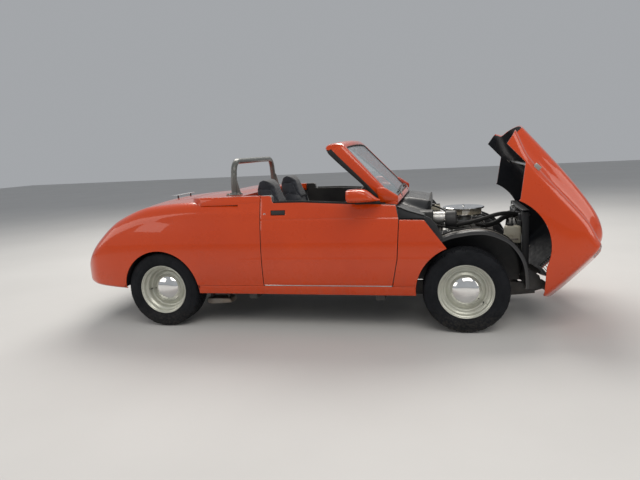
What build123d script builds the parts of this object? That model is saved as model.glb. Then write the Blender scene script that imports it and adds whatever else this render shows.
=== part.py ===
from build123d import *
import os
from math import cos, radians, sin, sqrt

# A two-seat roadster with a one-piece tilting front, in millimetres.
# +X is forward, +Y is the car's left, +Z is up, and Z = 0 is the floor.

# Wheels and axles
WHEELBASE = 2510.0
FRONT_AXLE_X = 1138.0
REAR_AXLE_X = FRONT_AXLE_X - WHEELBASE
TYRE_R = 326.0
TYRE_HALF_WIDTH = 113.0
BEAD_R = 198.0
FRONT_WHEEL_Y = 686.0
REAR_WHEEL_Y = 708.0
RIM_HALF_WIDTH = 102.0
RIM_LIP_R = 208.0
CAP_R = 108.0
HUB_R = 34.0
KINGPIN_Y = 600.0
KINGPIN_R = 12.0
KNUCKLE_LOW_Z = TYRE_R - 112.0
KNUCKLE_HIGH_Z = TYRE_R + 112.0
TOWER_FACE_Y = 397.0
STRUT_Y = 455.0
AXLE_Z = TYRE_R
FRONT_DISC_U = 34.0
REAR_DISC_U = 6.0
BRAKE_DISC_U = -34.0
BRAKE_DISC_WIDTH = 22.0

# Body sides, seen from the side and in cross-section
BODY_HALF_WIDTH = 850.0
WIDEST_Z = 611.0
UPPER_SIDE_R = 1513.0
LOWER_SIDE_R = 1400.0
SILL_Z = 300.0
SILL_THICKNESS = 70.0
SEAM_Z = 374.0
DOOR_REAR_X = -452.0
FRONT_ARCH_R = 373.0
REAR_ARCH_R = 342.0
SKIN = 14.0
PANEL_GAP = 7.0
DOOR_THICKNESS = 60.0
QUARTER_THICKNESS = 62.0
PANEL_THICKNESS = 12.0
POST_THICKNESS = 110.0

# Cabin
FLOOR_Z = 310.0
FLOOR_THICKNESS = 18.0
FIREWALL_X = 745.0
FIREWALL_TOP_HALF = 650.0
FIREWALL_TOP_Z = 930.0
BULKHEAD_X = -668.0
CABIN_HALF_WIDTH = 742.0
TUNNEL_HALF_WIDTH = 130.0
TUNNEL_Z = 500.0
TRUNK_FLOOR_Z = 505.0
DECK_TOP_Z = 1130.0
COCKPIT_HALF_WIDTH = 700.0
COCKPIT_REAR_X = -640.0
COWL_CENTRE_HALF = 430.0
COWL_HALF = 728.0

# Windshield, in its own sloping plane
GLASS_BASE_X = 648.0
GLASS_BASE_Z = 1066.0
GLASS_RAKE = 46.0
GLASS_LENGTH = 590.0
GLASS_BASE_HALF = 655.0
GLASS_TOP_HALF = 560.0
GLASS_BEND_R = 5000.0
PILLAR_WIDTH = 58.0
PILLAR_DEPTH = 56.0
GLASS_THICKNESS = 6.0

# Tilting front
CLIP_PIVOT_X = 1662.0
CLIP_PIVOT_Z = 245.0
CLIP_OPEN_ANGLE = 45.0
CLIP_ARM_Y = 300.0
CLIP_PIN_R = 14.0
HOOD_REAR_X = 690.0
LAMP_Y = 715.0
LAMP_HALF_WIDTH = 78.0
LAMP_Z = 782.0
LAMP_HALF_HEIGHT = 46.0
GRILLE_HALF_WIDTH = 340.0
GRILLE_Z = 470.0
GRILLE_HALF_HEIGHT = 80.0
GRILLE_BARS = 6
GRILLE_CENTRE_X = 1812.0
GRILLE_SIDE_X = 1780.0

# Door hinges and the lid hinge
DOOR_HINGE_X = 700.0
DOOR_HINGE_INSET = 16.0
HINGE_PIN_R = 4.0
HINGE_BARREL_R = 7.0
HINGE_HEIGHT = 46.0
HINGE_END_GAP = 6.0
HINGE_TAB = 6.0
DOOR_HINGE_ZS = (500.0, 720.0)
HANDLE_XS = (-360.0, -240.0)
HANDLE_ZS = (944.0, 984.0)
HANDLE_FLOOR_Y = BODY_HALF_WIDTH - 58.0
SIDE_RANGE = (BODY_HALF_WIDTH - 250.0, BODY_HALF_WIDTH + 50.0)
LID_FRONT_X = -1210.0
LID_REAR_X = -1965.0
LID_HALF_WIDTH = 470.0
LID_HINGE_X = -1174.0
LID_HINGE_Z = 1056.0
LID_HINGE_Y = 220.0

# Frame, engine and drive
RAIL_Y = 355.0
RAIL_HALF_WIDTH = 30.0
RAIL_HEIGHT = 110.0
RAIL_BOTTOM_Z = 195.0
ENGINE_FRONT_X = 1430.0
ENGINE_LENGTH = 560.0
CRANK_Z = 430.0
BANK_ANGLE = 45.0
HEAD_HALF_WIDTH = 84.0
HEAD_LOW = 215.0
HEAD_HIGH = 300.0
RADIATOR_X = 1600.0
SUPPORT_HALF_WIDTH = 380.0

RUN_GAP = 0.3
SEAT_Y = 350.0
STEER_X = 150.0
STEER_Y = 350.0
STEER_Z = 900.0
STEER_R = 175.0
COLUMN_RAKE = 24.0
BOSS_DEPTH = 34.0
TAIL_LAMP_YS = (470.0, 600.0)
TAIL_LAMP_Z = 560.0
TAIL_LAMP_R = 44.0
BRACE_X = 930.0
BRACE_Z = 880.0
MIRROR_FOOT_XS = (330.0, 420.0)
MIRROR_Z = 1084.0
HOOP_X = -760.0
HOOP_HALF_WIDTH = 545.0
HOOP_TOP_Z = 1405.0
HOOP_TUBE_R = 25.0


def box(x_range, y_range, z_range):
    """A block between two values along each axis."""
    size = [high - low for low, high in (x_range, y_range, z_range)]
    centre = [(high + low) / 2 for low, high in (x_range, y_range, z_range)]
    return Pos(*centre) * Box(*size)


def prism(axis, points, low, high):
    """Extrudes an outline along one axis: (y, z), (x, z) or (x, y) points."""
    if axis == "x":
        corners = [(low, a, b) for a, b in points]
        direction = (1, 0, 0)
    elif axis == "y":
        corners = [(a, low, b) for a, b in points]
        direction = (0, 1, 0)
    else:
        corners = [(a, b, low) for a, b in points]
        direction = (0, 0, 1)
    outline = Face(Polyline(*corners, close=True))
    return extrude(outline, amount=high - low, dir=direction)


def rod(start, end, radius):
    """A round bar from one point to another."""
    span = Vector(*end) - Vector(*start)
    return Plane(origin=start, z_dir=span) * extrude(Circle(radius), amount=span.length)


def pipe(points, radii, radius, wall=0.0):
    """A bent tube along straight runs joined by arcs, solid if it has no wall."""
    path = FilletPolyline(*points, radius=radii)
    start = Plane(origin=path @ 0, z_dir=path % 0)
    section = Circle(radius)
    if wall:
        section -= Circle(radius - wall)
    return sweep(start * section, path=path)


def both_sides(shape):
    """The shape and its mirror image, as solids that don't touch."""
    return Compound([*shape.solids(), *mirror(shape, Plane.XZ).solids()])


def mirrored(shape):
    return mirror(shape, Plane.XZ)


def side_y(z, width=BODY_HALF_WIDTH, widest=WIDEST_Z):
    """Half-width of the body side at a height: one arc above and one below the widest line."""
    radius = UPPER_SIDE_R if z >= widest else LOWER_SIDE_R
    return width - (radius - sqrt(radius**2 - (z - widest) ** 2))


def body_section(x, width, low, widest, crest, top, shoulder):
    """A closed cross-section: floor, corners, side arcs, shoulders and a crown."""
    corner = min(30.0, 0.2 * (crest - low))
    rise = crest - shoulder
    widest = min(widest, rise - 12.0)
    foot_y = side_y(low + corner, width, widest)
    shoulder_y = side_y(rise, width, widest)
    crest_y = shoulder_y - 1.05 * shoulder
    knee = 0.7071

    def half(side):
        return [
            ((side * (foot_y - corner), low), (side * (foot_y - 0.29 * corner), low + 0.29 * corner)),
            ((side * foot_y, low + corner), (side * side_y((low + corner + widest) / 2, width, widest),
                                             (low + corner + widest) / 2)),
            ((side * width, widest),
             (side * side_y((widest + rise) / 2, width, widest), (widest + rise) / 2)),
            ((side * shoulder_y, rise), (side * (crest_y + knee * (shoulder_y - crest_y)),
                                         rise + knee * shoulder)),
            ((side * crest_y, crest), None),
        ]

    left, right = half(1), half(-1)
    edges = [Line((x, *right[0][0]), (x, *left[0][0]))]
    for this, after in zip(left[:-1], left[1:]):
        edges.append(ThreePointArc((x, *this[0]), (x, *this[1]), (x, *after[0])))
    edges.append(ThreePointArc((x, *left[-1][0]), (x, 0, top), (x, *right[-1][0])))
    for this, after in reversed(list(zip(right[:-1], right[1:]))):
        edges.append(ThreePointArc((x, *after[0]), (x, *this[1]), (x, *this[0])))
    return Wire(edges)


# Rear body stations: x, half width, underside, widest line, crest, top of crown, shoulder radius, lean.
# Lean is the share of the wall's thickness by which a station moves forward for the inner surface.
REAR_STATIONS = (
    (-452.0, 850.0, 300.0, 611.0, 1046.0, 1062.0, 110.0, 0.0),
    (-1060.0, 853.0, 300.0, 611.0, 1060.0, 1082.0, 115.0, 0.0),
    (-1450.0, 853.0, 320.0, 611.0, 1036.0, 1064.0, 130.0, 0.1),
    (-1760.0, 850.0, 340.0, 600.0, 936.0, 972.0, 150.0, 0.4),
    (-1965.0, 826.0, 358.0, 560.0, 780.0, 820.0, 140.0, 0.7),
    (-2090.0, 760.0, 372.0, 510.0, 648.0, 690.0, 100.0, 0.9),
    (-2170.0, 660.0, 384.0, 470.0, 530.0, 566.0, 60.0, 1.0),
    (-2216.0, 520.0, 396.0, 432.0, 455.0, 476.0, 20.0, 1.0),
)

# Front body stations, in the closed position, with the same columns.
FRONT_STATIONS = (
    (640.0, 850.0, 300.0, 611.0, 1016.0, 1040.0, 80.0, 0.0),
    (860.0, 851.0, 300.0, 611.0, 938.0, 966.0, 76.0, 0.0),
    (1138.0, 853.0, 300.0, 611.0, 912.0, 938.0, 74.0, 0.0),
    (1440.0, 852.0, 300.0, 600.0, 892.0, 924.0, 74.0, 0.0),
    (1620.0, 838.0, 302.0, 570.0, 846.0, 884.0, 80.0, 0.5),
    (1700.0, 700.0, 306.0, 560.0, 832.0, 868.0, 80.0, 1.0),
    (1765.0, 520.0, 316.0, 550.0, 815.0, 850.0, 80.0, 1.0),
    (1805.0, 320.0, 340.0, 550.0, 780.0, 806.0, 70.0, 1.0),
    (1822.0, 160.0, 380.0, 550.0, 730.0, 744.0, 40.0, 1.0),
)

# Hood bulge stations: x, half width at the crease, half width at the foot, crease height, top.
HOOD_STATIONS = (
    (640.0, 430.0, 610.0, 1094.0, 1130.0),
    (1080.0, 430.0, 610.0, 1064.0, 1100.0),
    (1500.0, 410.0, 580.0, 1010.0, 1044.0),
    (1680.0, 370.0, 520.0, 950.0, 982.0),
    (1790.0, 290.0, 420.0, 840.0, 862.0),
)


def rear_form(inset=0.0, open_floor=0.0, reach=0.0):
    """The rear body's outer form, or one set in by a wall, from the doors to the tail."""
    sections = []
    for x, width, low, widest, crest, top, shoulder, lean in REAR_STATIONS:
        at = x + inset * lean + (reach if x == REAR_STATIONS[0][0] else 0.0)
        sections.append(
            body_section(at, width - inset, low + inset - open_floor, widest, crest - inset,
                         top - inset, max(shoulder - 0.3 * inset, 8.0))
        )
    return Solid.make_loft(sections, ruled=True)


def front_form(inset=0.0, open_floor=0.0, reach=0.0):
    """The tilting front's fenders and nose, closed, or the same set in by a wall."""
    sections = []
    for x, width, low, widest, crest, top, shoulder, lean in FRONT_STATIONS:
        at = x - inset * lean - (reach if x == FRONT_STATIONS[0][0] else 0.0)
        sections.append(
            body_section(at, width - inset, low + inset - open_floor, widest, crest - inset,
                         top - inset, shoulder)
        )
    return Solid.make_loft(sections, ruled=True)


def hood_form(inset=0.0, reach=0.0):
    """The raised hood between the fenders: a flat-sided bulge with a crowned top."""
    foot_z = 700.0
    sections = []
    for x, crease, foot, crease_z, top in HOOD_STATIONS:
        at = x - (reach if x == HOOD_STATIONS[0][0] else 0.0)
        high, low = crease - inset, foot - inset
        corners = [(at, -low, foot_z), (at, low, foot_z), (at, high, crease_z - inset)]
        corners.append((at, -high, crease_z - inset))
        crown = ThreePointArc(corners[2], (at, 0, top - inset), corners[3])
        sections.append(
            Wire([Line(corners[0], corners[1]), Line(corners[1], corners[2]), crown,
                  Line(corners[3], corners[0])])
        )
    return Solid.make_loft(sections, ruled=True)


def side_band(thickness, x_range, z_range):
    """A length of the body side, as thick as its skin or its whole wall, on the car's left."""
    x, low, high = x_range[0], *z_range
    knees = [low] + [z for z in (WIDEST_Z,) if low < z < high] + [high]
    outer, inner = [], []
    for start, end in zip(knees[:-1], knees[1:]):
        heights = (start, (start + end) / 2, end)
        outer.append(ThreePointArc(*((x, side_y(z), z) for z in heights)))
        inner.insert(0, ThreePointArc(*((x, side_y(z) - thickness, z) for z in reversed(heights))))
    foot = Line((x, side_y(low) - thickness, low), (x, side_y(low), low))
    head = Line((x, side_y(high), high), (x, side_y(high) - thickness, high))
    return extrude(Face(Wire([foot, *outer, head, *inner])), amount=x_range[1] - x, dir=(1, 0, 0))


# Outlines of the side panels, as (x, z) corners.
DOOR_TOP = ((DOOR_REAR_X, 1130.0), (-352.0, 1111.0), (-298.0, 1074.0), (-98.0, 1057.0), (234.0, 1017.0),
            (437.0, 1012.0), (560.0, 1006.0))
DOOR_FRONT = ((634.0, 1000.0), (654.0, 893.0), (636.0, 591.0), (595.0, SEAM_Z))
PANEL_TOP = ((837.0, 885.0), (994.0, 679.0))
PANEL_TOP_REAR = (663.0, 891.0)


def door_top_z(x):
    """Height of the door's top edge at a place along the car."""
    for (rear, high), (front, low) in zip(DOOR_TOP[:-1], DOOR_TOP[1:]):
        if rear <= x <= front:
            return high + (low - high) * (x - rear) / (front - rear)
    return DOOR_TOP[-1][1]


def door_outline(gap):
    """The door's outline, drawn in by a gap at its front, rear and lower edges."""
    top = [(DOOR_REAR_X + gap, DOOR_TOP[0][1] - 1.0), *DOOR_TOP[1:]]
    front = [(x - gap, z) for x, z in DOOR_FRONT[:-1]]
    front.append((DOOR_FRONT[-1][0] - gap, SEAM_Z + gap))
    return top + front + [(DOOR_REAR_X + gap, SEAM_Z + gap)]


# Goosenecks, as corners relative to the hinge axis: forward and outward, or forward and up.
DOOR_NECK = ((-5.0, 4.0), (6.0, -2.0), (6.0, -86.0), (-14.0, -108.0), (-46.0, -108.0), (-84.0, -76.0),
             (-112.0, -50.0), (-112.0, -38.0), (-98.0, -38.0), (-72.0, -68.0), (-44.0, -92.0), (-20.0, -94.0),
             (-8.0, -80.0), (-6.0, -28.0), (-5.0, -11.0))
LID_NECK = ((7.0, -2.0), (5.0, -34.0), (-8.0, -43.0), (-72.0, -43.0), (-92.0, -20.0), (-92.0, 4.0),
            (-50.0, 6.0), (-50.0, -32.0), (-22.0, -33.0), (-13.0, -26.0), (-5.0, -5.0))


def hinge_parts(axis_x, axis_y, heights):
    """Door hinges on the left: fixed pins with their brackets, and moving barrels with goosenecks."""
    half = HINGE_HEIGHT / 2
    fixed, moving = [], []
    for height in heights:
        pin = Pos(axis_x, axis_y, height) * Cylinder(HINGE_PIN_R, HINGE_HEIGHT + 24.0)
        barrel = Pos(axis_x, axis_y, height) * Cylinder(HINGE_BARREL_R, HINGE_HEIGHT)
        neck = prism("z", [(axis_x + u, axis_y + v) for u, v in DOOR_NECK], height - half, height + half)
        bore = Pos(axis_x, axis_y, height) * Cylinder(HINGE_PIN_R + RUN_GAP, HINGE_HEIGHT + 40.0)
        moving.append(barrel + neck - bore)
        for side in (-1, 1):
            near = height + side * (half + HINGE_END_GAP)
            far = near + side * HINGE_TAB
            tab = box((axis_x - 8.0, axis_x + 40.0), (axis_y - 9.0, axis_y + 6.0), sorted((near, far)))
            fixed.append(tab)
        fixed.append(pin)
    return fixed, moving


# The rails' top edge ahead of the radiator, as (x, z).
RAIL_NOSE = ((1530.0, RAIL_BOTTOM_Z + RAIL_HEIGHT), (CLIP_PIVOT_X + 26.0, 290.0))

# Cross members: x, depth, underside, top.
FRAME_MEMBERS = (
    (-2040.0, 60.0, 385.0, 445.0),
    (-1650.0, 50.0, 385.0, 445.0),
    (-820.0, 80.0, 262.0, 305.0),
    (120.0, 90.0, 262.0, 305.0),
    (FRONT_AXLE_X, 150.0, 200.0, 255.0),
    (1560.0, 40.0, 215.0, 275.0),
)


def rail_top(x):
    """Height of the rails' top where it runs down to the tilt pivot."""
    start, end = RAIL_NOSE
    return start[1] + (end[1] - start[1]) * (x - start[0]) / (end[0] - start[0])


def frame_rails():
    """Two boxed rails that rise over the rear axle, with cross members and the front horns."""
    bottom = RAIL_BOTTOM_Z
    top = bottom + RAIL_HEIGHT
    profile = (
        (-2080.0, 385.0), (-2080.0, 385.0 + RAIL_HEIGHT), (-1180.0, 385.0 + RAIL_HEIGHT),
        (-960.0, top), *RAIL_NOSE, (CLIP_PIVOT_X + 26.0, 215.0),
        (1500.0, bottom), (-900.0, bottom), (-1120.0, 385.0),
    )
    rail = prism("y", profile, RAIL_Y - RAIL_HALF_WIDTH, RAIL_Y + RAIL_HALF_WIDTH)
    frame = rail + mirrored(rail)
    for x, depth, low, high in FRAME_MEMBERS:
        frame += box((x - depth / 2, x + depth / 2), (-RAIL_Y, RAIL_Y), (low, high))
    for side in (1, -1):
        for x in (-600.0, 480.0):
            frame += box((x - 35.0, x + 35.0), (side * 528.0 - 168.0, side * 528.0 + 168.0),
                         (bottom + 30.0, FLOOR_Z))
    reach = CLIP_ARM_Y + 34.0
    pivot = rod((CLIP_PIVOT_X, -reach, CLIP_PIVOT_Z), (CLIP_PIVOT_X, reach, CLIP_PIVOT_Z), CLIP_PIN_R)
    return frame + pivot


def floor_pan():
    """Floor, transmission tunnel, firewall, rear bulkhead and trunk floor in one pressing."""
    top = FLOOR_Z + FLOOR_THICKNESS
    half = CABIN_HALF_WIDTH
    pan = box((BULKHEAD_X, FIREWALL_X), (-half, half), (FLOOR_Z, top))
    pan += box((BULKHEAD_X, FIREWALL_X), (-TUNNEL_HALF_WIDTH, TUNNEL_HALF_WIDTH), (FLOOR_Z, TUNNEL_Z))
    wall = FLOOR_THICKNESS
    pan += box((FIREWALL_X - wall, FIREWALL_X), (-690.0, 690.0), (FLOOR_Z, 900.0))
    pan += box((FIREWALL_X - wall, FIREWALL_X), (-FIREWALL_TOP_HALF, FIREWALL_TOP_HALF),
               (FLOOR_Z, FIREWALL_TOP_Z))
    pan += box((BULKHEAD_X, BULKHEAD_X + wall), (-690.0, 690.0), (FLOOR_Z, 1030.0))
    pan += box((-2040.0, BULKHEAD_X + wall), (-540.0, 540.0), (TRUNK_FLOOR_Z, TRUNK_FLOOR_Z + wall))
    hollow = TUNNEL_HALF_WIDTH - wall
    pan -= box((BULKHEAD_X - 1.0, FIREWALL_X + 1.0), (-hollow, hollow), (FLOOR_Z - 1.0, TUNNEL_Z - wall))
    return pan


def cowl():
    """The scuttle under the hood's rear edge, with lower shoulders that carry the windshield's feet."""
    centre = prism("y", ((600.0, 905.0), (600.0, 992.0), (635.0, 1014.0), (700.0, 1018.0), (880.0, 982.0),
                         (880.0, 905.0)), -COWL_CENTRE_HALF, COWL_CENTRE_HALF)
    shoulders = prism("y", ((600.0, 905.0), (600.0, 990.0), (650.0, 978.0), (700.0, 952.0), (840.0, 905.0)),
                      -COWL_HALF, COWL_HALF)
    hollow = prism("y", ((500.0, 880.0), (500.0, 966.0), (640.0, 964.0), (700.0, 938.0), (800.0, 905.0),
                         (800.0, 880.0)), -COWL_HALF + 70.0, COWL_HALF - 70.0)
    rib = box((FIREWALL_X - 40.0, FIREWALL_X), (-COWL_CENTRE_HALF, COWL_CENTRE_HALF), (930.0, 960.0))
    gap = RUN_GAP
    edge = PILLAR_WIDTH
    seat = trapezoid(GLASS_BASE_HALF + edge + gap, GLASS_TOP_HALF + edge + gap, -40.0 - gap,
                     GLASS_LENGTH + 44.0)
    seat &= bent_band(PILLAR_DEPTH + 2 * gap, gap, (-60.0, 200.0))
    notch = box((FIREWALL_X - FLOOR_THICKNESS, FIREWALL_X), (-FIREWALL_TOP_HALF, FIREWALL_TOP_HALF),
                (880.0, FIREWALL_TOP_Z))
    return centre + shoulders - hollow + rib - notch - glass_plane() * seat


def glass_plane():
    """The windshield's plane: X across the car, Y up the slope, Z out of the cabin."""
    rake = radians(GLASS_RAKE)
    return Plane(origin=(GLASS_BASE_X, 0, GLASS_BASE_Z), x_dir=(0, 1, 0), z_dir=(sin(rake), 0, cos(rake)))


def bent_band(depth, outer, length_range):
    """A band bent across the car, as deep as the pillars or as thin as the glass."""
    half = 760.0
    drop = GLASS_BEND_R - sqrt(GLASS_BEND_R**2 - half**2)
    low, high = length_range
    edges = []
    for level, sign in ((outer, 1), (outer - depth, -1)):
        ends = [(-sign * half, low, level - drop), (0, low, level), (sign * half, low, level - drop)]
        edges.append(ThreePointArc(*ends))
    edges.append(Line((half, low, outer - drop), (half, low, outer - depth - drop)))
    edges.append(Line((-half, low, outer - depth - drop), (-half, low, outer - drop)))
    ordered = [edges[0], edges[2], edges[1], edges[3]]
    return extrude(Face(Wire(ordered)), amount=high - low, dir=(0, 1, 0))


def trapezoid(base_half, top_half, low, high):
    """A prism through the glass plane between two heights up the slope."""
    corners = ((-base_half, low), (base_half, low), (top_half, high), (-top_half, high))
    outline = Face(Polyline(*((a, b, -300.0) for a, b in corners), close=True))
    return extrude(outline, amount=600.0, dir=(0, 0, 1))


def windshield_parts():
    """The frame and the glass that it holds."""
    edge = PILLAR_WIDTH
    outer = trapezoid(GLASS_BASE_HALF + edge, GLASS_TOP_HALF + edge, -40.0, GLASS_LENGTH + 44.0)
    inner = trapezoid(GLASS_BASE_HALF, GLASS_TOP_HALF, 0.0, GLASS_LENGTH)
    pane = trapezoid(GLASS_BASE_HALF - RUN_GAP, GLASS_TOP_HALF - RUN_GAP, RUN_GAP, GLASS_LENGTH - RUN_GAP)
    frame = bent_band(PILLAR_DEPTH, 0.0, (-60.0, GLASS_LENGTH + 80.0)) & outer
    frame -= inner
    glass = bent_band(GLASS_THICKNESS, -14.0, (-60.0, GLASS_LENGTH + 80.0)) & pane
    place = glass_plane()
    return place * frame, place * glass


def rear_body():
    """The rear quarters, tail and boot surround as one open-bottomed moulding."""
    shell = rear_form() - rear_form(inset=SKIN, open_floor=400.0, reach=30.0)
    shell -= box((-1050.0, DOOR_REAR_X + 5.0), (-900.0, 900.0), (0.0, SEAM_Z + RUN_GAP))
    shell -= box((COCKPIT_REAR_X, DOOR_REAR_X + 5.0), (-COCKPIT_HALF_WIDTH, COCKPIT_HALF_WIDTH),
                 (900.0, 1200.0))
    half = LID_HALF_WIDTH
    shell -= box((LID_REAR_X, LID_FRONT_X), (-half, half), (600.0, 1200.0))
    for side in (1, -1):
        band = side_band(QUARTER_THICKNESS, (COCKPIT_REAR_X, DOOR_REAR_X), (SEAM_Z + RUN_GAP, 1035.0))
        post = (band if side == 1 else mirrored(band)) & rear_form()
        shell += post
        house = Pos(REAR_AXLE_X, side * 702.0, TYRE_R) * Cylinder(REAR_ARCH_R + 22.0, 300.0,
                                                                  rotation=(90, 0, 0))
        house -= Pos(REAR_AXLE_X, side * 710.0, TYRE_R) * Cylinder(REAR_ARCH_R + 12.0, 296.0,
                                                                   rotation=(90, 0, 0))
        house -= box((-2200.0, -600.0), (side * 700.0 - 400.0, side * 700.0 + 400.0), (-100.0, 402.0))
        shell += house & rear_form(inset=SKIN / 2, open_floor=400.0)
        arch = Pos(REAR_AXLE_X, side * 780.0, TYRE_R) * Cylinder(REAR_ARCH_R, 200.0, rotation=(90, 0, 0))
        shell -= arch
    for hole in lamp_rods(TAIL_LAMP_R + RUN_GAP):
        shell -= hole
    for side in (1, -1):
        y = side * LID_HINGE_Y
        shell -= box((LID_HINGE_X - 50.0, LID_HINGE_X + 16.0), (y - 36.0, y + 36.0),
                     (900.0, LID_HINGE_Z + 13.0))
    for piece in lid_hinges()[0]:
        shell += piece
    return shell


def lid_hinges():
    """The boot lid's hinges: fixed brackets under the deck, and goosenecks on the lid."""
    fixed, moving = [], []
    x, z = LID_HINGE_X, LID_HINGE_Z
    for side in (1, -1):
        y = side * LID_HINGE_Y
        pin = rod((x, y - 30.0, z), (x, y + 30.0, z), HINGE_PIN_R)
        bore = rod((x, y - 40.0, z), (x, y + 40.0, z), HINGE_PIN_R + RUN_GAP)
        barrel = rod((x, y - 14.0, z), (x, y + 14.0, z), HINGE_BARREL_R)
        neck = prism("y", [(x + u, z + v) for u, v in LID_NECK], y - 14.0, y + 14.0)
        moving.append(barrel + neck - bore)
        fixed.append(pin)
        for edge in (-1, 1):
            low, high = sorted((y + edge * 20.0, y + edge * 28.0))
            fixed.append(prism("y", ((x - 8.0, z - 9.0), (x + 30.0, z - 9.0), (x + 30.0, z + 16.0),
                                     (x - 4.0, z + 8.0)), low, high))
    return fixed, moving


def trunk_lid():
    """The boot lid, cut from the same surface as the tail, with its goosenecks."""
    shell = rear_form() - rear_form(inset=SKIN, open_floor=400.0, reach=30.0)
    half = LID_HALF_WIDTH - PANEL_GAP
    lid = shell & box((LID_REAR_X + PANEL_GAP, LID_FRONT_X - 10.0), (-half, half), (600.0, 1200.0))
    for piece in lid_hinges()[1]:
        lid += piece
    return lid


def rear_deck():
    """The raised deck behind the seats, with arms beside the cockpit."""
    profile = [(-1134.0, 900.0), (-1134.0, 1066.0), (-1102.0, 1104.0), (-1047.0, 1120.0),
               (-900.0, DECK_TOP_Z), (DOOR_REAR_X, DECK_TOP_Z), (DOOR_REAR_X, 900.0)]
    block = prism("y", profile, -800.0, 800.0)
    plan = [(-1134.0, -560.0), (-1060.0, -700.0), (-960.0, -784.0), (DOOR_REAR_X, -784.0),
            (DOOR_REAR_X, 784.0), (-960.0, 784.0), (-1060.0, 700.0), (-1134.0, 560.0)]
    block &= prism("z", plan, 900.0, 1300.0)
    sides = side_band(BODY_HALF_WIDTH * 1.9, (-1200.0, DOOR_REAR_X), (950.0, 1250.0))
    block = block & sides & mirrored(sides)
    block -= rear_form(inset=-RUN_GAP, reach=30.0)
    half = COCKPIT_HALF_WIDTH
    block -= box((COCKPIT_REAR_X, DOOR_REAR_X + 5.0), (-half, half), (900.0, 1300.0))
    return block


def rockers():
    """The sill mouldings between the wheel arches."""
    x_range = (REAR_AXLE_X + REAR_ARCH_R - 2.0, 1000.0)
    sill = side_band(SILL_THICKNESS, x_range, (SILL_Z, SEAM_Z))
    sill += box((BULKHEAD_X, FIREWALL_X), (CABIN_HALF_WIDTH - 40.0, 780.0), (SILL_Z + 3.0, FLOOR_Z))
    sill -= Pos(FRONT_AXLE_X, 780.0, TYRE_R) * Cylinder(FRONT_ARCH_R, 400.0, rotation=(90, 0, 0))
    sill -= Pos(REAR_AXLE_X, 780.0, TYRE_R) * Cylinder(REAR_ARCH_R, 400.0, rotation=(90, 0, 0))
    return both_sides(sill)


def front_side_panels():
    """The fixed panels between the doors and the front arches, with the door posts and hinge pins."""
    low = SEAM_Z + RUN_GAP
    front_x = PANEL_TOP[-1][0] + 100.0
    corners = [PANEL_TOP_REAR, *PANEL_TOP, (front_x, 500.0), (front_x, low)]
    corners += [(x, z) for x, z in reversed(DOOR_FRONT[1:])]
    band = side_band(PANEL_THICKNESS, (560.0, front_x), (low, 892.0))
    panel = band & prism("y", corners, *SIDE_RANGE)
    arch = Pos(FRONT_AXLE_X, 780.0, TYRE_R) * Cylinder(FRONT_ARCH_R, 400.0, rotation=(90, 0, 0))
    panel -= arch
    axis_y = BODY_HALF_WIDTH - DOOR_HINGE_INSET
    post = box((DOOR_HINGE_X + 30.0, DOOR_HINGE_X + 62.0), SIDE_RANGE, (low, 888.0))
    post &= side_band(POST_THICKNESS, (600.0, 1000.0), (low, 890.0))
    panel += post - arch
    reach = HINGE_HEIGHT / 2 + HINGE_END_GAP
    for height in DOOR_HINGE_ZS:
        panel -= box((DOOR_HINGE_X - 42.0, DOOR_HINGE_X + 14.0),
                     (SIDE_RANGE[0], axis_y + HINGE_BARREL_R + 1.0), (height - reach, height + reach))
    for piece in hinge_parts(DOOR_HINGE_X, axis_y, DOOR_HINGE_ZS)[0]:
        panel += piece
    return both_sides(panel)


def door(side):
    """A door as thick as its skin and trim, with a map pocket, its barrels and a handle recess."""
    band = side_band(DOOR_THICKNESS, (DOOR_REAR_X - 8.0, DOOR_HINGE_X), (SEAM_Z, 1140.0))
    shape = band & prism("y", door_outline(PANEL_GAP), *SIDE_RANGE)
    for piece in hinge_parts(DOOR_HINGE_X, BODY_HALF_WIDTH - DOOR_HINGE_INSET, DOOR_HINGE_ZS)[1]:
        shape += piece
    inside = BODY_HALF_WIDTH - DOOR_THICKNESS
    shape -= box((-300.0, 300.0), (inside - 1.0, inside + 15.0), (470.0, 640.0))
    shape -= box(HANDLE_XS, (HANDLE_FLOOR_Y, SIDE_RANGE[1]), HANDLE_ZS)
    return shape if side == 1 else mirrored(shape)


def door_handle(side):
    """A flush pull in the door's recess."""
    gap = RUN_GAP
    low_y = HANDLE_FLOOR_Y + gap
    flap = box((HANDLE_XS[0] + gap, HANDLE_XS[1] - gap), (low_y, low_y + 22.0),
               (HANDLE_ZS[0] + gap, HANDLE_ZS[1] - gap))
    grip = box((HANDLE_XS[0] + 15.0, HANDLE_XS[0] + 85.0), (low_y + 14.0, low_y + 30.0),
               (HANDLE_ZS[0] + 6.0, HANDLE_ZS[0] + 26.0))
    shape = flap - grip
    return shape if side == 1 else mirrored(shape)


# Mirror shell stations: distance out from the foot, half depth, half height, shift to the rear.
MIRROR_STATIONS = (
    (56.0, 40.0, 34.0, 0.0),
    (98.0, 66.0, 48.0, -6.0),
    (178.0, 72.0, 50.0, -10.0),
    (223.0, 50.0, 36.0, -14.0),
)


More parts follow.
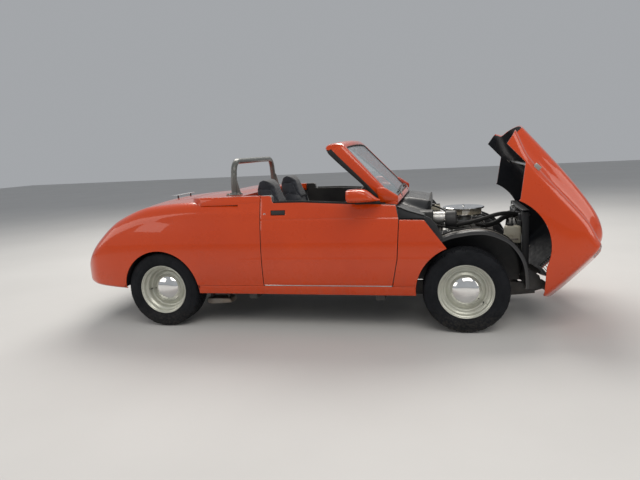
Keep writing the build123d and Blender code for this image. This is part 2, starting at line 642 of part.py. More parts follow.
def mirror_unit(side):
    """A door mirror: a rounded shell on a short foot that stands on the door's top edge."""
    rear_x, front_x = MIRROR_FOOT_XS
    root_y = side_y(door_top_z(rear_x)) - 18.0
    foot = prism("y", ((rear_x, door_top_z(rear_x) + RUN_GAP), (front_x, door_top_z(front_x) + RUN_GAP),
                       (front_x, 1060.0), (rear_x, 1060.0)), root_y - 1.0, root_y + 18.0)
    foot &= side_band(DOOR_THICKNESS, (rear_x, front_x), (1000.0, 1100.0))
    centre_x = (rear_x + front_x) / 2 - 7.0
    stalk = prism("x", ((root_y, 1030.0), (root_y + 2.0, 1062.0), (root_y + 78.0, 1080.0),
                        (root_y + 78.0, 1048.0)), rear_x + 15.0, front_x - 15.0)
    sections = []
    for out, half_x, half_z, shift in MIRROR_STATIONS:
        plane = Plane(origin=(centre_x + shift, root_y + out, MIRROR_Z), x_dir=(1, 0, 0), z_dir=(0, 1, 0))
        sections.append((plane * RectangleRounded(2 * half_x, 2 * half_z, 0.6 * half_z)).wire())
    shell = Solid.make_loft(sections)
    shell -= box((rear_x - 80.0, centre_x - 64.0), (root_y + 90.0, root_y + 203.0),
                 (MIRROR_Z - 34.0, MIRROR_Z + 34.0))
    shape = shell + stalk + foot
    return shape if side == 1 else mirrored(shape)


def front_cuts():
    """What the fixed side panels, cowl and wheels take out of the closed front."""
    gap = PANEL_GAP + 2.0
    notch = [(400.0, 0.0), (400.0, PANEL_TOP_REAR[1] + gap)]
    notch += [(x + gap, z + gap) for x, z in (PANEL_TOP_REAR, PANEL_TOP[0], PANEL_TOP[1])]
    notch += [(1020.0, 560.0), (1020.0, 0.0)]
    cuts = [prism("y", notch, -1000.0, 1000.0)]
    edge = ((400.0, 800.0), (663.0, 800.0), (663.0, 898.0), (643.0, 1000.0), (643.0, 1200.0),
            (400.0, 1200.0))
    cuts.append(prism("y", edge, -1000.0, 1000.0))
    bow = ((400.0, -735.0), (650.0, -735.0), (658.0, -620.0), (HOOD_REAR_X, -420.0), (HOOD_REAR_X, 420.0),
           (658.0, 620.0), (650.0, 735.0), (400.0, 735.0))
    cuts.append(prism("z", bow, 600.0, 1300.0))
    arch = Cylinder(FRONT_ARCH_R, 2400.0, rotation=(90, 0, 0))
    cuts.append(Pos(FRONT_AXLE_X, 0, TYRE_R) * arch)
    for side in (1, -1):
        y = side * LAMP_Y
        cuts.append(box((1500.0, 1900.0), (y - LAMP_HALF_WIDTH, y + LAMP_HALF_WIDTH),
                        (LAMP_Z - LAMP_HALF_HEIGHT, LAMP_Z + LAMP_HALF_HEIGHT)))
    cuts.append(box((1650.0, 1900.0), (-GRILLE_HALF_WIDTH, GRILLE_HALF_WIDTH),
                    (GRILLE_Z - GRILLE_HALF_HEIGHT, GRILLE_Z + GRILLE_HALF_HEIGHT)))
    return cuts


def open_front(shape):
    """Turns a piece of the closed front to where it stands open."""
    return shape.rotate(Axis((CLIP_PIVOT_X, 0, CLIP_PIVOT_Z), (0, 1, 0)), CLIP_OPEN_ANGLE)


def front_clip():
    """Hood, fenders and nose in one shell, with its hinge arms, in the open position."""
    shell = front_form() + hood_form()
    shell -= front_form(inset=SKIN, open_floor=300.0, reach=30.0)
    shell -= hood_form(inset=SKIN, reach=30.0)
    for cut in front_cuts():
        shell -= cut
    within = front_form(inset=SKIN / 2, open_floor=300.0)
    for side in (1, -1):
        y = side * CLIP_ARM_Y
        arm = prism("y", ((CLIP_PIVOT_X - 34.0, CLIP_PIVOT_Z - 10.0),
                          (CLIP_PIVOT_X - 34.0, CLIP_PIVOT_Z + 24.0),
                          (CLIP_PIVOT_X + 20.0, CLIP_PIVOT_Z + 110.0), (1760.0, 372.0), (1830.0, 372.0),
                          (1830.0, 322.0), (1740.0, 300.0), (CLIP_PIVOT_X + 34.0, CLIP_PIVOT_Z - 30.0)),
                    y - 8.0, y + 8.0)
        barrel = rod((CLIP_PIVOT_X, y - 14.0, CLIP_PIVOT_Z), (CLIP_PIVOT_X, y + 14.0, CLIP_PIVOT_Z), 34.0)
        bore = rod((CLIP_PIVOT_X, y - 30.0, CLIP_PIVOT_Z), (CLIP_PIVOT_X, y + 30.0, CLIP_PIVOT_Z),
                   CLIP_PIN_R + RUN_GAP)
        tip = arm & within
        near = arm & box((1600.0, 1770.0), (-400.0, 400.0), (200.0, 372.0))
        shell += near + tip + barrel - bore
        shell -= bore
    return open_front(shell)


def headlamps():
    """Clear lenses in the nose's corners, each with its bowl behind."""
    lens = front_form(inset=1.0) - front_form(inset=9.0, open_floor=20.0, reach=30.0)
    lamps = []
    for side in (1, -1):
        y = side * LAMP_Y
        half, rise = LAMP_HALF_WIDTH - 0.5, LAMP_HALF_HEIGHT - 0.5
        window = box((1560.0, 1900.0), (y - half, y + half), (LAMP_Z - rise, LAMP_Z + rise))
        lamps.extend((lens & window).solids())
    return open_front(Compound(lamps))


def grille():
    """Horizontal bars and two uprights in a frame, bent to the nose's curve."""
    half, rise = GRILLE_HALF_WIDTH - 0.5, GRILLE_HALF_HEIGHT - 0.5
    low, high = GRILLE_Z - rise, GRILLE_Z + rise

    def slice_of_nose(bottom, top, half_width, depth=20.0):
        """A curved bar between two heights, from one side of the opening to the other."""
        edges = []
        for back in (0.0, depth):
            ends = [(GRILLE_SIDE_X - back, -half_width, bottom), (GRILLE_CENTRE_X - back, 0, bottom),
                    (GRILLE_SIDE_X - back, half_width, bottom)]
            edges.append(ends)
        front, rear = (ThreePointArc(*ends) for ends in edges)
        sides = [Line(edges[0][2], edges[1][2]), Line(edges[1][0], edges[0][0])]
        return extrude(Face(Wire([front, sides[0], rear, sides[1]])), amount=top - bottom, dir=(0, 0, 1))

    frame = slice_of_nose(low, low + 10.0, half) + slice_of_nose(high - 10.0, high, half)
    pitch = (high - low) / (GRILLE_BARS + 1)
    for index in range(GRILLE_BARS):
        z = low + (index + 1) * pitch
        frame += slice_of_nose(z - 3.5, z + 3.5, half)
    full = slice_of_nose(low, high, half)
    for y in (-half + 6.0, -110.0, 110.0, half - 6.0):
        frame += full & box((1500.0, 1900.0), (y - 6.0, y + 6.0), (low, high))
    return open_front(frame)


def inner_fenders():
    """Rolled arches over the front wheels, with a wall towards the engine."""
    outer_r, wall = 446.0, 8.0
    centre = Pos(FRONT_AXLE_X, 548.0, TYRE_R)
    liner = centre * Cylinder(outer_r, 304.0, rotation=(90, 0, 0))
    liner -= Pos(FRONT_AXLE_X, 556.0, TYRE_R) * Cylinder(outer_r - wall, 304.0, rotation=(90, 0, 0))
    flange = Pos(FRONT_AXLE_X, 692.0, TYRE_R) * Cylinder(outer_r + 14.0, 10.0, rotation=(90, 0, 0))
    flange -= Pos(FRONT_AXLE_X, 692.0, TYRE_R) * Cylinder(outer_r - wall, 20.0, rotation=(90, 0, 0))
    liner += flange
    liner -= box((500.0, 1700.0), (300.0, 800.0), (-200.0, 330.0))
    liner -= box((FRONT_AXLE_X - 170.0, FRONT_AXLE_X + 170.0), (380.0, 420.0), (300.0, 560.0))
    liner -= box((500.0, FIREWALL_X + RUN_GAP), (300.0, 800.0), (0.0, 1000.0))
    return both_sides(liner)


def radiator():
    """A finned core between two tanks, in a black support that spans the rails."""
    x = RADIATOR_X
    core = box((x - 22.0, x + 22.0), (-270.0, 270.0), (360.0, 790.0))
    tanks = box((x - 32.0, x + 32.0), (-290.0, 290.0), (790.0, 850.0))
    tanks += box((x - 32.0, x + 32.0), (-290.0, 290.0), (320.0, 360.0))
    low = rail_top(x - 12.0) + RUN_GAP
    support = box((x - 12.0, x + 40.0), (-SUPPORT_HALF_WIDTH, SUPPORT_HALF_WIDTH), (low, 890.0))
    support -= box((x - 40.0, x + 60.0), (-289.0, 289.0), (321.0, 849.0))
    neck = Pos(x, 180.0, 860.0) * Cylinder(26.0, 40.0)
    return core + tanks + support + neck


def bank(shape):
    """Leans a piece drawn for an upright cylinder bank to the left of the vee."""
    return Pos(0, 0, CRANK_Z) * (Rot(X=-BANK_ANGLE) * shape)


def engine_block():
    """Crankcase, oil pan, cylinder banks and heads of the vee engine."""
    rear = ENGINE_FRONT_X - ENGINE_LENGTH
    front = ENGINE_FRONT_X
    case = prism("x", ((-130.0, 330.0), (130.0, 330.0), (165.0, 420.0), (110.0, 560.0), (-110.0, 560.0),
                       (-165.0, 420.0)), rear, front)
    pan = prism("x", ((-105.0, 255.0), (105.0, 255.0), (130.0, 330.0), (-130.0, 330.0)),
                rear + 20.0, front - 60.0)
    pan += prism("x", ((-100.0, 205.0), (100.0, 205.0), (105.0, 255.0), (-105.0, 255.0)),
                 rear + 20.0, rear + 185.0)
    case += pan
    cylinders = box((rear + 10.0, front - 10.0), (-78.0, 78.0), (60.0, HEAD_LOW))
    head = box((rear + 16.0, front - 16.0), (-HEAD_HALF_WIDTH, HEAD_HALF_WIDTH), (HEAD_LOW, HEAD_HIGH))
    for side in (1, -1):
        limb = bank(cylinders + head)
        case += limb if side == 1 else mirrored(limb)
    valley = prism("x", ((-150.0, 560.0), (150.0, 560.0), (120.0, 640.0), (-120.0, 640.0)),
                   rear + 20.0, front - 20.0)
    case += valley
    return case


def valve_covers():
    """Rounded covers on the two heads, with a breather and an oil cap."""
    rear = ENGINE_FRONT_X - ENGINE_LENGTH
    cover = box((rear + 30.0, ENGINE_FRONT_X - 30.0), (-60.0, 60.0), (HEAD_HIGH + RUN_GAP, HEAD_HIGH + 58.0))
    cover = fillet(cover.edges().group_by(Axis.Z)[-1], 18.0)
    cover += Pos(rear + 100.0, 0, HEAD_HIGH + 66.0) * Cylinder(20.0, 24.0)
    return both_sides(bank(cover))


def air_cleaner():
    """Intake manifold, carburettor and a round air cleaner."""
    x = ENGINE_FRONT_X - 0.5 * ENGINE_LENGTH
    base = box((x - 190.0, x + 190.0), (-88.0, 88.0), (640.0 + RUN_GAP, 700.0))
    for step in (-1.5, -0.5, 0.5, 1.5):
        runner = prism("x", ((-60.0, 660.0), (60.0, 660.0), (60.0, 735.0), (-60.0, 735.0)),
                       x + step * 95.0 - 26.0, x + step * 95.0 + 26.0)
        base += runner
    carb = box((x - 70.0, x + 70.0), (-62.0, 62.0), (735.0, 815.0))
    pan = Pos(x, 0, 823.0) * Cylinder(150.0, 16.0)
    filter_ring = Pos(x, 0, 852.0) * Cylinder(160.0, 46.0)
    lid = Pos(x, 0, 882.0) * Cylinder(178.0, 14.0)
    stud = Pos(x, 0, 897.0) * Cylinder(12.0, 20.0)
    return base + carb + pan + filter_ring + lid + stud


def engine_front():
    """Water pump, pulleys, belt, alternator and fan."""
    x = ENGINE_FRONT_X
    pump = Pos(x + 30.0 + RUN_GAP, 0, 560.0) * Cylinder(52.0, 60.0, rotation=(0, 90, 0))
    pulley = Pos(x + 76.0, 0, 560.0) * Cylinder(74.0, 34.0, rotation=(0, 90, 0))
    crank = Pos(x + 47.0, 0, CRANK_Z - 20.0) * Cylinder(80.0, 92.0, rotation=(0, 90, 0))
    alternator = Pos(x + 66.0, -205.0, 560.0) * Cylinder(64.0, 110.0, rotation=(0, 90, 0))
    bracket = box((x + 12.0, x + 40.0), (-205.0, 0.0), (535.0, 560.0))
    belt = box((x + 74.0, x + 88.0), (-68.0, -56.0), (CRANK_Z - 20.0, 560.0))
    belt += box((x + 74.0, x + 88.0), (56.0, 68.0), (CRANK_Z - 20.0, 560.0))
    fan = Pos(x + 104.0, 0, 560.0) * Cylinder(40.0, 24.0, rotation=(0, 90, 0))
    for index in range(6):
        blade = Pos(0, 0, 120.0) * (Rot(Z=28.0) * Box(6.0, 74.0, 170.0))
        fan += Pos(x + 104.0, 0, 560.0) * (Rot(X=index * 60.0) * blade)
    return pump + pulley + crank + alternator + bracket + belt + fan


def exhaust():
    """Tube headers, down-pipes, mufflers and tail pipes on both sides."""
    rear = ENGINE_FRONT_X - ENGINE_LENGTH
    slant = radians(BANK_ANGLE)
    across, up = HEAD_HALF_WIDTH + RUN_GAP, (HEAD_LOW + HEAD_HIGH) / 2
    port_y = across * cos(slant) + up * sin(slant)
    port_z = CRANK_Z - across * sin(slant) + up * cos(slant)
    log_y = 318.0
    log_z = port_z - (log_y - port_y)
    log = rod((rear + 60.0, log_y, log_z), (ENGINE_FRONT_X - 60.0, log_y, log_z), 30.0)
    for step in range(4):
        x = rear + 90.0 + step * 125.0
        log += rod((x, port_y, port_z), (x, log_y, log_z), 19.0)
    down = pipe(((rear + 70.0, log_y, log_z), (rear, log_y - 15.0, log_z - 25.0), (rear - 30.0, 262.0, 240.0),
                 (rear - 260.0, 240.0, 225.0), (200.0, 240.0, 225.0)), (36.0, 50.0, 60.0), 28.0)
    run = rod((200.0, 240.0, 225.0), (-160.0, 240.0, 225.0), 28.0)
    muffler = Pos(-400.0, 240.0, 228.0) * Cylinder(68.0, 480.0, rotation=(0, 90, 0))
    tail = pipe(((-600.0, 240.0, 225.0), (-900.0, 240.0, 225.0), (-1180.0, 250.0, 425.0),
                 (-1440.0, 250.0, 425.0), (-1590.0, 250.0, 335.0), (-2140.0, 260.0, 335.0)),
                (120.0, 120.0, 70.0, 70.0), 26.0)
    return both_sides(log + down + run + muffler + tail)


def gearbox():
    """Bell housing, gearbox, tail housing and the drive shaft to the rear axle."""
    front = ENGINE_FRONT_X - ENGINE_LENGTH - RUN_GAP
    axis_z = CRANK_Z - 40.0
    stations = ((front, 160.0), (front - 90.0, 86.0), (front - 420.0, 80.0), (front - 520.0, 56.0),
                (front - 760.0, 44.0))
    rings = []
    for x, radius in stations:
        rings.append((Plane(origin=(x, 0, axis_z), z_dir=(-1, 0, 0)) * Circle(radius)).wire())
    housing = Solid.make_loft(rings, ruled=True)
    pan = box((front - 400.0, front - 120.0), (-80.0, 80.0), (axis_z - 104.0, axis_z))
    mount_foot = box((90.0, 150.0), (-60.0, 60.0), (FRAME_MEMBERS[3][3], axis_z))
    shaft = rod((front - 740.0, 0, axis_z), (REAR_AXLE_X + 162.0, 0, AXLE_Z + 6.0), 36.0)
    return housing + pan + mount_foot + shaft


def front_suspension():
    """Lower and upper arms with their ball-joint eyes, and a spring and damper on each side."""
    x = FRONT_AXLE_X
    inboard = RAIL_Y + RAIL_HALF_WIDTH
    pieces = None
    for low, high, root in ((KNUCKLE_LOW_Z - 28.0, KNUCKLE_LOW_Z - 8.0, inboard),
                            (KNUCKLE_HIGH_Z + 8.0, KNUCKLE_HIGH_Z + 24.0, TOWER_FACE_Y)):
        tip = KINGPIN_Y + 28.0
        arm = prism("z", ((x - 130.0, root), (x + 130.0, root), (x + 32.0, tip), (x - 32.0, tip)), low, high)
        arm -= prism("z", ((x - 84.0, root + 14.0), (x + 84.0, root + 14.0), (x, root + 46.0)),
                     low - 1.0, high + 1.0)
        arm -= Pos(x, KINGPIN_Y, (low + high) / 2) * Cylinder(KINGPIN_R + RUN_GAP, high - low + 2.0)
        pieces = arm if pieces is None else pieces + arm
    tower = box((x - 135.0, x + 135.0), (TOWER_FACE_Y - 40.0, TOWER_FACE_Y),
                (RAIL_BOTTOM_Z + RAIL_HEIGHT, 545.0))
    tower += box((x - 60.0, x + 60.0), (TOWER_FACE_Y - 20.0, 505.0), (525.0, 545.0))
    strut = Pos(x, STRUT_Y, 365.0) * Cylinder(20.0, 330.0)
    for turn in range(7):
        strut += Pos(x, STRUT_Y, 232.0 + turn * 42.0) * Cylinder(46.0, 14.0)
    return both_sides(pieces + tower + strut)


def knuckle(side):
    """A steering knuckle with its pins, hub spindle, steering arm and brake caliper."""
    x, y = FRONT_AXLE_X, KINGPIN_Y
    hub_face = FRONT_WHEEL_Y + FRONT_DISC_U - 14.0
    shape = box((x - 26.0, x + 26.0), (y - 16.0, y + 14.0), (KNUCKLE_LOW_Z, KNUCKLE_HIGH_Z))
    shape += rod((x, y, KNUCKLE_LOW_Z - 30.0), (x, y, KNUCKLE_HIGH_Z + 30.0), KINGPIN_R)
    shape += rod((x, y, TYRE_R), (x, hub_face - 8.0, TYRE_R), 30.0)
    shape += rod((x, hub_face - 14.0, TYRE_R), (x, hub_face - RUN_GAP, TYRE_R), 54.0)
    shape += rod((x, hub_face - 14.0, TYRE_R), (x, hub_face + 18.0, TYRE_R), HUB_R)
    shape += box((x - 130.0, x), (y - 16.0, y + 4.0), (TYRE_R - 60.0, TYRE_R - 36.0))
    disc_low = FRONT_WHEEL_Y + BRAKE_DISC_U
    caliper = box((x + 92.0, x + 150.0), (disc_low - 22.0, disc_low + BRAKE_DISC_WIDTH + 12.0),
                  (TYRE_R - 44.0, TYRE_R + 44.0))
    caliper -= box((x + 80.0, x + 140.0), (disc_low - 3.0, disc_low + BRAKE_DISC_WIDTH + 3.0), (200.0, 500.0))
    bracket = box((x, x + 110.0), (y - 6.0, disc_low - 10.0), (TYRE_R - 26.0, TYRE_R + 26.0))
    shape += caliper + bracket
    return shape if side == 1 else mirrored(shape)


def revolved(points, x, side, y):
    """A wheel part turned about its axle from (offset outwards, radius) corners."""
    corners = [(0, side * offset, radius) for offset, radius in points]
    ring = revolve(Face(Polyline(*corners, close=True)), axis=Axis.Y)
    return Pos(x, side * y, TYRE_R) * ring


def wheel_tyre(x, side, y):
    """A road tyre: a carcass around an open bore, with rounded sidewalls and a flattened tread."""
    half, bead = TYRE_HALF_WIDTH, BEAD_R + RUN_GAP
    outer = [(half - 20.0, bead), (half - 20.0, RIM_LIP_R + 1.0), (half - 7.0, 222.0), (half, 256.0),
             (half - 5.0, 290.0), (half - 18.0, 314.0), (half - 34.0, TYRE_R - 2.0)]
    inner = [(half - 52.0, TYRE_R - 22.0), (half - 26.0, 290.0), (half - 20.0, 250.0), (half - 34.0, bead)]
    points = outer + [(-u, r) for u, r in reversed(outer)] + [(-u, r) for u, r in reversed(inner)] + inner
    points.insert(len(outer), (0.0, TYRE_R))
    return revolved(points, x, side, y)


def wheel_rim(x, side, y, disc, brake):
    """A steel wheel: rolled rim, stepped centre, domed hub cap, and the brake that turns with it."""
    half = RIM_HALF_WIDTH
    lip, bead, well = RIM_LIP_R, BEAD_R, 178.0
    points = [
        (disc + 60.0, 0.0), (disc + 58.0, 34.0), (disc + 46.0, 74.0), (disc + 24.0, CAP_R - 6.0),
        (disc + 10.0, CAP_R), (disc + 10.0, 124.0), (disc + 2.0, 140.0), (disc - 6.0, 148.0),
        (disc - 6.0, 160.0), (disc + 2.0, 169.0),
        (half - 54.0, 170.0), (half - 42.0, 188.0), (half - 12.0, 190.0), (half - 6.0, 201.0),
        (half, 202.0),
        (half, lip), (half - 7.0, lip), (half - 7.0, bead), (half - 40.0, bead), (half - 58.0, well),
        (58.0 - half, well), (40.0 - half, bead), (7.0 - half, bead), (7.0 - half, lip), (-half, lip),
        (-half, 202.0), (12.0 - half, 190.0), (42.0 - half, 188.0), (54.0 - half, 170.0),
        (disc - 14.0, 169.0), (disc - 14.0, 146.0), (disc - 4.0, 134.0), (disc - 4.0, 120.0),
    ]
    points += brake
    points += [(disc - 14.0, HUB_R + RUN_GAP), (disc + 24.0, HUB_R + RUN_GAP), (disc + 24.0, 0.0)]
    return revolved(points, x, side, y)


def front_brake():
    """The disc brake's bell and disc, as corners of the front wheel's section."""
    low, high = BRAKE_DISC_U, BRAKE_DISC_U + BRAKE_DISC_WIDTH
    return [(FRONT_DISC_U - 14.0, 84.0), (high, 84.0), (high, 134.0), (low, 134.0), (low, 70.0),
            (FRONT_DISC_U - 24.0, 70.0), (FRONT_DISC_U - 14.0, 60.0)]


def rear_brake():
    """The brake drum, as corners of the rear wheel's section."""
    return [(REAR_DISC_U - 14.0, 120.0), (REAR_DISC_U - 58.0, 126.0), (REAR_DISC_U - 58.0, 116.0),
            (REAR_DISC_U - 24.0, 112.0), (REAR_DISC_U - 24.0, 66.0), (REAR_DISC_U - 14.0, 60.0)]


def rear_axle():
    """The live axle with its differential, hub stubs and a leaf spring on each side."""
    hub_face = REAR_WHEEL_Y + REAR_DISC_U - 14.0
    x = REAR_AXLE_X
    axle = rod((x, -hub_face + 4.0, AXLE_Z), (x, hub_face - 4.0, AXLE_Z), 34.0)
    ball = Pos(x, 0, AXLE_Z) * Cylinder(118.0, 150.0, rotation=(90, 0, 0))
    axle += fillet(ball.edges(), 34.0)
    axle += rod((x + 160.0 - RUN_GAP, 0, AXLE_Z + 6.0), (x, 0, AXLE_Z + 6.0), 52.0)
    for side in (1, -1):
        axle += rod((x, side * (hub_face - 60.0), AXLE_Z), (x, side * (hub_face - 66.0), AXLE_Z), 108.0)
        axle += rod((x, side * (hub_face - 12.0), AXLE_Z), (x, side * (hub_face - RUN_GAP), AXLE_Z), 54.0)
        axle += rod((x, side * (hub_face - 12.0), AXLE_Z), (x, side * (hub_face + 18.0), AXLE_Z), HUB_R)
        low, high = sorted((side * 430.0, side * 486.0))
        for leaf, reach in enumerate((640.0, 430.0, 250.0)):
            drop = 8.0 * leaf
            sag = 70.0 * (reach / 640.0) ** 2
            z = AXLE_Z - 50.0 - drop
            arcs = [ThreePointArc((x - reach, low, z + sag), (x, low, z), (x + reach, low, z + sag)),
                    Line((x + reach, low, z + sag), (x + reach, low, z + sag - 8.0)),
                    ThreePointArc((x + reach, low, z + sag - 8.0), (x, low, z - 8.0),
                                  (x - reach, low, z + sag - 8.0)),
                    Line((x - reach, low, z + sag - 8.0), (x - reach, low, z + sag))]
            axle += extrude(Face(Wire(arcs)), amount=high - low, dir=(0, 1, 0))
        axle += box((x - 55.0, x + 55.0), (low - 4.0, high + 4.0), (AXLE_Z - 84.0, AXLE_Z - 20.0))
        for end in (-1, 1):
            near = x + end * 632.0
            low_z, high_z = (338.0, 400.0) if end < 0 else (285.0, 356.0)
            inner, outer = sorted((side * (RAIL_Y + RAIL_HALF_WIDTH), side * 486.0))
            axle += box((near - 14.0, near + 14.0), (inner, outer), (low_z, high_z))
    return axle


def fuel_tank():
    """A flat tank between the rails behind the axle, with a filler neck and two straps."""
    tank = box((-2000.0, -1700.0), (-215.0, 215.0), (340.0, TRUNK_FLOOR_Z - RUN_GAP))
    tank = fillet(tank.edges().filter_by(Axis.Y), 30.0)
    for y in (-120.0, 120.0):
        tank += box((-2005.0, -1695.0), (y - 16.0, y + 16.0), (335.0, 420.0))
    return tank


def dashboard():
    """A padded dashboard with a hood over the instruments and a centre stack."""
    profile = ((470.0, 800.0), (440.0, 870.0), (452.0, 962.0), (500.0, 984.0), (585.0, 972.0),
               (595.0, 898.0), (640.0, 898.0), (640.0, 820.0))
    dash = prism("y", profile, -690.0, 690.0)
    hood = prism("y", ((440.0, 930.0), (410.0, 1004.0), (440.0, 1014.0), (560.0, 990.0), (560.0, 930.0)),
                 STEER_Y - 190.0, STEER_Y + 190.0)
    stack = prism("y", ((470.0, 840.0), (560.0, 840.0), (560.0, TUNNEL_Z + RUN_GAP),
                        (430.0, TUNNEL_Z + RUN_GAP)), -110.0, 110.0)
    brace = box((600.0, FIREWALL_X - FLOOR_THICKNESS), (-690.0, 690.0), (830.0, 880.0))
    return dash + hood + stack + brace


def steering_column():
    """The column tube from the firewall up to the steering wheel, with a shroud."""
    wall_x = FIREWALL_X - FLOOR_THICKNESS - RUN_GAP
    end = (wall_x + 30.0 - STEER_X) / cos(radians(COLUMN_RAKE))
    tube = rod(column_point(BOSS_DEPTH + RUN_GAP), column_point(end), 26.0)
    tube -= box((wall_x, wall_x + 100.0), (STEER_Y - 100.0, STEER_Y + 100.0), (300.0, 900.0))
    shroud = rod(column_point(60.0), column_point(210.0), 40.0)
    return tube + shroud


def column_point(distance):
    """A point on the steering axis, a distance ahead of the wheel's centre."""
    rake = radians(COLUMN_RAKE)
    return (STEER_X + distance * cos(rake), STEER_Y, STEER_Z - distance * sin(rake))


def steering_wheel():
    """A three-spoke wheel with a padded rim and a round boss."""
    rim = Torus(STEER_R, 14.0)
    boss = Pos(0, 0, 18.0 - BOSS_DEPTH) * Cylinder(40.0, 36.0)
    wheel = rim + boss
    for angle in (90.0, 210.0, 330.0):
        spoke = Rot(Z=angle) * (Pos(STEER_R / 2 + 8.0, 0, -8.0) * Box(STEER_R - 24.0, 26.0, 8.0))
        wheel += spoke
    rake = radians(COLUMN_RAKE)
    place = Plane(origin=(STEER_X, STEER_Y, STEER_Z), x_dir=(0, -1, 0), z_dir=(-cos(rake), 0, sin(rake)))
    return place * wheel


def seat(side):
    """A high-backed bucket seat as one soft solid, from the floor to its headrest."""
    low = FLOOR_Z + FLOOR_THICKNESS + RUN_GAP
    y = side * SEAT_Y
    outline = ((-470.0, low), (-80.0, low), (-30.0, 470.0), (-20.0, 520.0), (-60.0, 540.0), (-330.0, 500.0),
               (-352.0, 560.0), (-462.0, 1030.0), (-496.0, 1215.0), (-540.0, 1236.0), (-588.0, 1205.0),
               (-572.0, 1010.0), (-500.0, 560.0))
    body = prism("y", outline, y - 215.0, y + 215.0)
    shoulder_cut = prism("x", ((140.0, 1000.0), (215.0, 880.0), (300.0, 860.0), (300.0, 1300.0),
                               (115.0, 1300.0)), -700.0, 0.0)
    body -= Pos(0, y, 0) * shoulder_cut
    body -= Pos(0, y, 0) * mirrored(shoulder_cut)
    return body


def roll_hoop():
    """A single bent hoop behind the seats, on gusseted feet that stand on the deck."""
    half, top = HOOP_HALF_WIDTH, HOOP_TOP_Z - HOOP_TUBE_R
    foot = DECK_TOP_Z + 8.0
    tube = pipe(((HOOP_X, -half, foot), (HOOP_X, -half + 20.0, top), (HOOP_X, half - 20.0, top),
                 (HOOP_X, half, foot)), (110.0, 110.0), HOOP_TUBE_R)
    for side in (1, -1):
        y = side * half
        tube += box((HOOP_X - 60.0, HOOP_X + 60.0), (y - 42.0, y + 42.0), (DECK_TOP_Z, foot))
        tube += prism("y", ((HOOP_X, foot), (HOOP_X + 56.0, foot), (HOOP_X + 20.0, foot + 90.0),
                            (HOOP_X, foot + 90.0)), y - 4.0, y + 4.0)
    return tube


def lamp_rods(radius):
    """The round holes, or the lamps, in the tail."""
    rods = []
    for side in (1, -1):
        for y in TAIL_LAMP_YS:
            rods.append(rod((-2230.0, side * y, TAIL_LAMP_Z), (-2040.0, side * y, TAIL_LAMP_Z), radius))
    return rods


def tail_lamps():
    """Four round lamps let flush into the tail."""
    lens = rear_form(inset=1.0) - rear_form(inset=34.0, open_floor=400.0)
    lamps = []
    for piece in lamp_rods(TAIL_LAMP_R):
        lamps.extend((lens & piece).solids())
    return Compound(lamps)


def clip_brace():
    """The tube brace across the inside of the tilting front, with a pad at each end."""
    x, z = BRACE_X, BRACE_Z
    reach = side_y(z) - SKIN - 1.0
    tube = rod((x, -reach, z), (x, reach, z), 11.0)
    for side in (1, -1):
        low, high = sorted((side * (reach - 26.0), side * reach))
        tube += box((x - 24.0, x + 24.0), (low, high), (z - 16.0, z + 16.0))
    tube &= front_form(inset=SKIN + RUN_GAP, open_floor=300.0, reach=30.0)
    return open_front(tube)


def coolant_tank():
    """A pale expansion tank with its cap and the bracket that holds it to the radiator support."""
    x = RADIATOR_X
    tank = box((x - 170.0, x - 40.0), (-372.0, -292.0), (640.0, 800.0))
    tank = fillet(tank.edges(), 18.0)
    cap = Pos(x - 105.0, -332.0, 806.0) * Cylinder(26.0, 24.0)
    bracket = box((x - 60.0, x - 12.0), (-360.0, -304.0), (690.0, 700.0))
    return tank + cap + bracket


def brake_booster():
    """The brake servo on the firewall, with its master cylinder and reservoir."""
    x, y, z = FIREWALL_X, STEER_Y + 90.0, 785.0
    servo = Pos(x + 60.0, y, z) * Cylinder(106.0, 60.0, rotation=(0, 90, 0))
    servo = fillet(servo.edges(), 16.0)
    neck = Pos(x + 15.0, y, z) * Cylinder(60.0, 30.0, rotation=(0, 90, 0))
    cylinder = Pos(x + 150.0, y, z) * Cylinder(24.0, 130.0, rotation=(0, 90, 0))
    reservoir = box((x + 110.0, x + 205.0), (y - 32.0, y + 32.0), (z + 18.0, z + 78.0))
    return servo + neck + cylinder + reservoir


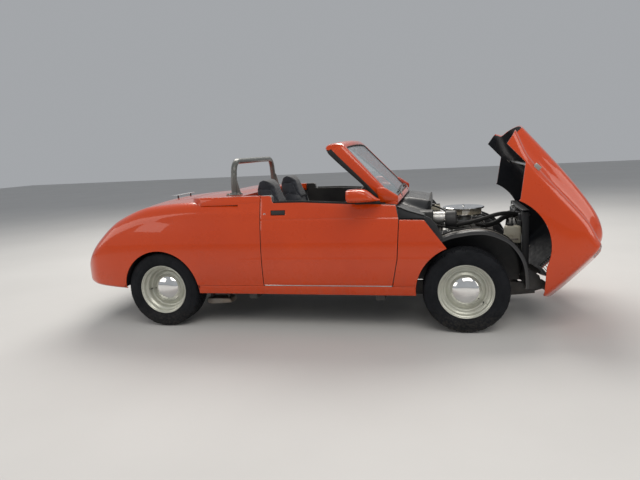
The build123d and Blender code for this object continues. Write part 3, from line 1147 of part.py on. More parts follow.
def build():
    """Every named piece of the car."""
    parts = {
        "frame_rails": frame_rails(),
        "floor_pan": floor_pan(),
        "cowl": cowl(),
        "rear_body": rear_body(),
        "trunk_lid": trunk_lid(),
        "rear_deck": rear_deck(),
        "rocker_panels": rockers(),
        "front_side_panels": front_side_panels(),
        "front_clip": front_clip(),
        "headlamps": headlamps(),
        "grille": grille(),
        "inner_fenders": inner_fenders(),
        "radiator": radiator(),
        "engine_block": engine_block(),
        "valve_covers": valve_covers(),
        "air_cleaner": air_cleaner(),
        "engine_front": engine_front(),
        "exhaust": exhaust(),
        "tail_lamps": tail_lamps(),
        "clip_brace": clip_brace(),
        "coolant_tank": coolant_tank(),
        "brake_booster": brake_booster(),
        "gearbox": gearbox(),
        "front_suspension": front_suspension(),
        "rear_axle": rear_axle(),
        "fuel_tank": fuel_tank(),
        "dashboard": dashboard(),
        "steering_column": steering_column(),
        "steering_wheel": steering_wheel(),
        "roll_hoop": roll_hoop(),
    }
    parts["windshield_frame"], parts["windshield_glass"] = windshield_parts()
    for side, word in ((1, "left"), (-1, "right")):
        parts[f"door_{word}"] = door(side)
        parts[f"door_handle_{word}"] = door_handle(side)
        parts[f"mirror_{word}"] = mirror_unit(side)
        parts[f"seat_{word}"] = seat(side)
        parts[f"knuckle_{word}"] = knuckle(side)
        parts[f"tyre_front_{word}"] = wheel_tyre(FRONT_AXLE_X, side, FRONT_WHEEL_Y)
        parts[f"tyre_rear_{word}"] = wheel_tyre(REAR_AXLE_X, side, REAR_WHEEL_Y)
        parts[f"rim_front_{word}"] = wheel_rim(FRONT_AXLE_X, side, FRONT_WHEEL_Y, FRONT_DISC_U, front_brake())
        parts[f"rim_rear_{word}"] = wheel_rim(REAR_AXLE_X, side, REAR_WHEEL_Y, REAR_DISC_U, rear_brake())
    return parts


os.makedirs("parts", exist_ok=True)
for name, shape in build().items():
    export_step(shape, f"parts/{name}.step")
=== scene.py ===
import math

import bmesh
import bpy
import numpy as np
from mathutils import Matrix, Vector


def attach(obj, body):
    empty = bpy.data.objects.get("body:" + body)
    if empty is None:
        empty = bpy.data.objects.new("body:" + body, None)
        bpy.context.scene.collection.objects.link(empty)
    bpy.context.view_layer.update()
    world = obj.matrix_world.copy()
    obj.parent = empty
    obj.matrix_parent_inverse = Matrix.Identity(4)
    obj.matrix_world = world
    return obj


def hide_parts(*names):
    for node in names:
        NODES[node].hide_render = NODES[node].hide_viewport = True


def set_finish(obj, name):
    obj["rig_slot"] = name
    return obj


# The dressed roadster. Lengths are in millimetres in the tables, and in metres in the meshes.
MM = 0.001
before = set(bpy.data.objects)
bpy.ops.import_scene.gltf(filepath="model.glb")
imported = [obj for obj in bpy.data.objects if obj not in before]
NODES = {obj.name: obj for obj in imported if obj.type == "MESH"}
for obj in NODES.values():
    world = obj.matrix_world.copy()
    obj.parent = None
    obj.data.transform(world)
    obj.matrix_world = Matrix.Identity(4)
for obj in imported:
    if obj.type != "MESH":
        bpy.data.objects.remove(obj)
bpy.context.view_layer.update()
SIDES = ((1, "left"), (-1, "right"))


# ---------------------------------------------------------------- materials

def new_material(name):
    """An empty node material with its Principled shader."""
    made = bpy.data.materials.new(name)
    made.use_nodes = True
    return made, made.node_tree, made.node_tree.nodes["Principled BSDF"]


def link_noise(tree, scale, detail=4.0, rough=0.55, squash=(1, 1, 1)):
    """A noise texture on object coordinates."""
    coords = tree.nodes.new("ShaderNodeTexCoord")
    mapping = tree.nodes.new("ShaderNodeMapping")
    mapping.inputs["Scale"].default_value = squash
    noise = tree.nodes.new("ShaderNodeTexNoise")
    noise.inputs["Scale"].default_value = scale
    noise.inputs["Detail"].default_value = detail
    noise.inputs["Roughness"].default_value = rough
    tree.links.new(coords.outputs["Object"], mapping.inputs["Vector"])
    tree.links.new(mapping.outputs["Vector"], noise.inputs["Vector"])
    return noise.outputs["Fac"]


def remap(tree, value, low, high, to_low, to_high):
    """A value stretched from one range to another."""
    node = tree.nodes.new("ShaderNodeMapRange")
    for key, number in (("From Min", low), ("From Max", high), ("To Min", to_low), ("To Max", to_high)):
        node.inputs[key].default_value = number
    tree.links.new(value, node.inputs["Value"])
    return node.outputs["Result"]


def mix_colour(tree, factor, first, second):
    """A colour between two, each a tuple or a socket."""
    node = tree.nodes.new("ShaderNodeMix")
    node.data_type = "RGBA"
    if isinstance(factor, float):
        node.inputs[0].default_value = factor
    else:
        tree.links.new(factor, node.inputs[0])
    for socket, colour in ((node.inputs[6], first), (node.inputs[7], second)):
        if isinstance(colour, tuple):
            socket.default_value = (*colour, 1.0)
        else:
            tree.links.new(colour, socket)
    return node.outputs[2]


def bump(tree, height, strength, distance, normal=None):
    """A normal from a height, over another normal or the face's own."""
    node = tree.nodes.new("ShaderNodeBump")
    node.inputs["Strength"].default_value = strength
    node.inputs["Distance"].default_value = distance
    tree.links.new(height, node.inputs["Height"])
    if normal is not None:
        tree.links.new(normal, node.inputs["Normal"])
    return node.outputs["Normal"]


def edge_wear(tree, spread):
    """1 at sharp convex edges, 0 on flats."""
    geometry = tree.nodes.new("ShaderNodeNewGeometry")
    return remap(tree, geometry.outputs["Pointiness"], 0.5, 0.5 + spread, 0.0, 1.0)


def height_of(tree):
    """How high a point stands."""
    coords = tree.nodes.new("ShaderNodeTexCoord")
    split = tree.nodes.new("ShaderNodeSeparateXYZ")
    tree.links.new(coords.outputs["Object"], split.inputs["Vector"])
    return split.outputs["Z"]


def multiply(tree, first, second):
    """The product of two values, each a number or a socket."""
    node = tree.nodes.new("ShaderNodeMath")
    node.operation = "MULTIPLY"
    for socket, value in zip(node.inputs, (first, second)):
        if isinstance(value, float):
            socket.default_value = value
        else:
            tree.links.new(value, socket)
    return node.outputs[0]


def finish_surface(name, colour, worn, metallic=0.0, rough=(0.3, 0.45), grain=60.0, relief=(0.1, 0.0004),
                   relief_scale=300.0, squash=(1, 1, 1), coat=0.0, coat_rough=0.04, dust=0.0, sheen=0.0,
                   specular=0.5, patch=3.0, edges=0.0):
    """A surface with patchy colour, uneven roughness, fine relief, dust low down and worn edges."""
    made, tree, shader = new_material(name)
    broad = link_noise(tree, patch, 5.0)
    base = mix_colour(tree, remap(tree, broad, 0.35, 0.7, 0.0, 1.0), colour, worn)
    if dust:
        low = remap(tree, height_of(tree), 0.55, 0.1, 0.0, dust)
        grit = remap(tree, link_noise(tree, 18.0, 6.0), 0.4, 0.65, 0.2, 1.0)
        base = mix_colour(tree, multiply(tree, low, grit), base, (0.30, 0.25, 0.19))
    if edges:
        bare = tuple(min(1.0, 0.35 + 0.8 * part) for part in colour)
        base = mix_colour(tree, multiply(tree, edge_wear(tree, 0.12), edges), base, bare)
    tree.links.new(base, shader.inputs["Base Color"])
    fine = link_noise(tree, grain, 6.0, 0.6, squash)
    tree.links.new(remap(tree, fine, 0.3, 0.7, *rough), shader.inputs["Roughness"])
    height = link_noise(tree, relief_scale, 3.0, 0.5, squash)
    tree.links.new(bump(tree, height, *relief), shader.inputs["Normal"])
    shader.inputs["Metallic"].default_value = metallic
    shader.inputs["Coat Weight"].default_value = coat
    shader.inputs["Coat Roughness"].default_value = coat_rough
    shader.inputs["Sheen Weight"].default_value = sheen
    shader.inputs["Specular IOR Level"].default_value = specular
    return made


def body_paint():
    """Glossy red-orange over glass fibre, with a faint orange peel and road dust low down."""
    made, tree, shader = new_material("paint_orange")
    broad = link_noise(tree, 1.6, 3.0)
    base = mix_colour(tree, remap(tree, broad, 0.3, 0.7, 0.0, 1.0), (0.56, 0.052, 0.002),
                      (0.50, 0.043, 0.002))
    low = remap(tree, height_of(tree), 0.5, 0.28, 0.0, 0.16)
    grit = remap(tree, link_noise(tree, 22.0, 6.0), 0.45, 0.7, 0.0, 1.0)
    base = mix_colour(tree, multiply(tree, low, grit), base, (0.25, 0.12, 0.07))
    tree.links.new(base, shader.inputs["Base Color"])
    tree.links.new(remap(tree, link_noise(tree, 9.0, 5.0), 0.3, 0.7, 0.25, 0.34), shader.inputs["Roughness"])
    peel = link_noise(tree, 190.0, 2.0)
    tree.links.new(bump(tree, peel, 0.004, 0.0003), shader.inputs["Normal"])
    wave = bump(tree, link_noise(tree, 2.2, 0.0), 0.02, 0.01)
    tree.links.new(bump(tree, peel, 0.003, 0.0003, wave), shader.inputs["Coat Normal"])
    shader.inputs["Coat Weight"].default_value = 0.85
    shader.inputs["Coat Roughness"].default_value = 0.025
    shader.inputs["Specular IOR Level"].default_value = 0.2
    return made


def tinted_glass(name, colour, alpha, rough=0.02):
    """Glass with faint dust, seen through and mirrored."""
    made, tree, shader = new_material(name)
    dusty = remap(tree, link_noise(tree, 6.0, 3.0), 0.45, 0.75, 0.0, 0.12)
    tree.links.new(mix_colour(tree, dusty, colour, (0.5, 0.48, 0.44)), shader.inputs["Base Color"])
    tree.links.new(remap(tree, link_noise(tree, 5.0, 2.0), 0.3, 0.7, rough, rough + 0.012),
                   shader.inputs["Roughness"])
    shader.inputs["Alpha"].default_value = alpha
    shader.inputs["IOR"].default_value = 1.52
    shader.inputs["Specular IOR Level"].default_value = 0.9
    shader.inputs["Coat Weight"].default_value = 1.0
    shader.inputs["Coat Roughness"].default_value = 0.01
    return made


def woven_cloth(name, colour, lighter):
    """Black upholstery cloth: a fine weave, soft sheen and faded patches."""
    made, tree, shader = new_material(name)
    faded = remap(tree, link_noise(tree, 5.0, 5.0), 0.35, 0.75, 0.0, 1.0)
    base = mix_colour(tree, faded, colour, lighter)
    coords = tree.nodes.new("ShaderNodeTexCoord")
    heights = []
    for turn in (0.0, 1.5708):
        mapping = tree.nodes.new("ShaderNodeMapping")
        mapping.inputs["Rotation"].default_value = (0.0, turn, turn)
        wave = tree.nodes.new("ShaderNodeTexWave")
        wave.inputs["Scale"].default_value = 420.0
        wave.inputs["Distortion"].default_value = 1.2
        tree.links.new(coords.outputs["Object"], mapping.inputs["Vector"])
        tree.links.new(mapping.outputs["Vector"], wave.inputs["Vector"])
        heights.append(wave.outputs["Fac"])
    weave = multiply(tree, heights[0], heights[1])
    tree.links.new(mix_colour(tree, multiply(tree, weave, 0.4), base, lighter), shader.inputs["Base Color"])
    tree.links.new(remap(tree, weave, 0.0, 1.0, 0.78, 0.95), shader.inputs["Roughness"])
    folds = bump(tree, link_noise(tree, 24.0, 4.0), 0.25, 0.004)
    tree.links.new(bump(tree, weave, 0.5, 0.0006, folds), shader.inputs["Normal"])
    shader.inputs["Sheen Weight"].default_value = 0.18
    shader.inputs["Sheen Roughness"].default_value = 0.5
    return made


def tyre_rubber():
    """Dark rubber, greyer and dustier on the tread and where the dust gathers."""
    made, tree, shader = new_material("tyre_rubber")
    patches = remap(tree, link_noise(tree, 9.0, 6.0), 0.35, 0.7, 0.0, 1.0)
    base = mix_colour(tree, patches, (0.007, 0.008, 0.010), (0.013, 0.014, 0.017))
    low = remap(tree, height_of(tree), 0.2, 0.0, 0.0, 0.35)
    grit = remap(tree, link_noise(tree, 60.0, 6.0), 0.42, 0.62, 0.0, 1.0)
    base = mix_colour(tree, multiply(tree, low, grit), base, (0.10, 0.088, 0.07))
    tree.links.new(base, shader.inputs["Base Color"])
    tree.links.new(remap(tree, link_noise(tree, 40.0, 5.0), 0.3, 0.7, 0.55, 0.82), shader.inputs["Roughness"])
    tree.links.new(bump(tree, link_noise(tree, 420.0, 3.0), 0.25, 0.0008), shader.inputs["Normal"])
    shader.inputs["Specular IOR Level"].default_value = 0.14
    return made


PAINT = body_paint()
CLIP_BLACK = finish_surface("clip_inside_black", (0.009, 0.011, 0.016), (0.020, 0.021, 0.024),
                            rough=(0.5, 0.75), relief=(0.5, 0.0015), relief_scale=70.0, patch=5.0,
                            grain=30.0, specular=0.22)
SATIN_BLACK = finish_surface("satin_black", (0.009, 0.010, 0.013), (0.020, 0.020, 0.022), rough=(0.26, 0.45),
                             relief=(0.15, 0.0005), dust=0.2, edges=0.2, specular=0.32)
FRAME_BLACK = finish_surface("chassis_black", (0.010, 0.010, 0.011), (0.026, 0.023, 0.021), rough=(0.4, 0.7),
                             relief=(0.3, 0.0008), relief_scale=120.0, dust=0.18, edges=0.2, specular=0.25)
FLOOR_BLACK = finish_surface("floor_black", (0.018, 0.018, 0.018), (0.04, 0.037, 0.034), rough=(0.6, 0.9),
                             relief=(0.5, 0.001), relief_scale=160.0, dust=0.4)
COWL_GREY = finish_surface("cowl_black", (0.013, 0.015, 0.018), (0.032, 0.034, 0.037), rough=(0.3, 0.5),
                           relief=(0.2, 0.0006), edges=0.25, specular=0.35)
HOOP_GREY = finish_surface("hoop_grey_green", (0.055, 0.062, 0.056), (0.085, 0.09, 0.082), rough=(0.3, 0.45),
                           relief=(0.12, 0.0004), coat=0.3, coat_rough=0.2, edges=0.3)
WHEEL_SILVER = finish_surface("wheel_silver_beige", (0.54, 0.55, 0.48), (0.44, 0.44, 0.385), metallic=0.42,
                              rough=(0.3, 0.4), relief=(0.008, 0.0001), coat=0.4, coat_rough=0.12, patch=9.0,
                              edges=0.15)
CHROME = finish_surface("chrome", (0.88, 0.88, 0.87), (0.78, 0.78, 0.77), metallic=1.0, rough=(0.03, 0.1),
                        relief=(0.01, 0.0002), patch=14.0, grain=30.0)
ALLOY = finish_surface("cast_alloy", (0.55, 0.55, 0.54), (0.38, 0.37, 0.35), metallic=0.9, rough=(0.3, 0.55),
                       relief=(0.35, 0.0008), relief_scale=240.0, patch=12.0, edges=0.3)
POLISHED = finish_surface("polished_alloy", (0.74, 0.74, 0.73), (0.6, 0.6, 0.59), metallic=1.0,
                          rough=(0.12, 0.28), relief=(0.08, 0.0003), patch=10.0, squash=(1, 8, 1))
CAST = finish_surface("cast_iron", (0.16, 0.155, 0.15), (0.11, 0.085, 0.065), metallic=0.5, rough=(0.5, 0.8),
                      relief=(0.6, 0.0012), relief_scale=200.0, patch=14.0, edges=0.4)
STEEL = finish_surface("dull_steel", (0.42, 0.41, 0.39), (0.28, 0.24, 0.20), metallic=0.9, rough=(0.3, 0.6),
                       relief=(0.25, 0.0005), relief_scale=200.0, patch=8.0, dust=0.3)
EXHAUST = finish_surface("exhaust_steel", (0.36, 0.34, 0.31), (0.22, 0.16, 0.11), metallic=0.85,
                         rough=(0.35, 0.7), relief=(0.35, 0.0008), relief_scale=120.0, patch=6.0, dust=0.4)
RUBBER = finish_surface("black_rubber", (0.014, 0.014, 0.014), (0.03, 0.03, 0.03), rough=(0.5, 0.75),
                        relief=(0.3, 0.0005), relief_scale=350.0, specular=0.2)
PLASTIC = finish_surface("black_plastic", (0.016, 0.016, 0.017), (0.032, 0.032, 0.032), rough=(0.4, 0.6),
                         relief=(0.5, 0.0006), relief_scale=420.0, dust=0.1)
TANK = finish_surface("tank_beige", (0.56, 0.53, 0.44), (0.48, 0.44, 0.34), rough=(0.3, 0.5),
                      relief=(0.15, 0.0006), relief_scale=90.0, patch=12.0)
VINYL = finish_surface("dash_vinyl", (0.02, 0.02, 0.021), (0.04, 0.039, 0.037), rough=(0.45, 0.65),
                       relief=(0.7, 0.0009), relief_scale=380.0, sheen=0.1, patch=6.0)
BRAKE = finish_surface("brake_disc", (0.38, 0.37, 0.36), (0.25, 0.20, 0.16), metallic=0.9, rough=(0.25, 0.5),
                       relief=(0.3, 0.0004), relief_scale=200.0, squash=(1, 12, 1))
GOLD = finish_surface("servo_gold", (0.42, 0.33, 0.13), (0.30, 0.24, 0.11), metallic=0.9, rough=(0.25, 0.45),
                      relief=(0.15, 0.0004), patch=10.0)
CARPET = finish_surface("carpet_black", (0.014, 0.014, 0.014), (0.035, 0.034, 0.032), rough=(0.85, 1.0),
                        relief=(1.0, 0.003), relief_scale=520.0, sheen=0.5)
TYRE = tyre_rubber()
CLOTH = woven_cloth("seat_cloth_black", (0.008, 0.010, 0.015), (0.022, 0.026, 0.036))
# The windshield's pale blue-grey colour is partly its tint and partly a painted reflection of the sky,
# lightened so the half-opaque pane looks bright.
GLASS_TINT_AND_PAINTED_REFLECTION = tinted_glass("windshield_tint", (0.36, 0.43, 0.47), 0.52)
LENS = tinted_glass("lens_clear", (0.75, 0.78, 0.80), 0.22)
LENS_RED = tinted_glass("lens_red", (0.42, 0.008, 0.006), 0.9, 0.08)
MIRROR = finish_surface("mirror_glass", (0.85, 0.87, 0.88), (0.8, 0.82, 0.83), metallic=1.0,
                        rough=(0.01, 0.04), relief=(0.005, 0.0001))

FINS = finish_surface("radiator_fins", (0.10, 0.10, 0.10), (0.20, 0.19, 0.17), metallic=0.6,
                      rough=(0.4, 0.6), relief=(0.2, 0.0004))
LEAD = finish_surface("plug_lead", (0.02, 0.02, 0.022), (0.05, 0.045, 0.04), rough=(0.35, 0.5),
                      relief=(0.1, 0.0003))
FILTER = finish_surface("filter_paper", (0.62, 0.55, 0.42), (0.42, 0.36, 0.26), rough=(0.8, 0.95),
                        relief=(0.4, 0.0005))
DIAL_WHITE = finish_surface("dial_white", (0.80, 0.80, 0.78), (0.72, 0.72, 0.70), rough=(0.4, 0.5),
                            relief=(0.05, 0.0001))
NEEDLE = finish_surface("needle_orange", (0.80, 0.16, 0.03), (0.7, 0.14, 0.03), rough=(0.4, 0.5),
                        relief=(0.05, 0.0001))
CLOTH_PANEL = woven_cloth("seat_cloth_grey", (0.014, 0.017, 0.024), (0.032, 0.037, 0.048))


# ---------------------------------------------------------------- mesh tools

def shade(mesh, angle=32.0):
    """Smooth faces with sharp edges past an angle."""
    work = bmesh.new()
    work.from_mesh(mesh)
    bmesh.ops.recalc_face_normals(work, faces=work.faces)
    limit = math.radians(angle)
    for face in work.faces:
        face.smooth = True
    for edge in work.edges:
        edge.smooth = len(edge.link_faces) == 2 and edge.calc_face_angle(0.0) < limit
    work.to_mesh(mesh)
    work.free()


def face_out(mesh):
    """Turns a closed mesh's faces outwards."""
    work = bmesh.new()
    work.from_mesh(mesh)
    bmesh.ops.recalc_face_normals(work, faces=work.faces)
    work.to_mesh(mesh)
    work.free()


def add(name, mesh):
    """A mesh as an object of the scene."""
    made = bpy.data.objects.new(name, mesh)
    bpy.context.scene.collection.objects.link(made)
    return made


def raw_piece(name, points, faces, materials=()):
    """An object from points in millimetres, on no body yet."""
    mesh = bpy.data.meshes.new(name)
    mesh.from_pydata([tuple(value * MM for value in point) for point in points], [], faces)
    for one in materials:
        mesh.materials.append(one)
    return add(name, mesh)


def turns(count):
    """The angles of a full circle in equal steps."""
    return [2 * math.pi * k / count for k in range(count)]


def circle(across, up, radius, count=48):
    """A circle's points in a plane."""
    return [(across + radius * math.cos(t), up + radius * math.sin(t)) for t in turns(count)]


def flank(side, inner, outer):
    """A range across the car on one side, low end first."""
    return sorted((side * inner, side * outer))


def ease(value):
    """A value held between 0 and 1, with soft ends."""
    value = min(1.0, max(0.0, value))
    return value * value * (3 - 2 * value)


def put(name, points, faces, material, body=None, slot=None, replaces=(), angle=32.0, place=None):
    """A mesh piece from points in millimetres, riding on a body."""
    if place:
        points = [place(point) for point in points]
    made = raw_piece(name, points, faces, material if isinstance(material, (list, tuple)) else [material])
    shade(made.data, angle)
    return dress(made, body, slot, replaces)


def dress(made, body, slot=None, replaces=()):
    """Says what a piece rides on, which material slot it has, and which solids it stands for."""
    if body:
        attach(made, body)
    if slot:
        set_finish(made, slot)
    if replaces:
        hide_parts(*replaces)
    return made


def grid(rows, close_rows=False, close_columns=False, caps=False):
    """Points and quads from rows of points."""
    count, width = len(rows), len(rows[0])
    points = [point for row in rows for point in row]
    faces = []
    for i in range(count if close_rows else count - 1):
        for j in range(width if close_columns else width - 1):
            a, b = i * width + j, i * width + (j + 1) % width
            c, d = ((i + 1) % count) * width + (j + 1) % width, ((i + 1) % count) * width + j
            faces.append((a, b, c, d))
    if caps:
        faces.append(tuple(range(width))[::-1])
        faces.append(tuple((count - 1) * width + j for j in range(width)))
    return points, faces


def freeze(made):
    """Applies every modifier of a piece."""
    graph = bpy.context.evaluated_depsgraph_get()
    mesh = bpy.data.meshes.new_from_object(made.evaluated_get(graph))
    old = made.data
    made.modifiers.clear()
    made.data = mesh
    bpy.data.meshes.remove(old)
    return made


def cutter(points, faces):
    """A throwaway solid that cuts a piece."""
    made = raw_piece("cutter", points, faces)
    face_out(made.data)
    return made


def carve(made, cutters, operation="DIFFERENCE"):
    """Cuts a piece with throwaway solids."""
    for tool in cutters:
        cut = made.modifiers.new("cut", "BOOLEAN")
        cut.object = tool
        cut.operation = operation
        cut.solver = "EXACT"
    freeze(made)
    for tool in cutters:
        mesh = tool.data
        bpy.data.objects.remove(tool)
        bpy.data.meshes.remove(mesh)
    return made


def prism_data(axis, outline, low, high):
    """Points and faces of an outline swept along an axis."""
    spot = {"x": lambda a, b, c: (c, a, b), "y": lambda a, b, c: (a, c, b), "z": lambda a, b,
            c: (a, b, c)}[axis]
    points = [spot(a, b, low) for a, b in outline] + [spot(a, b, high) for a, b in outline]
    size = len(outline)
    faces = [tuple(range(size)), tuple(range(size, 2 * size))[::-1]]
    faces += [(i, (i + 1) % size, size + (i + 1) % size, size + i) for i in range(size)]
    return points, faces


def prism_tool(axis, outline, low, high):
    """A cutter swept from an outline."""
    return cutter(*prism_data(axis, outline, low, high))


def box_outline(xs, ys):
    """The plan of a box."""
    return ((xs[0], ys[0]), (xs[1], ys[0]), (xs[1], ys[1]), (xs[0], ys[1]))


def box_tool(xs, ys, zs):
    """A box that cuts."""
    return prism_tool("z", box_outline(xs, ys), *zs)


def round_tool(centre, radius, ys, count=128):
    """A cylinder along Y that cuts."""
    return prism_tool("y", circle(*centre, radius, count), *ys)


def bevel(made, width, segments=3, angle=30.0):
    """Rounds a piece's sharp edges for good."""
    edge = made.modifiers.new("round", "BEVEL")
    edge.width = width * MM
    edge.segments = segments
    edge.limit_method = "ANGLE"
    edge.angle_limit = math.radians(angle)
    freeze(made)
    shade(made.data, 40.0)
    return made


def thicken(made, thickness, angle=40.0, offset=0.0):
    """Gives a sheet its thickness."""
    thick = made.modifiers.new("thick", "SOLIDIFY")
    thick.thickness = thickness * MM
    thick.offset = offset
    freeze(made)
    shade(made.data, angle)
    return made


def block(name, xs, ys, zs, material, body, width=4.0, segments=3, **more):
    """A box with rounded edges."""
    return prism(name, "z", box_outline(xs, ys), *zs, material, body, width, segments, **more)


def prism(name, axis, outline, low, high, material, body, width=3.0, segments=3, **more):
    """An outline swept along an axis, with its edges rounded."""
    points, faces = prism_data(axis, outline, low, high)
    made = put(name, points, faces, material, body, **more)
    return bevel(made, width, segments) if width else made


def spin(name, profile, centre, axis, material, body, count=96, closed=False, angle=30.0, **more):
    """A turned piece from (along, radius) points about an axis through a centre."""
    rows = []
    for along, radius in profile:
        row = []
        for turn in turns(count):
            a, b = radius * math.cos(turn), radius * math.sin(turn)
            offset = {"x": (along, a, b), "y": (a, along, b), "z": (a, b, along)}[axis]
            row.append(tuple(c + o for c, o in zip(centre, offset)))
        rows.append(row)
    points, faces = grid(rows, close_rows=closed, close_columns=True)
    return put(name, points, faces, material, body, angle=angle, **more)


def tube(name, points, radius, material, body, smooth=True, resolution=6, ends=True, **more):
    """A round hose, pipe or wire along a line of points."""
    curve = bpy.data.curves.new(name, "CURVE")
    curve.dimensions = "3D"
    curve.bevel_depth = radius * MM
    curve.bevel_resolution = resolution
    curve.resolution_u = 12
    curve.use_fill_caps = ends
    line = curve.splines.new("NURBS" if smooth else "POLY")
    line.points.add(len(points) - 1)
    for spot, point in zip(line.points, points):
        spot.co = (*(value * MM for value in point), 1.0)
    if smooth:
        line.use_endpoint_u = True
        line.order_u = 3
    curve.materials.append(material)
    made = add(name, curve)
    graph = bpy.context.evaluated_depsgraph_get()
    mesh = bpy.data.meshes.new_from_object(made.evaluated_get(graph))
    bpy.data.objects.remove(made)
    shade(mesh, 50.0)
    return dress(add(name, mesh), body, **more)


def merge(name, objects, body, **more):
    """Several pieces of one body as one piece."""
    work = bmesh.new()
    materials = []
    for one in objects:
        first = len(work.faces)
        work.from_mesh(one.data)
        work.faces.ensure_lookup_table()
        lookup = []
        for material in one.data.materials:
            if material not in materials:
                materials.append(material)
            lookup.append(materials.index(material))
        for face in work.faces[first:]:
            face.material_index = lookup[face.material_index] if lookup else 0
    mesh = bpy.data.meshes.new(name)
    work.to_mesh(mesh)
    work.free()
    for material in materials:
        mesh.materials.append(material)
    for one in objects:
        old = one.data
        bpy.data.objects.remove(one)
        bpy.data.meshes.remove(old)
    return dress(add(name, mesh), body, **more)


def pchip(knots, values, places):
    """Monotone cubic interpolation of one or more columns."""
    knots, values, places = np.asarray(knots, float), np.asarray(values, float), np.asarray(places, float)
    if values.ndim == 1:
        values = values[:, None]
    step = np.diff(knots)[:, None]
    slope = np.diff(values, axis=0) / step
    tangent = np.zeros_like(values)
    tangent[0], tangent[-1] = slope[0], slope[-1]
    for i in range(1, len(knots) - 1):
        same = slope[i - 1] * slope[i] > 0
        left, right = 2 * step[i] + step[i - 1], step[i] + 2 * step[i - 1]
        with np.errstate(divide="ignore", invalid="ignore"):
            mean = (left + right) / (left / slope[i - 1] + right / slope[i])
        tangent[i] = np.where(same, mean, 0.0)
    index = np.clip(np.searchsorted(knots, places, side="right") - 1, 0, len(knots) - 2)
    h = step[index]
    t = ((places - knots[index])[:, None]) / h
    basis = (2 * t**3 - 3 * t**2 + 1, t**3 - 2 * t**2 + t, -2 * t**3 + 3 * t**2, t**3 - t**2)
    return (basis[0] * values[index] + basis[1] * h * tangent[index]
            + basis[2] * values[index + 1] + basis[3] * h * tangent[index + 1])


def flow(stations, per_span):
    """Smooth rows between stations, spaced by the distance along their top corner."""
    table = np.array(stations, float)
    spots = table[:, [0, 1, 4]] * (1.0, 0.6, 1.0)
    knots = np.concatenate([[0.0], np.cumsum(np.linalg.norm(np.diff(spots, axis=0), axis=1))])
    places = []
    for start, end, count in zip(knots[:-1], knots[1:], per_span):
        places.extend(start + (end - start) * i / count for i in range(count))
    places.append(knots[-1])
    return pchip(knots, table, places)


# ---------------------------------------------------------------- the body's own form

BODY_HALF = 850.0
UPPER_SIDE_R, LOWER_SIDE_R = 1513.0, 1400.0
WIDEST_Z = 611.0
UPPER_CREASE_Z, LOWER_CREASE_Z = 908.0, 592.0
SEAM_Z, SILL_Z = 374.0, 300.0
FRONT_AXLE_X, REAR_AXLE_X, AXLE_Z = 1138.0, -1372.0, 326.0
FRONT_ARCH_R, REAR_ARCH_R = 373.0, 342.0
TILT_X, TILT_Z, TILT = 1662.0, 245.0, math.radians(45.0)
DOOR_HINGE_X, DOOR_HINGE_Y, DOOR_HINGE_HEIGHTS = 700, 834, (500, 720)
DOOR_THICK = 56
PULL_Z = 964
LAMP_Y, LAMP_Z = 715, 782
TAIL_LAMP_YS, TAIL_LAMP_Z = (470, 600), 560
LID_HINGE_X, LID_HINGE_Z = -1174, 1056

# x, half width, underside, widest line, crest, top of crown, shoulder radius
REAR_STATIONS = (
    (-452, 850, 300, 611, 1046, 1062, 110),
    (-1060, 853, 300, 611, 1060, 1082, 115),
    (-1450, 853, 320, 611, 1036, 1064, 130),
    (-1760, 850, 340, 600, 936, 972, 150),
    (-1965, 826, 358, 560, 780, 820, 140),
    (-2090, 760, 372, 510, 648, 690, 100),
    (-2170, 660, 384, 470, 530, 566, 60),
    (-2216, 520, 396, 432, 455, 476, 20),
)
FRONT_STATIONS = (
    (640, 850, 300, 611, 1016, 1040, 80),
    (860, 851, 300, 611, 938, 966, 76),
    (1138, 853, 300, 611, 912, 938, 74),
    (1440, 852, 300, 600, 892, 924, 74),
    (1620, 838, 302, 570, 846, 884, 80),
    (1700, 700, 306, 560, 832, 868, 80),
    (1765, 520, 316, 550, 815, 850, 80),
    (1805, 320, 340, 550, 780, 806, 70),
    (1822, 160, 380, 550, 730, 744, 40),
)
# x, half width at the crease, half width at the foot, crease height, top
HOOD_STATIONS = (
    (640, 430, 610, 1094, 1130),
    (1080, 430, 610, 1064, 1100),
    (1500, 410, 580, 1010, 1044),
    (1680, 370, 520, 950, 982),
    (1790, 280, 400, 846, 866),
    (1808, 170, 226, 790, 812),
    (1822, 80, 108, 738, 748),
)


def side_y(z, width=BODY_HALF, widest=WIDEST_Z):
    """How far the body side stands out at a height."""
    radius = UPPER_SIDE_R if z >= widest else LOWER_SIDE_R
    return width - (radius - math.sqrt(radius**2 - (z - widest) ** 2))


def crease(z, share=1.0):
    """The side's two creases: a fine groove below the belt and a soft ridge at mid height."""
    groove = -2.4 * math.exp(-((z - UPPER_CREASE_Z) / 4.5) ** 2)
    ridge = 1.6 * math.exp(-((z - LOWER_CREASE_Z) / 12.0) ** 2)
    return share * (groove + ridge)


def side_heights(low, high):
    """Heights down the body side, closer together at the creases."""
    heights = {low, high}
    for crest, gaps in ((UPPER_CREASE_Z, (-14, -6, -3, 0, 3, 6, 14)),
                        (LOWER_CREASE_Z, (-30, -14, -6, 0, 6, 14, 30))):
        heights |= {crest + gap for gap in gaps if low + 4 < crest + gap < high - 4}
    for step in range(int(low // 45) + 1, int(high // 45) + 1):
        if all(abs(step * 45.0 - one) > 16 for one in heights):
            heights.add(step * 45.0)
    return sorted(heights)


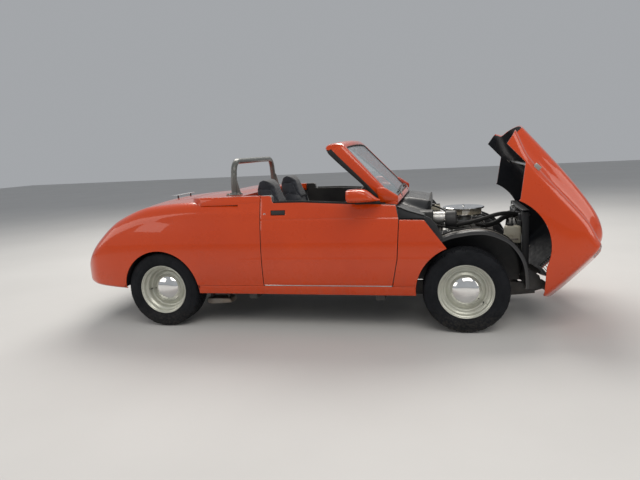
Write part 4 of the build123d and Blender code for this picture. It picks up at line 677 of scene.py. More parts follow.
def half_section(width, low, widest, crest, shoulder):
    """From the bottom corner up the side and over the shoulder to the crest."""
    corner = min(30.0, 0.2 * (crest - low))
    rise = crest - shoulder
    widest = min(widest, rise - 12.0)
    foot = low + corner
    foot_y = side_y(foot, width, widest)
    points = [(foot_y - corner * (1 - math.sin(t)), foot - corner * math.cos(t))
              for t in (0.0, 0.52, 1.05)]
    for start, end, count in ((foot, widest, 7), (widest, rise, 8)):
        points += [(side_y(start + (end - start) * i / count, width, widest),
                    start + (end - start) * i / count) for i in range(count)]
    top_y = side_y(rise, width, widest)
    crest_y = top_y - 1.05 * shoulder
    points += [(crest_y + (top_y - crest_y) * math.cos(t * math.pi / 20),
                rise + shoulder * math.sin(t * math.pi / 20)) for t in range(11)]
    return points


def whole(half):
    """Left bottom, over the top, to right bottom, from a half section that ends on the centreline."""
    return half + [(-y, z) for y, z in reversed(half[:-1])]


def rear_rows():
    """The tail and rear quarters, from the back forward."""
    rows = []
    for x, width, low, widest, crest, top, shoulder in flow(REAR_STATIONS, (6, 6, 8, 8, 8, 8, 8)):
        half = half_section(width, low, widest, crest, shoulder)
        edge = half[-1][0]
        half += [(edge * (1 - i / 9), crest + (top - crest) * (1 - (1 - i / 9) ** 2)) for i in range(1, 10)]
        rows.append([(x, y, z) for y, z in whole(half)])
    return rows[::-1]


def front_rows():
    """The closed front: fenders, nose and raised hood in one skin."""
    stations = flow(FRONT_STATIONS, (6, 6, 8, 8, 10, 10, 8, 6))
    hood = pchip([one[0] for one in HOOD_STATIONS], [one[1:] for one in HOOD_STATIONS], stations[:, 0])
    rows = []
    for (x, width, low, widest, crest, top, shoulder), (crease_y, foot_y, crease_z,
                                                        hood_top) in zip(stations, hood):
        half = half_section(width, low, widest, crest, shoulder)
        edge = half[-1][0]
        slope = (crease_z - 700.0) / (foot_y - crease_y)
        meet = edge
        for i in range(200):
            y = crease_y + (edge - crease_y) * i / 199
            crown = crest + (top - crest) * (1 - (y / edge) ** 2)
            if crease_z - (y - crease_y) * slope <= crown:
                meet = y
                break
        meet = min(max(meet, crease_y + 6.0), edge - 6.0)
        meet_z = crest + (top - crest) * (1 - (meet / edge) ** 2)
        for i in range(1, 8):
            y = edge + (meet - edge) * i / 7
            half.append((y, crest + (top - crest) * (1 - (y / edge) ** 2)))
        half += [(meet + (crease_y - meet) * i / 6, meet_z + (crease_z - meet_z) * i / 6)
                 for i in range(1, 7)]
        for i in range(1, 10):
            y = crease_y * (1 - i / 9)
            half.append((y, crease_z + (hood_top - crease_z) * (1 - (1 - i / 9) ** 2)))
        rows.append([(x, y, z) for y, z in soften(whole(half), 2)])
    return rows


def soften(points, times):
    """Rounds the corners of a section a little, with its ends held."""
    for _ in range(times):
        middle = [tuple(0.25 * a + 0.5 * b + 0.25 * c for a, b, c in zip(*three))
                  for three in zip(points, points[1:], points[2:])]
        points = [points[0], *middle, points[-1]]
    return points


def skin(name, rows, materials, thickness, cap_start=False, cap_end=False):
    """A shell of even thickness inside a surface."""
    points, faces = grid(rows)
    width = len(rows[0])
    if cap_start:
        faces.append(tuple(range(width)))
    if cap_end:
        faces.append(tuple((len(rows) - 1) * width + j for j in range(width))[::-1])
    made = raw_piece(name, points, faces, materials)
    thick = made.modifiers.new("thick", "SOLIDIFY")
    thick.thickness = thickness * MM
    thick.offset = -1.0
    thick.use_even_offset = True
    thick.thickness_clamp = 1.2
    thick.material_offset = 1
    thick.material_offset_rim = 0
    freeze(made)
    return made


def side_solid(name, side, xs, zs, thickness, materials, share=1.0):
    """A length of the body side as a closed band, outer skin first."""
    heights = side_heights(*zs)
    lengths = [xs[0] + (xs[1] - xs[0]) * i / 24 for i in range(25)]
    rows = []
    for x in lengths:
        outer = [(x, side * (side_y(z) + crease(z, share)), z) for z in heights]
        inner = [(x, side * (side_y(z) - thickness), z) for z in reversed(heights)]
        rows.append(outer + inner)
    points, faces = grid(rows, close_columns=True, caps=True)
    made = raw_piece(name, points, faces, materials)
    face_out(made.data)
    return made


def twin(made):
    """A second object with the same mesh, for another cut."""
    other = made.copy()
    other.data = made.data.copy()
    bpy.context.scene.collection.objects.link(other)
    return other


def line_inside(made, side, depth=12.0, index=1):
    """Gives the faces behind a side's skin their own material."""
    for face in made.data.polygons:
        centre = face.center / MM
        if side * centre.y < side_y(min(max(centre.z, 310.0), 1120.0)) - depth:
            face.material_index = index


def round_edges(made, width, segments=2, angle=35.0):
    """A bevel on hard edges that stays within a thin panel."""
    edge = made.modifiers.new("edge", "BEVEL")
    edge.width = width * MM
    edge.segments = segments
    edge.limit_method = "ANGLE"
    edge.angle_limit = math.radians(angle)
    edge.use_clamp_overlap = True
    freeze(made)
    return made


def opened(point):
    """Where a point of the closed front stands with the front tilted open."""
    x, y, z = point
    u, w = x - TILT_X, z - TILT_Z
    return (TILT_X + u * math.cos(TILT) + w * math.sin(TILT), y,
            TILT_Z - u * math.sin(TILT) + w * math.cos(TILT))


OPEN_UP = (math.sin(TILT), 0.0, math.cos(TILT))


def open_piece(made):
    """Tilts a piece that was made closed."""
    for vertex in made.data.vertices:
        vertex.co = Vector(opened(vertex.co / MM)) * MM
    return made


# ---------------------------------------------------------------- body shells

DOOR_TOP = ((-452, 1098), (-374, 1098), (-358, 1090), (-350, 1052), (-338, 1041), (-98, 1039), (234, 1019),
            (437, 1012), (560, 1006))
DOOR_FRONT = ((634, 1000), (654, 893), (636, 591), (595, 374))
PANEL_TOP = ((663, 891), (837, 885), (994, 679))
REVEAL = 6.0


def arch_lip(name, side, centre_x, radius, angles, body, place=None):
    """The rolled edge round a wheel arch, on the body's side."""
    rows = []
    for i in range(49):
        turn = math.radians(angles[0] + (angles[1] - angles[0]) * i / 48)
        x0, z0 = math.cos(turn), math.sin(turn)
        row = []
        for t in turns(10):
            reach = radius + 3.5 + 4.5 * math.cos(t)
            z = AXLE_Z + reach * z0
            y = side_y(min(max(z, 300.0), 1100.0)) - 3.0 + 5.0 * math.sin(t)
            row.append((centre_x + reach * x0, side * y, z))
        rows.append(row)
    points, faces = grid(rows, close_columns=True, caps=True)
    return put(name, points, faces, PAINT, body, angle=60.0, place=place)


def rear_shell():
    """The tail and rear quarters in one skin, and the boot lid cut from it."""
    shell = skin("rear_shell", rear_rows(), [PAINT, CLIP_BLACK], 9.0, cap_start=True)
    lid = twin(shell)
    cuts = [box_tool((-1050, -440), (-900, 900), (0, SEAM_Z + 1.0)),
            box_tool((-640, -440), (-700, 700), (900, 1200)),
            box_tool((-1965, -1210), (-470, 470), (600, 1200))]
    cuts += [round_tool((REAR_AXLE_X, AXLE_Z), REAR_ARCH_R, (side * 780 - 130, side * 780 + 130))
             for side in (1, -1)]
    for side, _ in SIDES:
        cuts += [prism_tool("x", circle(side * y, TAIL_LAMP_Z, 44.5), -2230, -2040) for y in TAIL_LAMP_YS]
    carve(shell, cuts)
    shade(shell.data, 28.0)
    dress(shell, "chassis", "body_orange", ["rear_body"])
    carve(lid, [box_tool((-1958, -1220), (-463, 463), (600, 1200))], "INTERSECT")
    shade(lid.data, 28.0)
    lid.name = "boot_lid"
    dress(lid, "trunk", "body_orange", ["trunk_lid"])
    for side, word in SIDES:
        arch_lip(f"rear_arch_lip_{word}", side, REAR_AXLE_X, REAR_ARCH_R, (8.2, 171.8), "chassis")


def lid_fittings():
    """Goosenecks, the black strip across the lid, and a slim blade ahead of it."""
    for side, word in SIDES:
        y = side * 220
        outline = [(LID_HINGE_X + u, LID_HINGE_Z + v) for u, v in ((7, -2), (5, -34), (-8, -43), (-72, -43),
                (-92, -20), (-92, 4), (-50, 6), (-50, -32), (-22, -33), (-13, -26), (-5, -5))]
        prism(f"lid_neck_{word}", "y", outline, y - 14, y + 14, STEEL, "trunk", 2.0)
        spin(f"lid_pin_{word}", [(-30, 0), (-30, 4), (30, 4), (30, 0)], (LID_HINGE_X, y, LID_HINGE_Z), "y",
             STEEL, "chassis", 24)
    rows = []
    for i in range(17):
        y = -150 + 300 * i / 16
        z = 1011.5 - 11.0 * (y / 150) ** 2
        rows.append([(-1684, y, z - 12.5), (-1684, y, z - 4), (-1680, y, z), (-1650, y, z + 8),
                     (-1645, y, z + 5), (-1645, y, z - 4)])
    points, faces = grid(rows, close_columns=True, caps=True)
    put("lid_strip", points, faces, PLASTIC, "trunk", angle=40.0)
    rows = []
    for i in range(21):
        y = -205 + 410 * i / 20
        tip = 1.0 - abs(y / 205) ** 6
        rows.append([(-1514 + 30 * math.cos(t), y, 1083 + 4.5 * tip * math.sin(t)) for t in turns(16)])
    points, faces = grid(rows, close_columns=True, caps=True)
    put("lid_blade", points, faces, POLISHED, "trunk", angle=40.0)
    for side, word in SIDES:
        spin(f"lid_blade_post_{word}", [(-42, 0), (-42, 11), (-36, 8), (-4, 7), (-3, 0)],
             (-1514, side * 130, 1083), "z", SATIN_BLACK, "trunk", 32)


def rear_deck():
    """The raised moulding behind the seats, with arms beside the cockpit and rounded edges."""
    profile = ((-1134, 1032), (-1134, 1062), (-1118, 1076), (-1102, 1085), (-1047, 1094), (-980, 1097),
               (-900, 1098), (-452, 1098), (-452, 1032))
    points, faces = prism_data("y", profile, -800, 800)
    deck = put("rear_deck", points, faces, [PAINT, CLIP_BLACK], None)
    plan = ((-1134, -560), (-1100, -645), (-1060, -700), (-1010, -752), (-960, -784), (-452, -784),
            (-452, 784), (-960, 784), (-1010, 752), (-1060, 700), (-1100, 645), (-1134, 560))
    sides = [(side_y(z) - 0.5, z) for z in (900, 950, 990, 1020, 1050, 1080, 1105, 1140)]
    carve(deck, [prism_tool("z", plan, 900, 1300),
                 prism_tool("x", sides + [(-y, z) for y, z in reversed(sides)], -1200, -400)], "INTERSECT")
    carve(deck, [box_tool((-640, -440), (-700, 700), (900, 1300))])
    bevel(deck, 17.0, 5, 32.0)
    shade(deck.data, 45.0)
    dress(deck, "chassis", "body_orange", ["rear_deck"])
    for side, word in SIDES:
        line = [(x, side * (min(784, y) - 14), 1031) for x, y in ((-1128, 575), (-1062, 700), (-1010, 752),
                (-960, 784), (-700, 784), (-456, 784))]
        tube(f"deck_joint_{word}", line, 6, RUBBER, "chassis")


def quarter_posts():
    """The thick posts behind the doors, lined in vinyl on the cockpit side."""
    for side, word in SIDES:
        post = side_solid(f"quarter_post_{word}", side, (-640, -452), (SEAM_Z + 2, 1046), 60, [PAINT, VINYL])
        line_inside(post, side, 14.0)
        shade(post.data, 30.0)
        dress(post, "chassis", "body_orange")


def doors():
    """Doors with creased skins, dark trim inside, belt strips, pulls and hinges."""
    outline = [(-446, 1098), *DOOR_TOP[1:]]
    outline += [(x - REVEAL, z) for x, z in DOOR_FRONT[:-1]] + [(DOOR_FRONT[-1][0] - REVEAL, SEAM_Z + 6)]
    outline.append((-446, SEAM_Z + 6))
    for side, word in SIDES:
        body = f"door_{word}_body"
        door = side_solid(f"door_skin_{word}", side, (-470, 700), (SEAM_Z - 20, 1150), DOOR_THICK,
                          [PAINT, VINYL])
        carve(door, [prism_tool("y", outline, *flank(side, 600, 900))], "INTERSECT")
        pocket = flank(side, 789, 806)
        recess = flank(side, side_y(PULL_Z) - 14, 900)
        carve(door, [box_tool((-300, 300), pocket, (470, 640)), box_tool((-360, -240), recess, (944, 984))])
        line_inside(door, side, 16.0)
        round_edges(door, 2.2, 2)
        shade(door.data, 24.0)
        dress(door, body, "body_orange", [f"door_{word}"])
        door_trim(side, word, body)
        door_pull(side, word, body)


def door_trim(side, word, body):
    """What is fixed to a door: belt strips, an armrest, a padded card, a pocket lip, a winder and hinges."""
    belt = []
    for x, z in ((-342, 1041), (-250, 1040), (-98, 1039), (70, 1029), (234, 1019), (330, 1015.5), (437, 1012),
                 (520, 1008)):
        belt.append((x, side * (side_y(z) - 9), z + 7))
    strip(f"belt_strip_{word}", belt, 9, 17, RUBBER, body)
    inner = []
    for x, z in ((-330, 1041), (-98, 1039), (234, 1019), (437, 1012), (540, 1008)):
        inner.append((x, side * (side_y(z) - 42), z + 3))
    strip(f"belt_trim_{word}", inner, 13, 6, VINYL, body)
    face = BODY_HALF - DOOR_THICK
    block(f"armrest_{word}", (-260, 180), flank(side, face - 44, face - 10), (748, 800), VINYL, body, 14, 4)
    block(f"door_pad_{word}", (-400, 560), flank(side, face - 13, face - 1), (664, 950), VINYL, body, 6, 3)
    block(f"pocket_lip_{word}", (-302, 302), flank(side, face - 8, face + 2), (636, 652), RUBBER, body, 3, 3)
    spin(f"door_winder_{word}", [(-20, 0), (-20, 20), (-14, 23), (-8, 22), (-4, 12), (6, 12)][::-1],
         (60, side * (face - 6), 700), "y", CHROME, body, 40)
    tube(f"winder_arm_{word}", [(60, side * (face - 22), 700), (95, side * (face - 26), 686),
                                (135, side * (face - 26), 672)], 6, CHROME, body)
    for height in DOOR_HINGE_HEIGHTS:
        outline = [(DOOR_HINGE_X + u, side * (DOOR_HINGE_Y + v)) for u,
                   v in ((-5, 4), (6, -2), (6, -86), (-14, -108), (-46, -108), (-84, -76), (-112, -50),
                         (-112, -38), (-98, -38), (-72, -68), (-44, -92), (-20, -94), (-8, -80), (-6, -28),
                         (-5, -11))]
        prism(f"door_neck_{word}_{height}", "z", outline, height - 22, height + 22, STEEL, body, 2.0)
        spin(f"door_barrel_{word}_{height}", [(-23, 0), (-23, 6.4), (-22, 7), (22, 7), (23, 6.4), (23, 0)],
             (DOOR_HINGE_X, side * DOOR_HINGE_Y, height), "z", STEEL, body, 32)


def strip(name, points, across, tall, material, body, up=(0, 0, 1), **more):
    """A flat moulding with rounded edges along a line of points."""
    rows = []
    spots = [Vector(point) for point in points]
    rise = Vector(up)
    for i, spot in enumerate(spots):
        ahead = (spots[min(i + 1, len(spots) - 1)] - spots[max(i - 1, 0)]).normalized()
        sideways = ahead.cross(rise).normalized()
        above = sideways.cross(ahead).normalized()
        row = []
        for t in turns(12):
            a, b = math.cos(t), math.sin(t)
            a = math.copysign(abs(a) ** 0.55, a)
            b = math.copysign(abs(b) ** 0.55, b)
            row.append(tuple(spot + sideways * (a * across / 2) + above * (b * tall / 2)))
        rows.append(row)
    points, faces = grid(rows, close_columns=True, caps=True)
    return put(name, points, faces, material, body, angle=50.0, **more)


def door_pull(side, word, body):
    """A flush black pull and the chrome lock behind it."""
    y = side_y(PULL_Z) + crease(PULL_Z)
    face = flank(side, y - 8, y - 1.5)
    flap = block(f"pull_flap_{word}", (-356, -244), face, (947, 981), PLASTIC, body, 3, 3,
                 replaces=[f"door_handle_{word}"])
    flap["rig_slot"] = "black_plastic"
    hollow = flank(side, y - 20, y - 9)
    block(f"pull_tray_{word}", (-359, -241), hollow, (945, 983), RUBBER, body, 2, 2)
    spin(f"door_lock_{word}", [(side * -8, 0), (side * -8, 13), (side * -1, 13), (side * 2.6, 10.5),
                               (side * 3.2, 6), (side * 1.6, 4.5), (side * 1.6, 0)], (-412, side * y, 952),
         "y", POLISHED, body, 40)


def lower_sides():
    """Sills and the fixed panels ahead of the doors, with the hinge pins behind them."""
    for side, word in SIDES:
        sill = side_solid(f"sill_{word}", side, (-1032, 1000), (SILL_Z, SEAM_Z - 0.5), 68,
                          [PAINT, SATIN_BLACK])
        line_inside(sill, side, 30.0)
        band = sorted((side * 780 - 200, side * 780 + 200))
        carve(sill, [round_tool((FRONT_AXLE_X, AXLE_Z), FRONT_ARCH_R, band),
                     round_tool((REAR_AXLE_X, AXLE_Z), REAR_ARCH_R, band)])
        round_edges(sill, 3.0, 3)
        shade(sill.data, 30.0)
        dress(sill, "chassis", "body_orange")
        corners = [PANEL_TOP[0], PANEL_TOP[1], PANEL_TOP[2], (1094, 500), (1094, SEAM_Z + 0.5)]
        corners += [(x, z) for x, z in reversed(DOOR_FRONT[1:])]
        corners[-1] = (654, 891)
        panel = side_solid(f"side_panel_{word}", side, (560, 1100), (SEAM_Z + 0.5, 891), 12,
                           [PAINT, CLIP_BLACK])
        carve(panel, [prism_tool("y", corners, *flank(side, 600, 900))], "INTERSECT")
        carve(panel, [round_tool((FRONT_AXLE_X, AXLE_Z), FRONT_ARCH_R, band)])
        line_inside(panel, side, 9.0)
        round_edges(panel, 2.0, 2)
        shade(panel.data, 28.0)
        dress(panel, "chassis", "body_orange")
        arch_lip(f"front_arch_lip_{word}", side, FRONT_AXLE_X, FRONT_ARCH_R, (112.5, 184.0), "chassis")
        block(f"door_post_{word}", (730, 762), flank(side, 752, 800), (SEAM_Z + 16, 868), SATIN_BLACK,
              "chassis", 4)
        for height in DOOR_HINGE_HEIGHTS:
            spin(f"hinge_pin_{word}_{height}", [(-35, 0), (-35, 4), (35, 4), (35, 0)],
                 (DOOR_HINGE_X, side * DOOR_HINGE_Y, height), "z", STEEL, "chassis", 20)
            for edge in (-32, 32):
                block(f"hinge_tab_{word}_{height}_{edge + 32}", (692, 738), flank(side, 825, 839),
                      (height + edge - 3, height + edge + 3), STEEL, "chassis", 1.5, 2)
    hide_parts("rocker_panels")
    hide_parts("front_side_panels")


def front_shell():
    """The one-piece front, made closed and then tilted open."""
    shell = skin("front_shell", front_rows(), [PAINT, CLIP_BLACK], 10.0, cap_end=True)
    gap = 9.0
    notch = ((400, 0), (400, 891 + gap), (663 + gap, 891 + gap), (837 + gap, 885 + gap),
             (994 + gap, 679 + gap), (1020, 560), (1020, 0))
    edge = ((400, 800), (663, 800), (663, 898), (643, 1000), (643, 1200), (400, 1200))
    bow = ((400, -735), (650, -735), (658, -620), (690, -420), (690, 420), (658, 620), (650, 735), (400, 735))
    cuts = [prism_tool("y", notch, -1000, 1000), prism_tool("y", edge, -1000, 1000),
            prism_tool("z", bow, 600, 1300), round_tool((FRONT_AXLE_X, AXLE_Z), FRONT_ARCH_R,
                                                        (-1000, 1000))]
    valance = ((1380, 60), (1380, 474), (1477, 474), (1655, 280), (1655, 60))
    cuts.append(prism_tool("y", valance, -1000, 1000))
    cuts += [box_tool((1500, 1900), (side * LAMP_Y - 78, side * LAMP_Y + 78), (LAMP_Z - 46, LAMP_Z + 46))
             for side in (1, -1)]
    cuts.append(box_tool((1650, 1900), (-340, 340), (390, 550)))
    carve(shell, cuts)
    shade(shell.data, 28.0)
    open_piece(shell)
    dress(shell, "front_tilt", "body_orange", ["front_clip"])
    for side, word in SIDES:
        arch_lip(f"clip_arch_lip_{word}", side, FRONT_AXLE_X, FRONT_ARCH_R, (23.6, 67.0), "front_tilt",
                 opened)
        arm = [(1628, 235), (1628, 269), (1682, 355), (1760, 368), (1790, 372), (1790, 318), (1740, 300),
               (1696, 215)]
        prism(f"tilt_arm_{word}", "y", arm, side * 300 - 8, side * 300 + 8, FRAME_BLACK, "front_tilt", 3,
              place=opened)
        spin(f"tilt_barrel_{word}", [(-14, 14.5), (-14, 32), (-12, 34), (12, 34), (14, 32), (14, 14.5)],
             (TILT_X, side * 300, TILT_Z), "y", STEEL, "front_tilt", 48)


def clip_fittings():
    """Lamps, grille and brace of the tilting front."""
    for side, word in SIDES:
        lens = skin(f"lamp_lens_{word}", front_rows(), [LENS, LENS], 5.0)
        y = side * LAMP_Y
        carve(lens, [box_tool((1500, 1900), (y - 77, y + 77), (LAMP_Z - 45, LAMP_Z + 45))], "INTERSECT")
        shade(lens.data, 40.0)
        open_piece(lens)
        dress(lens, "front_tilt", "lens_clear")
        if side == 1:
            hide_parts("headlamps")
        lamp_bowls(side, word)
    grille_bars()
    bar_x, bar_z = 930, 925
    tube("clip_brace_bar", [opened((bar_x, y, bar_z)) for y in (-800, -400, 0, 400, 800)], 11, POLISHED,
         "front_tilt", replaces=["clip_brace"])
    for side, word in SIDES:
        face = flank(side, side_y(bar_z) - 34, side_y(bar_z) - 13)
        block(f"brace_pad_{word}", (bar_x - 24, bar_x + 24), face, (bar_z - 16, bar_z + 16), STEEL,
              "front_tilt", 3, place=opened)


def lamp_bowls(side, word):
    """A dark housing behind each lens with two round reflectors and their bulbs."""
    def back(y):
        return 1668 - 0.55 * (abs(y) - 637)

    for number, y in enumerate((LAMP_Y - 37, LAMP_Y + 37)):
        x = back(y)
        rows = []
        for along, radius in ((-4, 33), (-8, 32), (-22, 27), (-34, 18), (-40, 8), (-41, 0.5)):
            rows.append([opened((x - 14 + along, side * across, up)) for across,
                         up in circle(y, LAMP_Z, radius, 40)])
        points, faces = grid(rows, close_columns=True)
        bowl = put(f"lamp_bowl_{word}_{number}", points, faces, CHROME, "front_tilt", angle=60.0)
        thicken(bowl, 1.5, 50.0, offset=-1.0)
        spot = opened((x - 34, side * y, LAMP_Z))
        spin(f"lamp_bulb_{word}_{number}", [(-8, 0), (-7, 5), (0, 7), (7, 5), (8, 0)], spot, "x", LENS,
             "front_tilt", 24)
    walls = ((638, 738), (638, 826), (792, 826), (792, 738))
    rows = [[opened((back(y) + shift, side * y, z)) for y, z in walls] for shift in (-12, -60)]
    points, faces = grid(rows, close_columns=True)
    faces.append((4, 5, 6, 7))
    thicken(put(f"lamp_house_{word}", points, faces, CLIP_BLACK, "front_tilt"), 3.0, 30.0)


def grille_bars():
    """Curved horizontal bars, thin uprights and the frame round them."""
    def nose_x(y):
        return 1812 - 32 * (y / 340) ** 2

    pitch = 160 / 7
    bars = []
    for index in range(6):
        z = 390 + (index + 1) * pitch
        line = [opened((nose_x(y) - 9, y, z)) for y in range(-336, 337, 28)]
        bars.append(strip(f"grille_bar_{index}", line, 20, 6, SATIN_BLACK, None, up=OPEN_UP))
    for z in (395, 545):
        line = [opened((nose_x(y) - 9, y, z)) for y in range(-338, 339, 26)]
        bars.append(strip(f"grille_edge_{z}", line, 22, 10, SATIN_BLACK, None, up=OPEN_UP))
    for y in (-334, -110, 110, 334):
        x = nose_x(y)
        bars.append(block(f"grille_post_{y + 334}", (x - 22, x - 3), (y - 5, y + 5), (391, 549),
                          SATIN_BLACK, None, 3, place=opened))
    merge("grille", bars, "front_tilt", replaces=["grille"], slot="black_plastic")


# ---------------------------------------------------------------- wheels

# where, x, |y| of the middle, dish of the disc outwards
WHEELS = (("front", FRONT_AXLE_X, 686, 34), ("rear", REAR_AXLE_X, 708, 6))


def tyre(name, x, side, y, body, node):
    """A road tyre with a grooved and slotted tread, ringed sidewalls and rounded beads."""
    around = 288
    crown = []
    for u in np.linspace(-84, 84, 57):
        crown.append((u, 325.6 - 2.6 * (u / 84) ** 2 - 0.6 * (abs(u) / 84) ** 6))
    wall = [(88, 321.5), (93, 319), (96, 316), (99, 314.8), (101, 311), (103, 309.5), (105.5, 302),
            (108, 293), (110, 282), (111.4, 271), (111.6, 269), (112.6, 268.4), (112.6, 265.6),
            (111.8, 265), (112, 256), (111.6, 246), (110.2, 236), (109.6, 235), (110.4, 234),
            (110.2, 231.5), (108.6, 231), (106.5, 222), (105, 219), (106, 217.4), (105.4, 214.6),
            (103, 213.6), (100, 210.5), (94, 209), (93, 207), (93, 199)]
    profile = [(-u, r) for u, r in reversed(wall)] + crown + wall
    inner = [(60, 306), (86, 290), (93, 250), (79, 199)]
    profile += [(u, r) for u, r in reversed(inner)] + [(-u, r) for u, r in inner]
    grooves = (-54.0, -18.0, 18.0, 54.0)
    rows = []
    for u, radius in profile:
        row = []
        for k in range(around):
            deep = 0.0
            if radius > 311 and abs(u) <= 103:
                pitch = k % 6
                row_number = sum(u > g for g in grooves)
                near = min(abs(u - g) for g in grooves)
                if near < 3.4 and abs(u) < 84:
                    deep = 7.5
                elif row_number in (0, 4):
                    if pitch == (k // 6 + row_number) % 2 * 3 and abs(u) > 66:
                        deep = 6.5
                elif pitch == (2 * row_number + (1 if u - math.floor(u / 36) * 36 > 18 else 0)) % 6:
                    deep = 5.0
            turn = 2 * math.pi * k / around
            reach = radius - deep
            row.append((x + reach * math.sin(turn), side * (y + u), AXLE_Z + reach * math.cos(turn)))
        rows.append(row)
    points, faces = grid(rows, close_rows=True, close_columns=True)
    return put(name, points, faces, TYRE, body, "rubber_black", [node], angle=24.0)


def rim(name, x, side, y, dish, body, node):
    """A painted steel wheel: rolled lips, a drop well, a stepped centre, and a domed chrome cap."""
    half = 102.0
    in_front = dish > 20
    outer = [(half - 7, 199), (half - 7, 207), (half - 5, 209.4), (half - 2, 209.6), (half + 0.2, 207.6),
             (half + 0.4, 204.6), (half - 1.4, 202.4), (half - 5, 201.4), (half - 9, 197.6),
             (half - 13, 192), (half - 20, 190.2), (half - 34, 189.6), (half - 41, 188), (half - 47, 182),
             (half - 52, 174), (half - 56, 171.4)]
    if in_front:
        outer = outer[:13] + [(dish + 14, 188), (dish + 8, 184), (dish + 5, 178), (dish + 4, 171)]
    else:
        outer += [(dish + 22, 170.4), (dish + 10, 169.6)]
    disc = [(dish + 4.5, 168.6), (dish - 1, 166.5), (dish - 4.5, 162), (dish - 5.6, 156), (dish - 4.6, 150),
            (dish - 1.6, 145.6), (dish + 3, 142), (dish + 6.2, 137), (dish + 8, 131), (dish + 9.6, 127.6),
            (dish + 11.4, 126), (dish + 12.6, 122), (dish + 12.2, 117), (dish + 9.6, 113.6),
            (dish + 6, 111), (dish + 5, 96)]
    back = [(dish - 2, 96), (dish - 2, 118), (dish - 12, 146), (dish - 12, 166), (50 - half, 167),
            (-half + 54, 170), (-half + 42, 188), (-half + 12, 190.5), (-half + 6, 201), (-half, 202),
            (-half, 208), (-half + 7, 208), (-half + 7, 197.6), (-half + 40, 197.6), (-half + 58, 178),
            (half - 58, 178), (half - 40, 197.6)]
    made = spin(name, [(side * u, r) for u, r in outer + disc + back], (x, side * y, AXLE_Z), "y",
                WHEEL_SILVER, body, 128, closed=True, angle=34.0, slot="wheel_silver", replaces=[node])
    cap = [(12.4, 119.6), (13.6, 121.4), (16, 121), (18.4, 118.4), (21.4, 114.6), (29, 108), (38, 97),
           (45.4, 84), (51.4, 68), (55.6, 51), (58.2, 34), (59.6, 17), (60, 0.2)]
    spin(f"{name}_cap", [(side * (dish + u), r) for u, r in cap], (x, side * y, AXLE_Z), "y", CHROME, body,
         96, angle=50.0, slot="chrome")
    parts = []
    for k in range(5):
        turn = 2 * math.pi * (k + 0.3) / 5
        spot = (x + 139 * math.sin(turn), side * (y + dish + 3.4), AXLE_Z + 139 * math.cos(turn))
        parts.append(spin(f"{name}_rivet_{k}",
                          [(side * u, r) for u, r in ((-1, 5.2), (1, 5), (2.2, 3.4), (2.6, 0.2))], spot,
                          "y", WHEEL_SILVER, None, 16))
    merge(f"{name}_rivets", parts, body)
    turn = 2.2 if in_front else 4.62
    a, b = math.sin(turn), math.cos(turn)
    reach = 160
    base = (x + reach * a, side * (y + dish - 4), AXLE_Z + reach * b)
    stem = [tuple(c + o for c, o in zip(base, (a * -2 * t, side * 26 * t, b * -2 * t)))
            for t in (0, 0.35, 0.7, 1.0)]
    tube(f"{name}_valve", stem, 3.6, RUBBER, body)
    tube(f"{name}_valve_cap", [stem[-1], tuple(c + o for c, o in zip(stem[-1], (0, side * 7, 0)))], 4.4,
         RUBBER, body, smooth=False)
    hub = [(dish - 1, 96), (dish - 4, 60), (dish - 14, 58), (dish - 16, 34), (dish - 40, 32)]
    spin(f"{name}_hub", [(side * u, r) for u, r in hub], (x, side * y, AXLE_Z), "y", CAST, body, 48)
    if in_front:
        low, high = -34, -12
        profile = [(high, 84), (high, 133), (high - 1, 134), (high - 8, 134), (high - 8.5, 90),
                   (low + 8.5, 90), (low + 8, 134), (low + 1, 134), (low, 133), (low, 70), (dish - 24, 70),
                   (dish - 14, 60), (dish - 14, 84)]
    else:
        profile = [(dish - 13, 40), (dish - 13, 118), (dish - 16, 124), (dish - 22, 125), (dish - 24, 122),
                   (dish - 34, 122), (dish - 36, 126), (dish - 57, 126), (dish - 58, 124), (dish - 58, 117),
                   (dish - 22, 112), (dish - 22, 40)]
    spin(f"{name}_brake", [(side * u, r) for u, r in profile], (x, side * y, AXLE_Z), "y", BRAKE, body, 96,
         closed=True)


def wheels():
    """A tyre and a rim on every wheel's body."""
    for side, word in SIDES:
        for where, x, y, dish in WHEELS:
            body = f"wheel_{where}_{word}"
            tyre(f"tyre_{where}_{word}_dressed", x, side, y, body, f"tyre_{where}_{word}")
            rim(f"rim_{where}_{word}_dressed", x, side, y, dish, body, f"rim_{where}_{word}")


# ---------------------------------------------------------------- windshield

GLASS_RAKE = math.radians(46.0)
GLASS_BEND_R = 5000.0
GLASS_OUT = (math.sin(GLASS_RAKE), 0.0, math.cos(GLASS_RAKE))


def sag(a):
    """How far the bent glass falls back at a distance from its middle."""
    return GLASS_BEND_R - math.sqrt(GLASS_BEND_R**2 - a * a)


def on_glass(a, b, c):
    """A point by its place across, up and out of the windshield's plane."""
    out = c - sag(a)
    return (648 - b * math.cos(GLASS_RAKE) + out * math.sin(GLASS_RAKE), a,
            1066 + b * math.sin(GLASS_RAKE) + out * math.cos(GLASS_RAKE))


def off_glass(a, b, c):
    """Like on_glass, but the frame deepens toward the header, as the pillars of the photograph do."""
    depth = min(1.0, max(0.0, (-c - 15) / 60))
    share = ease((b - 150) / 460) * depth
    return on_glass(a, b + 45 * share, c * (1 + 0.10 * depth + 0.35 * share))


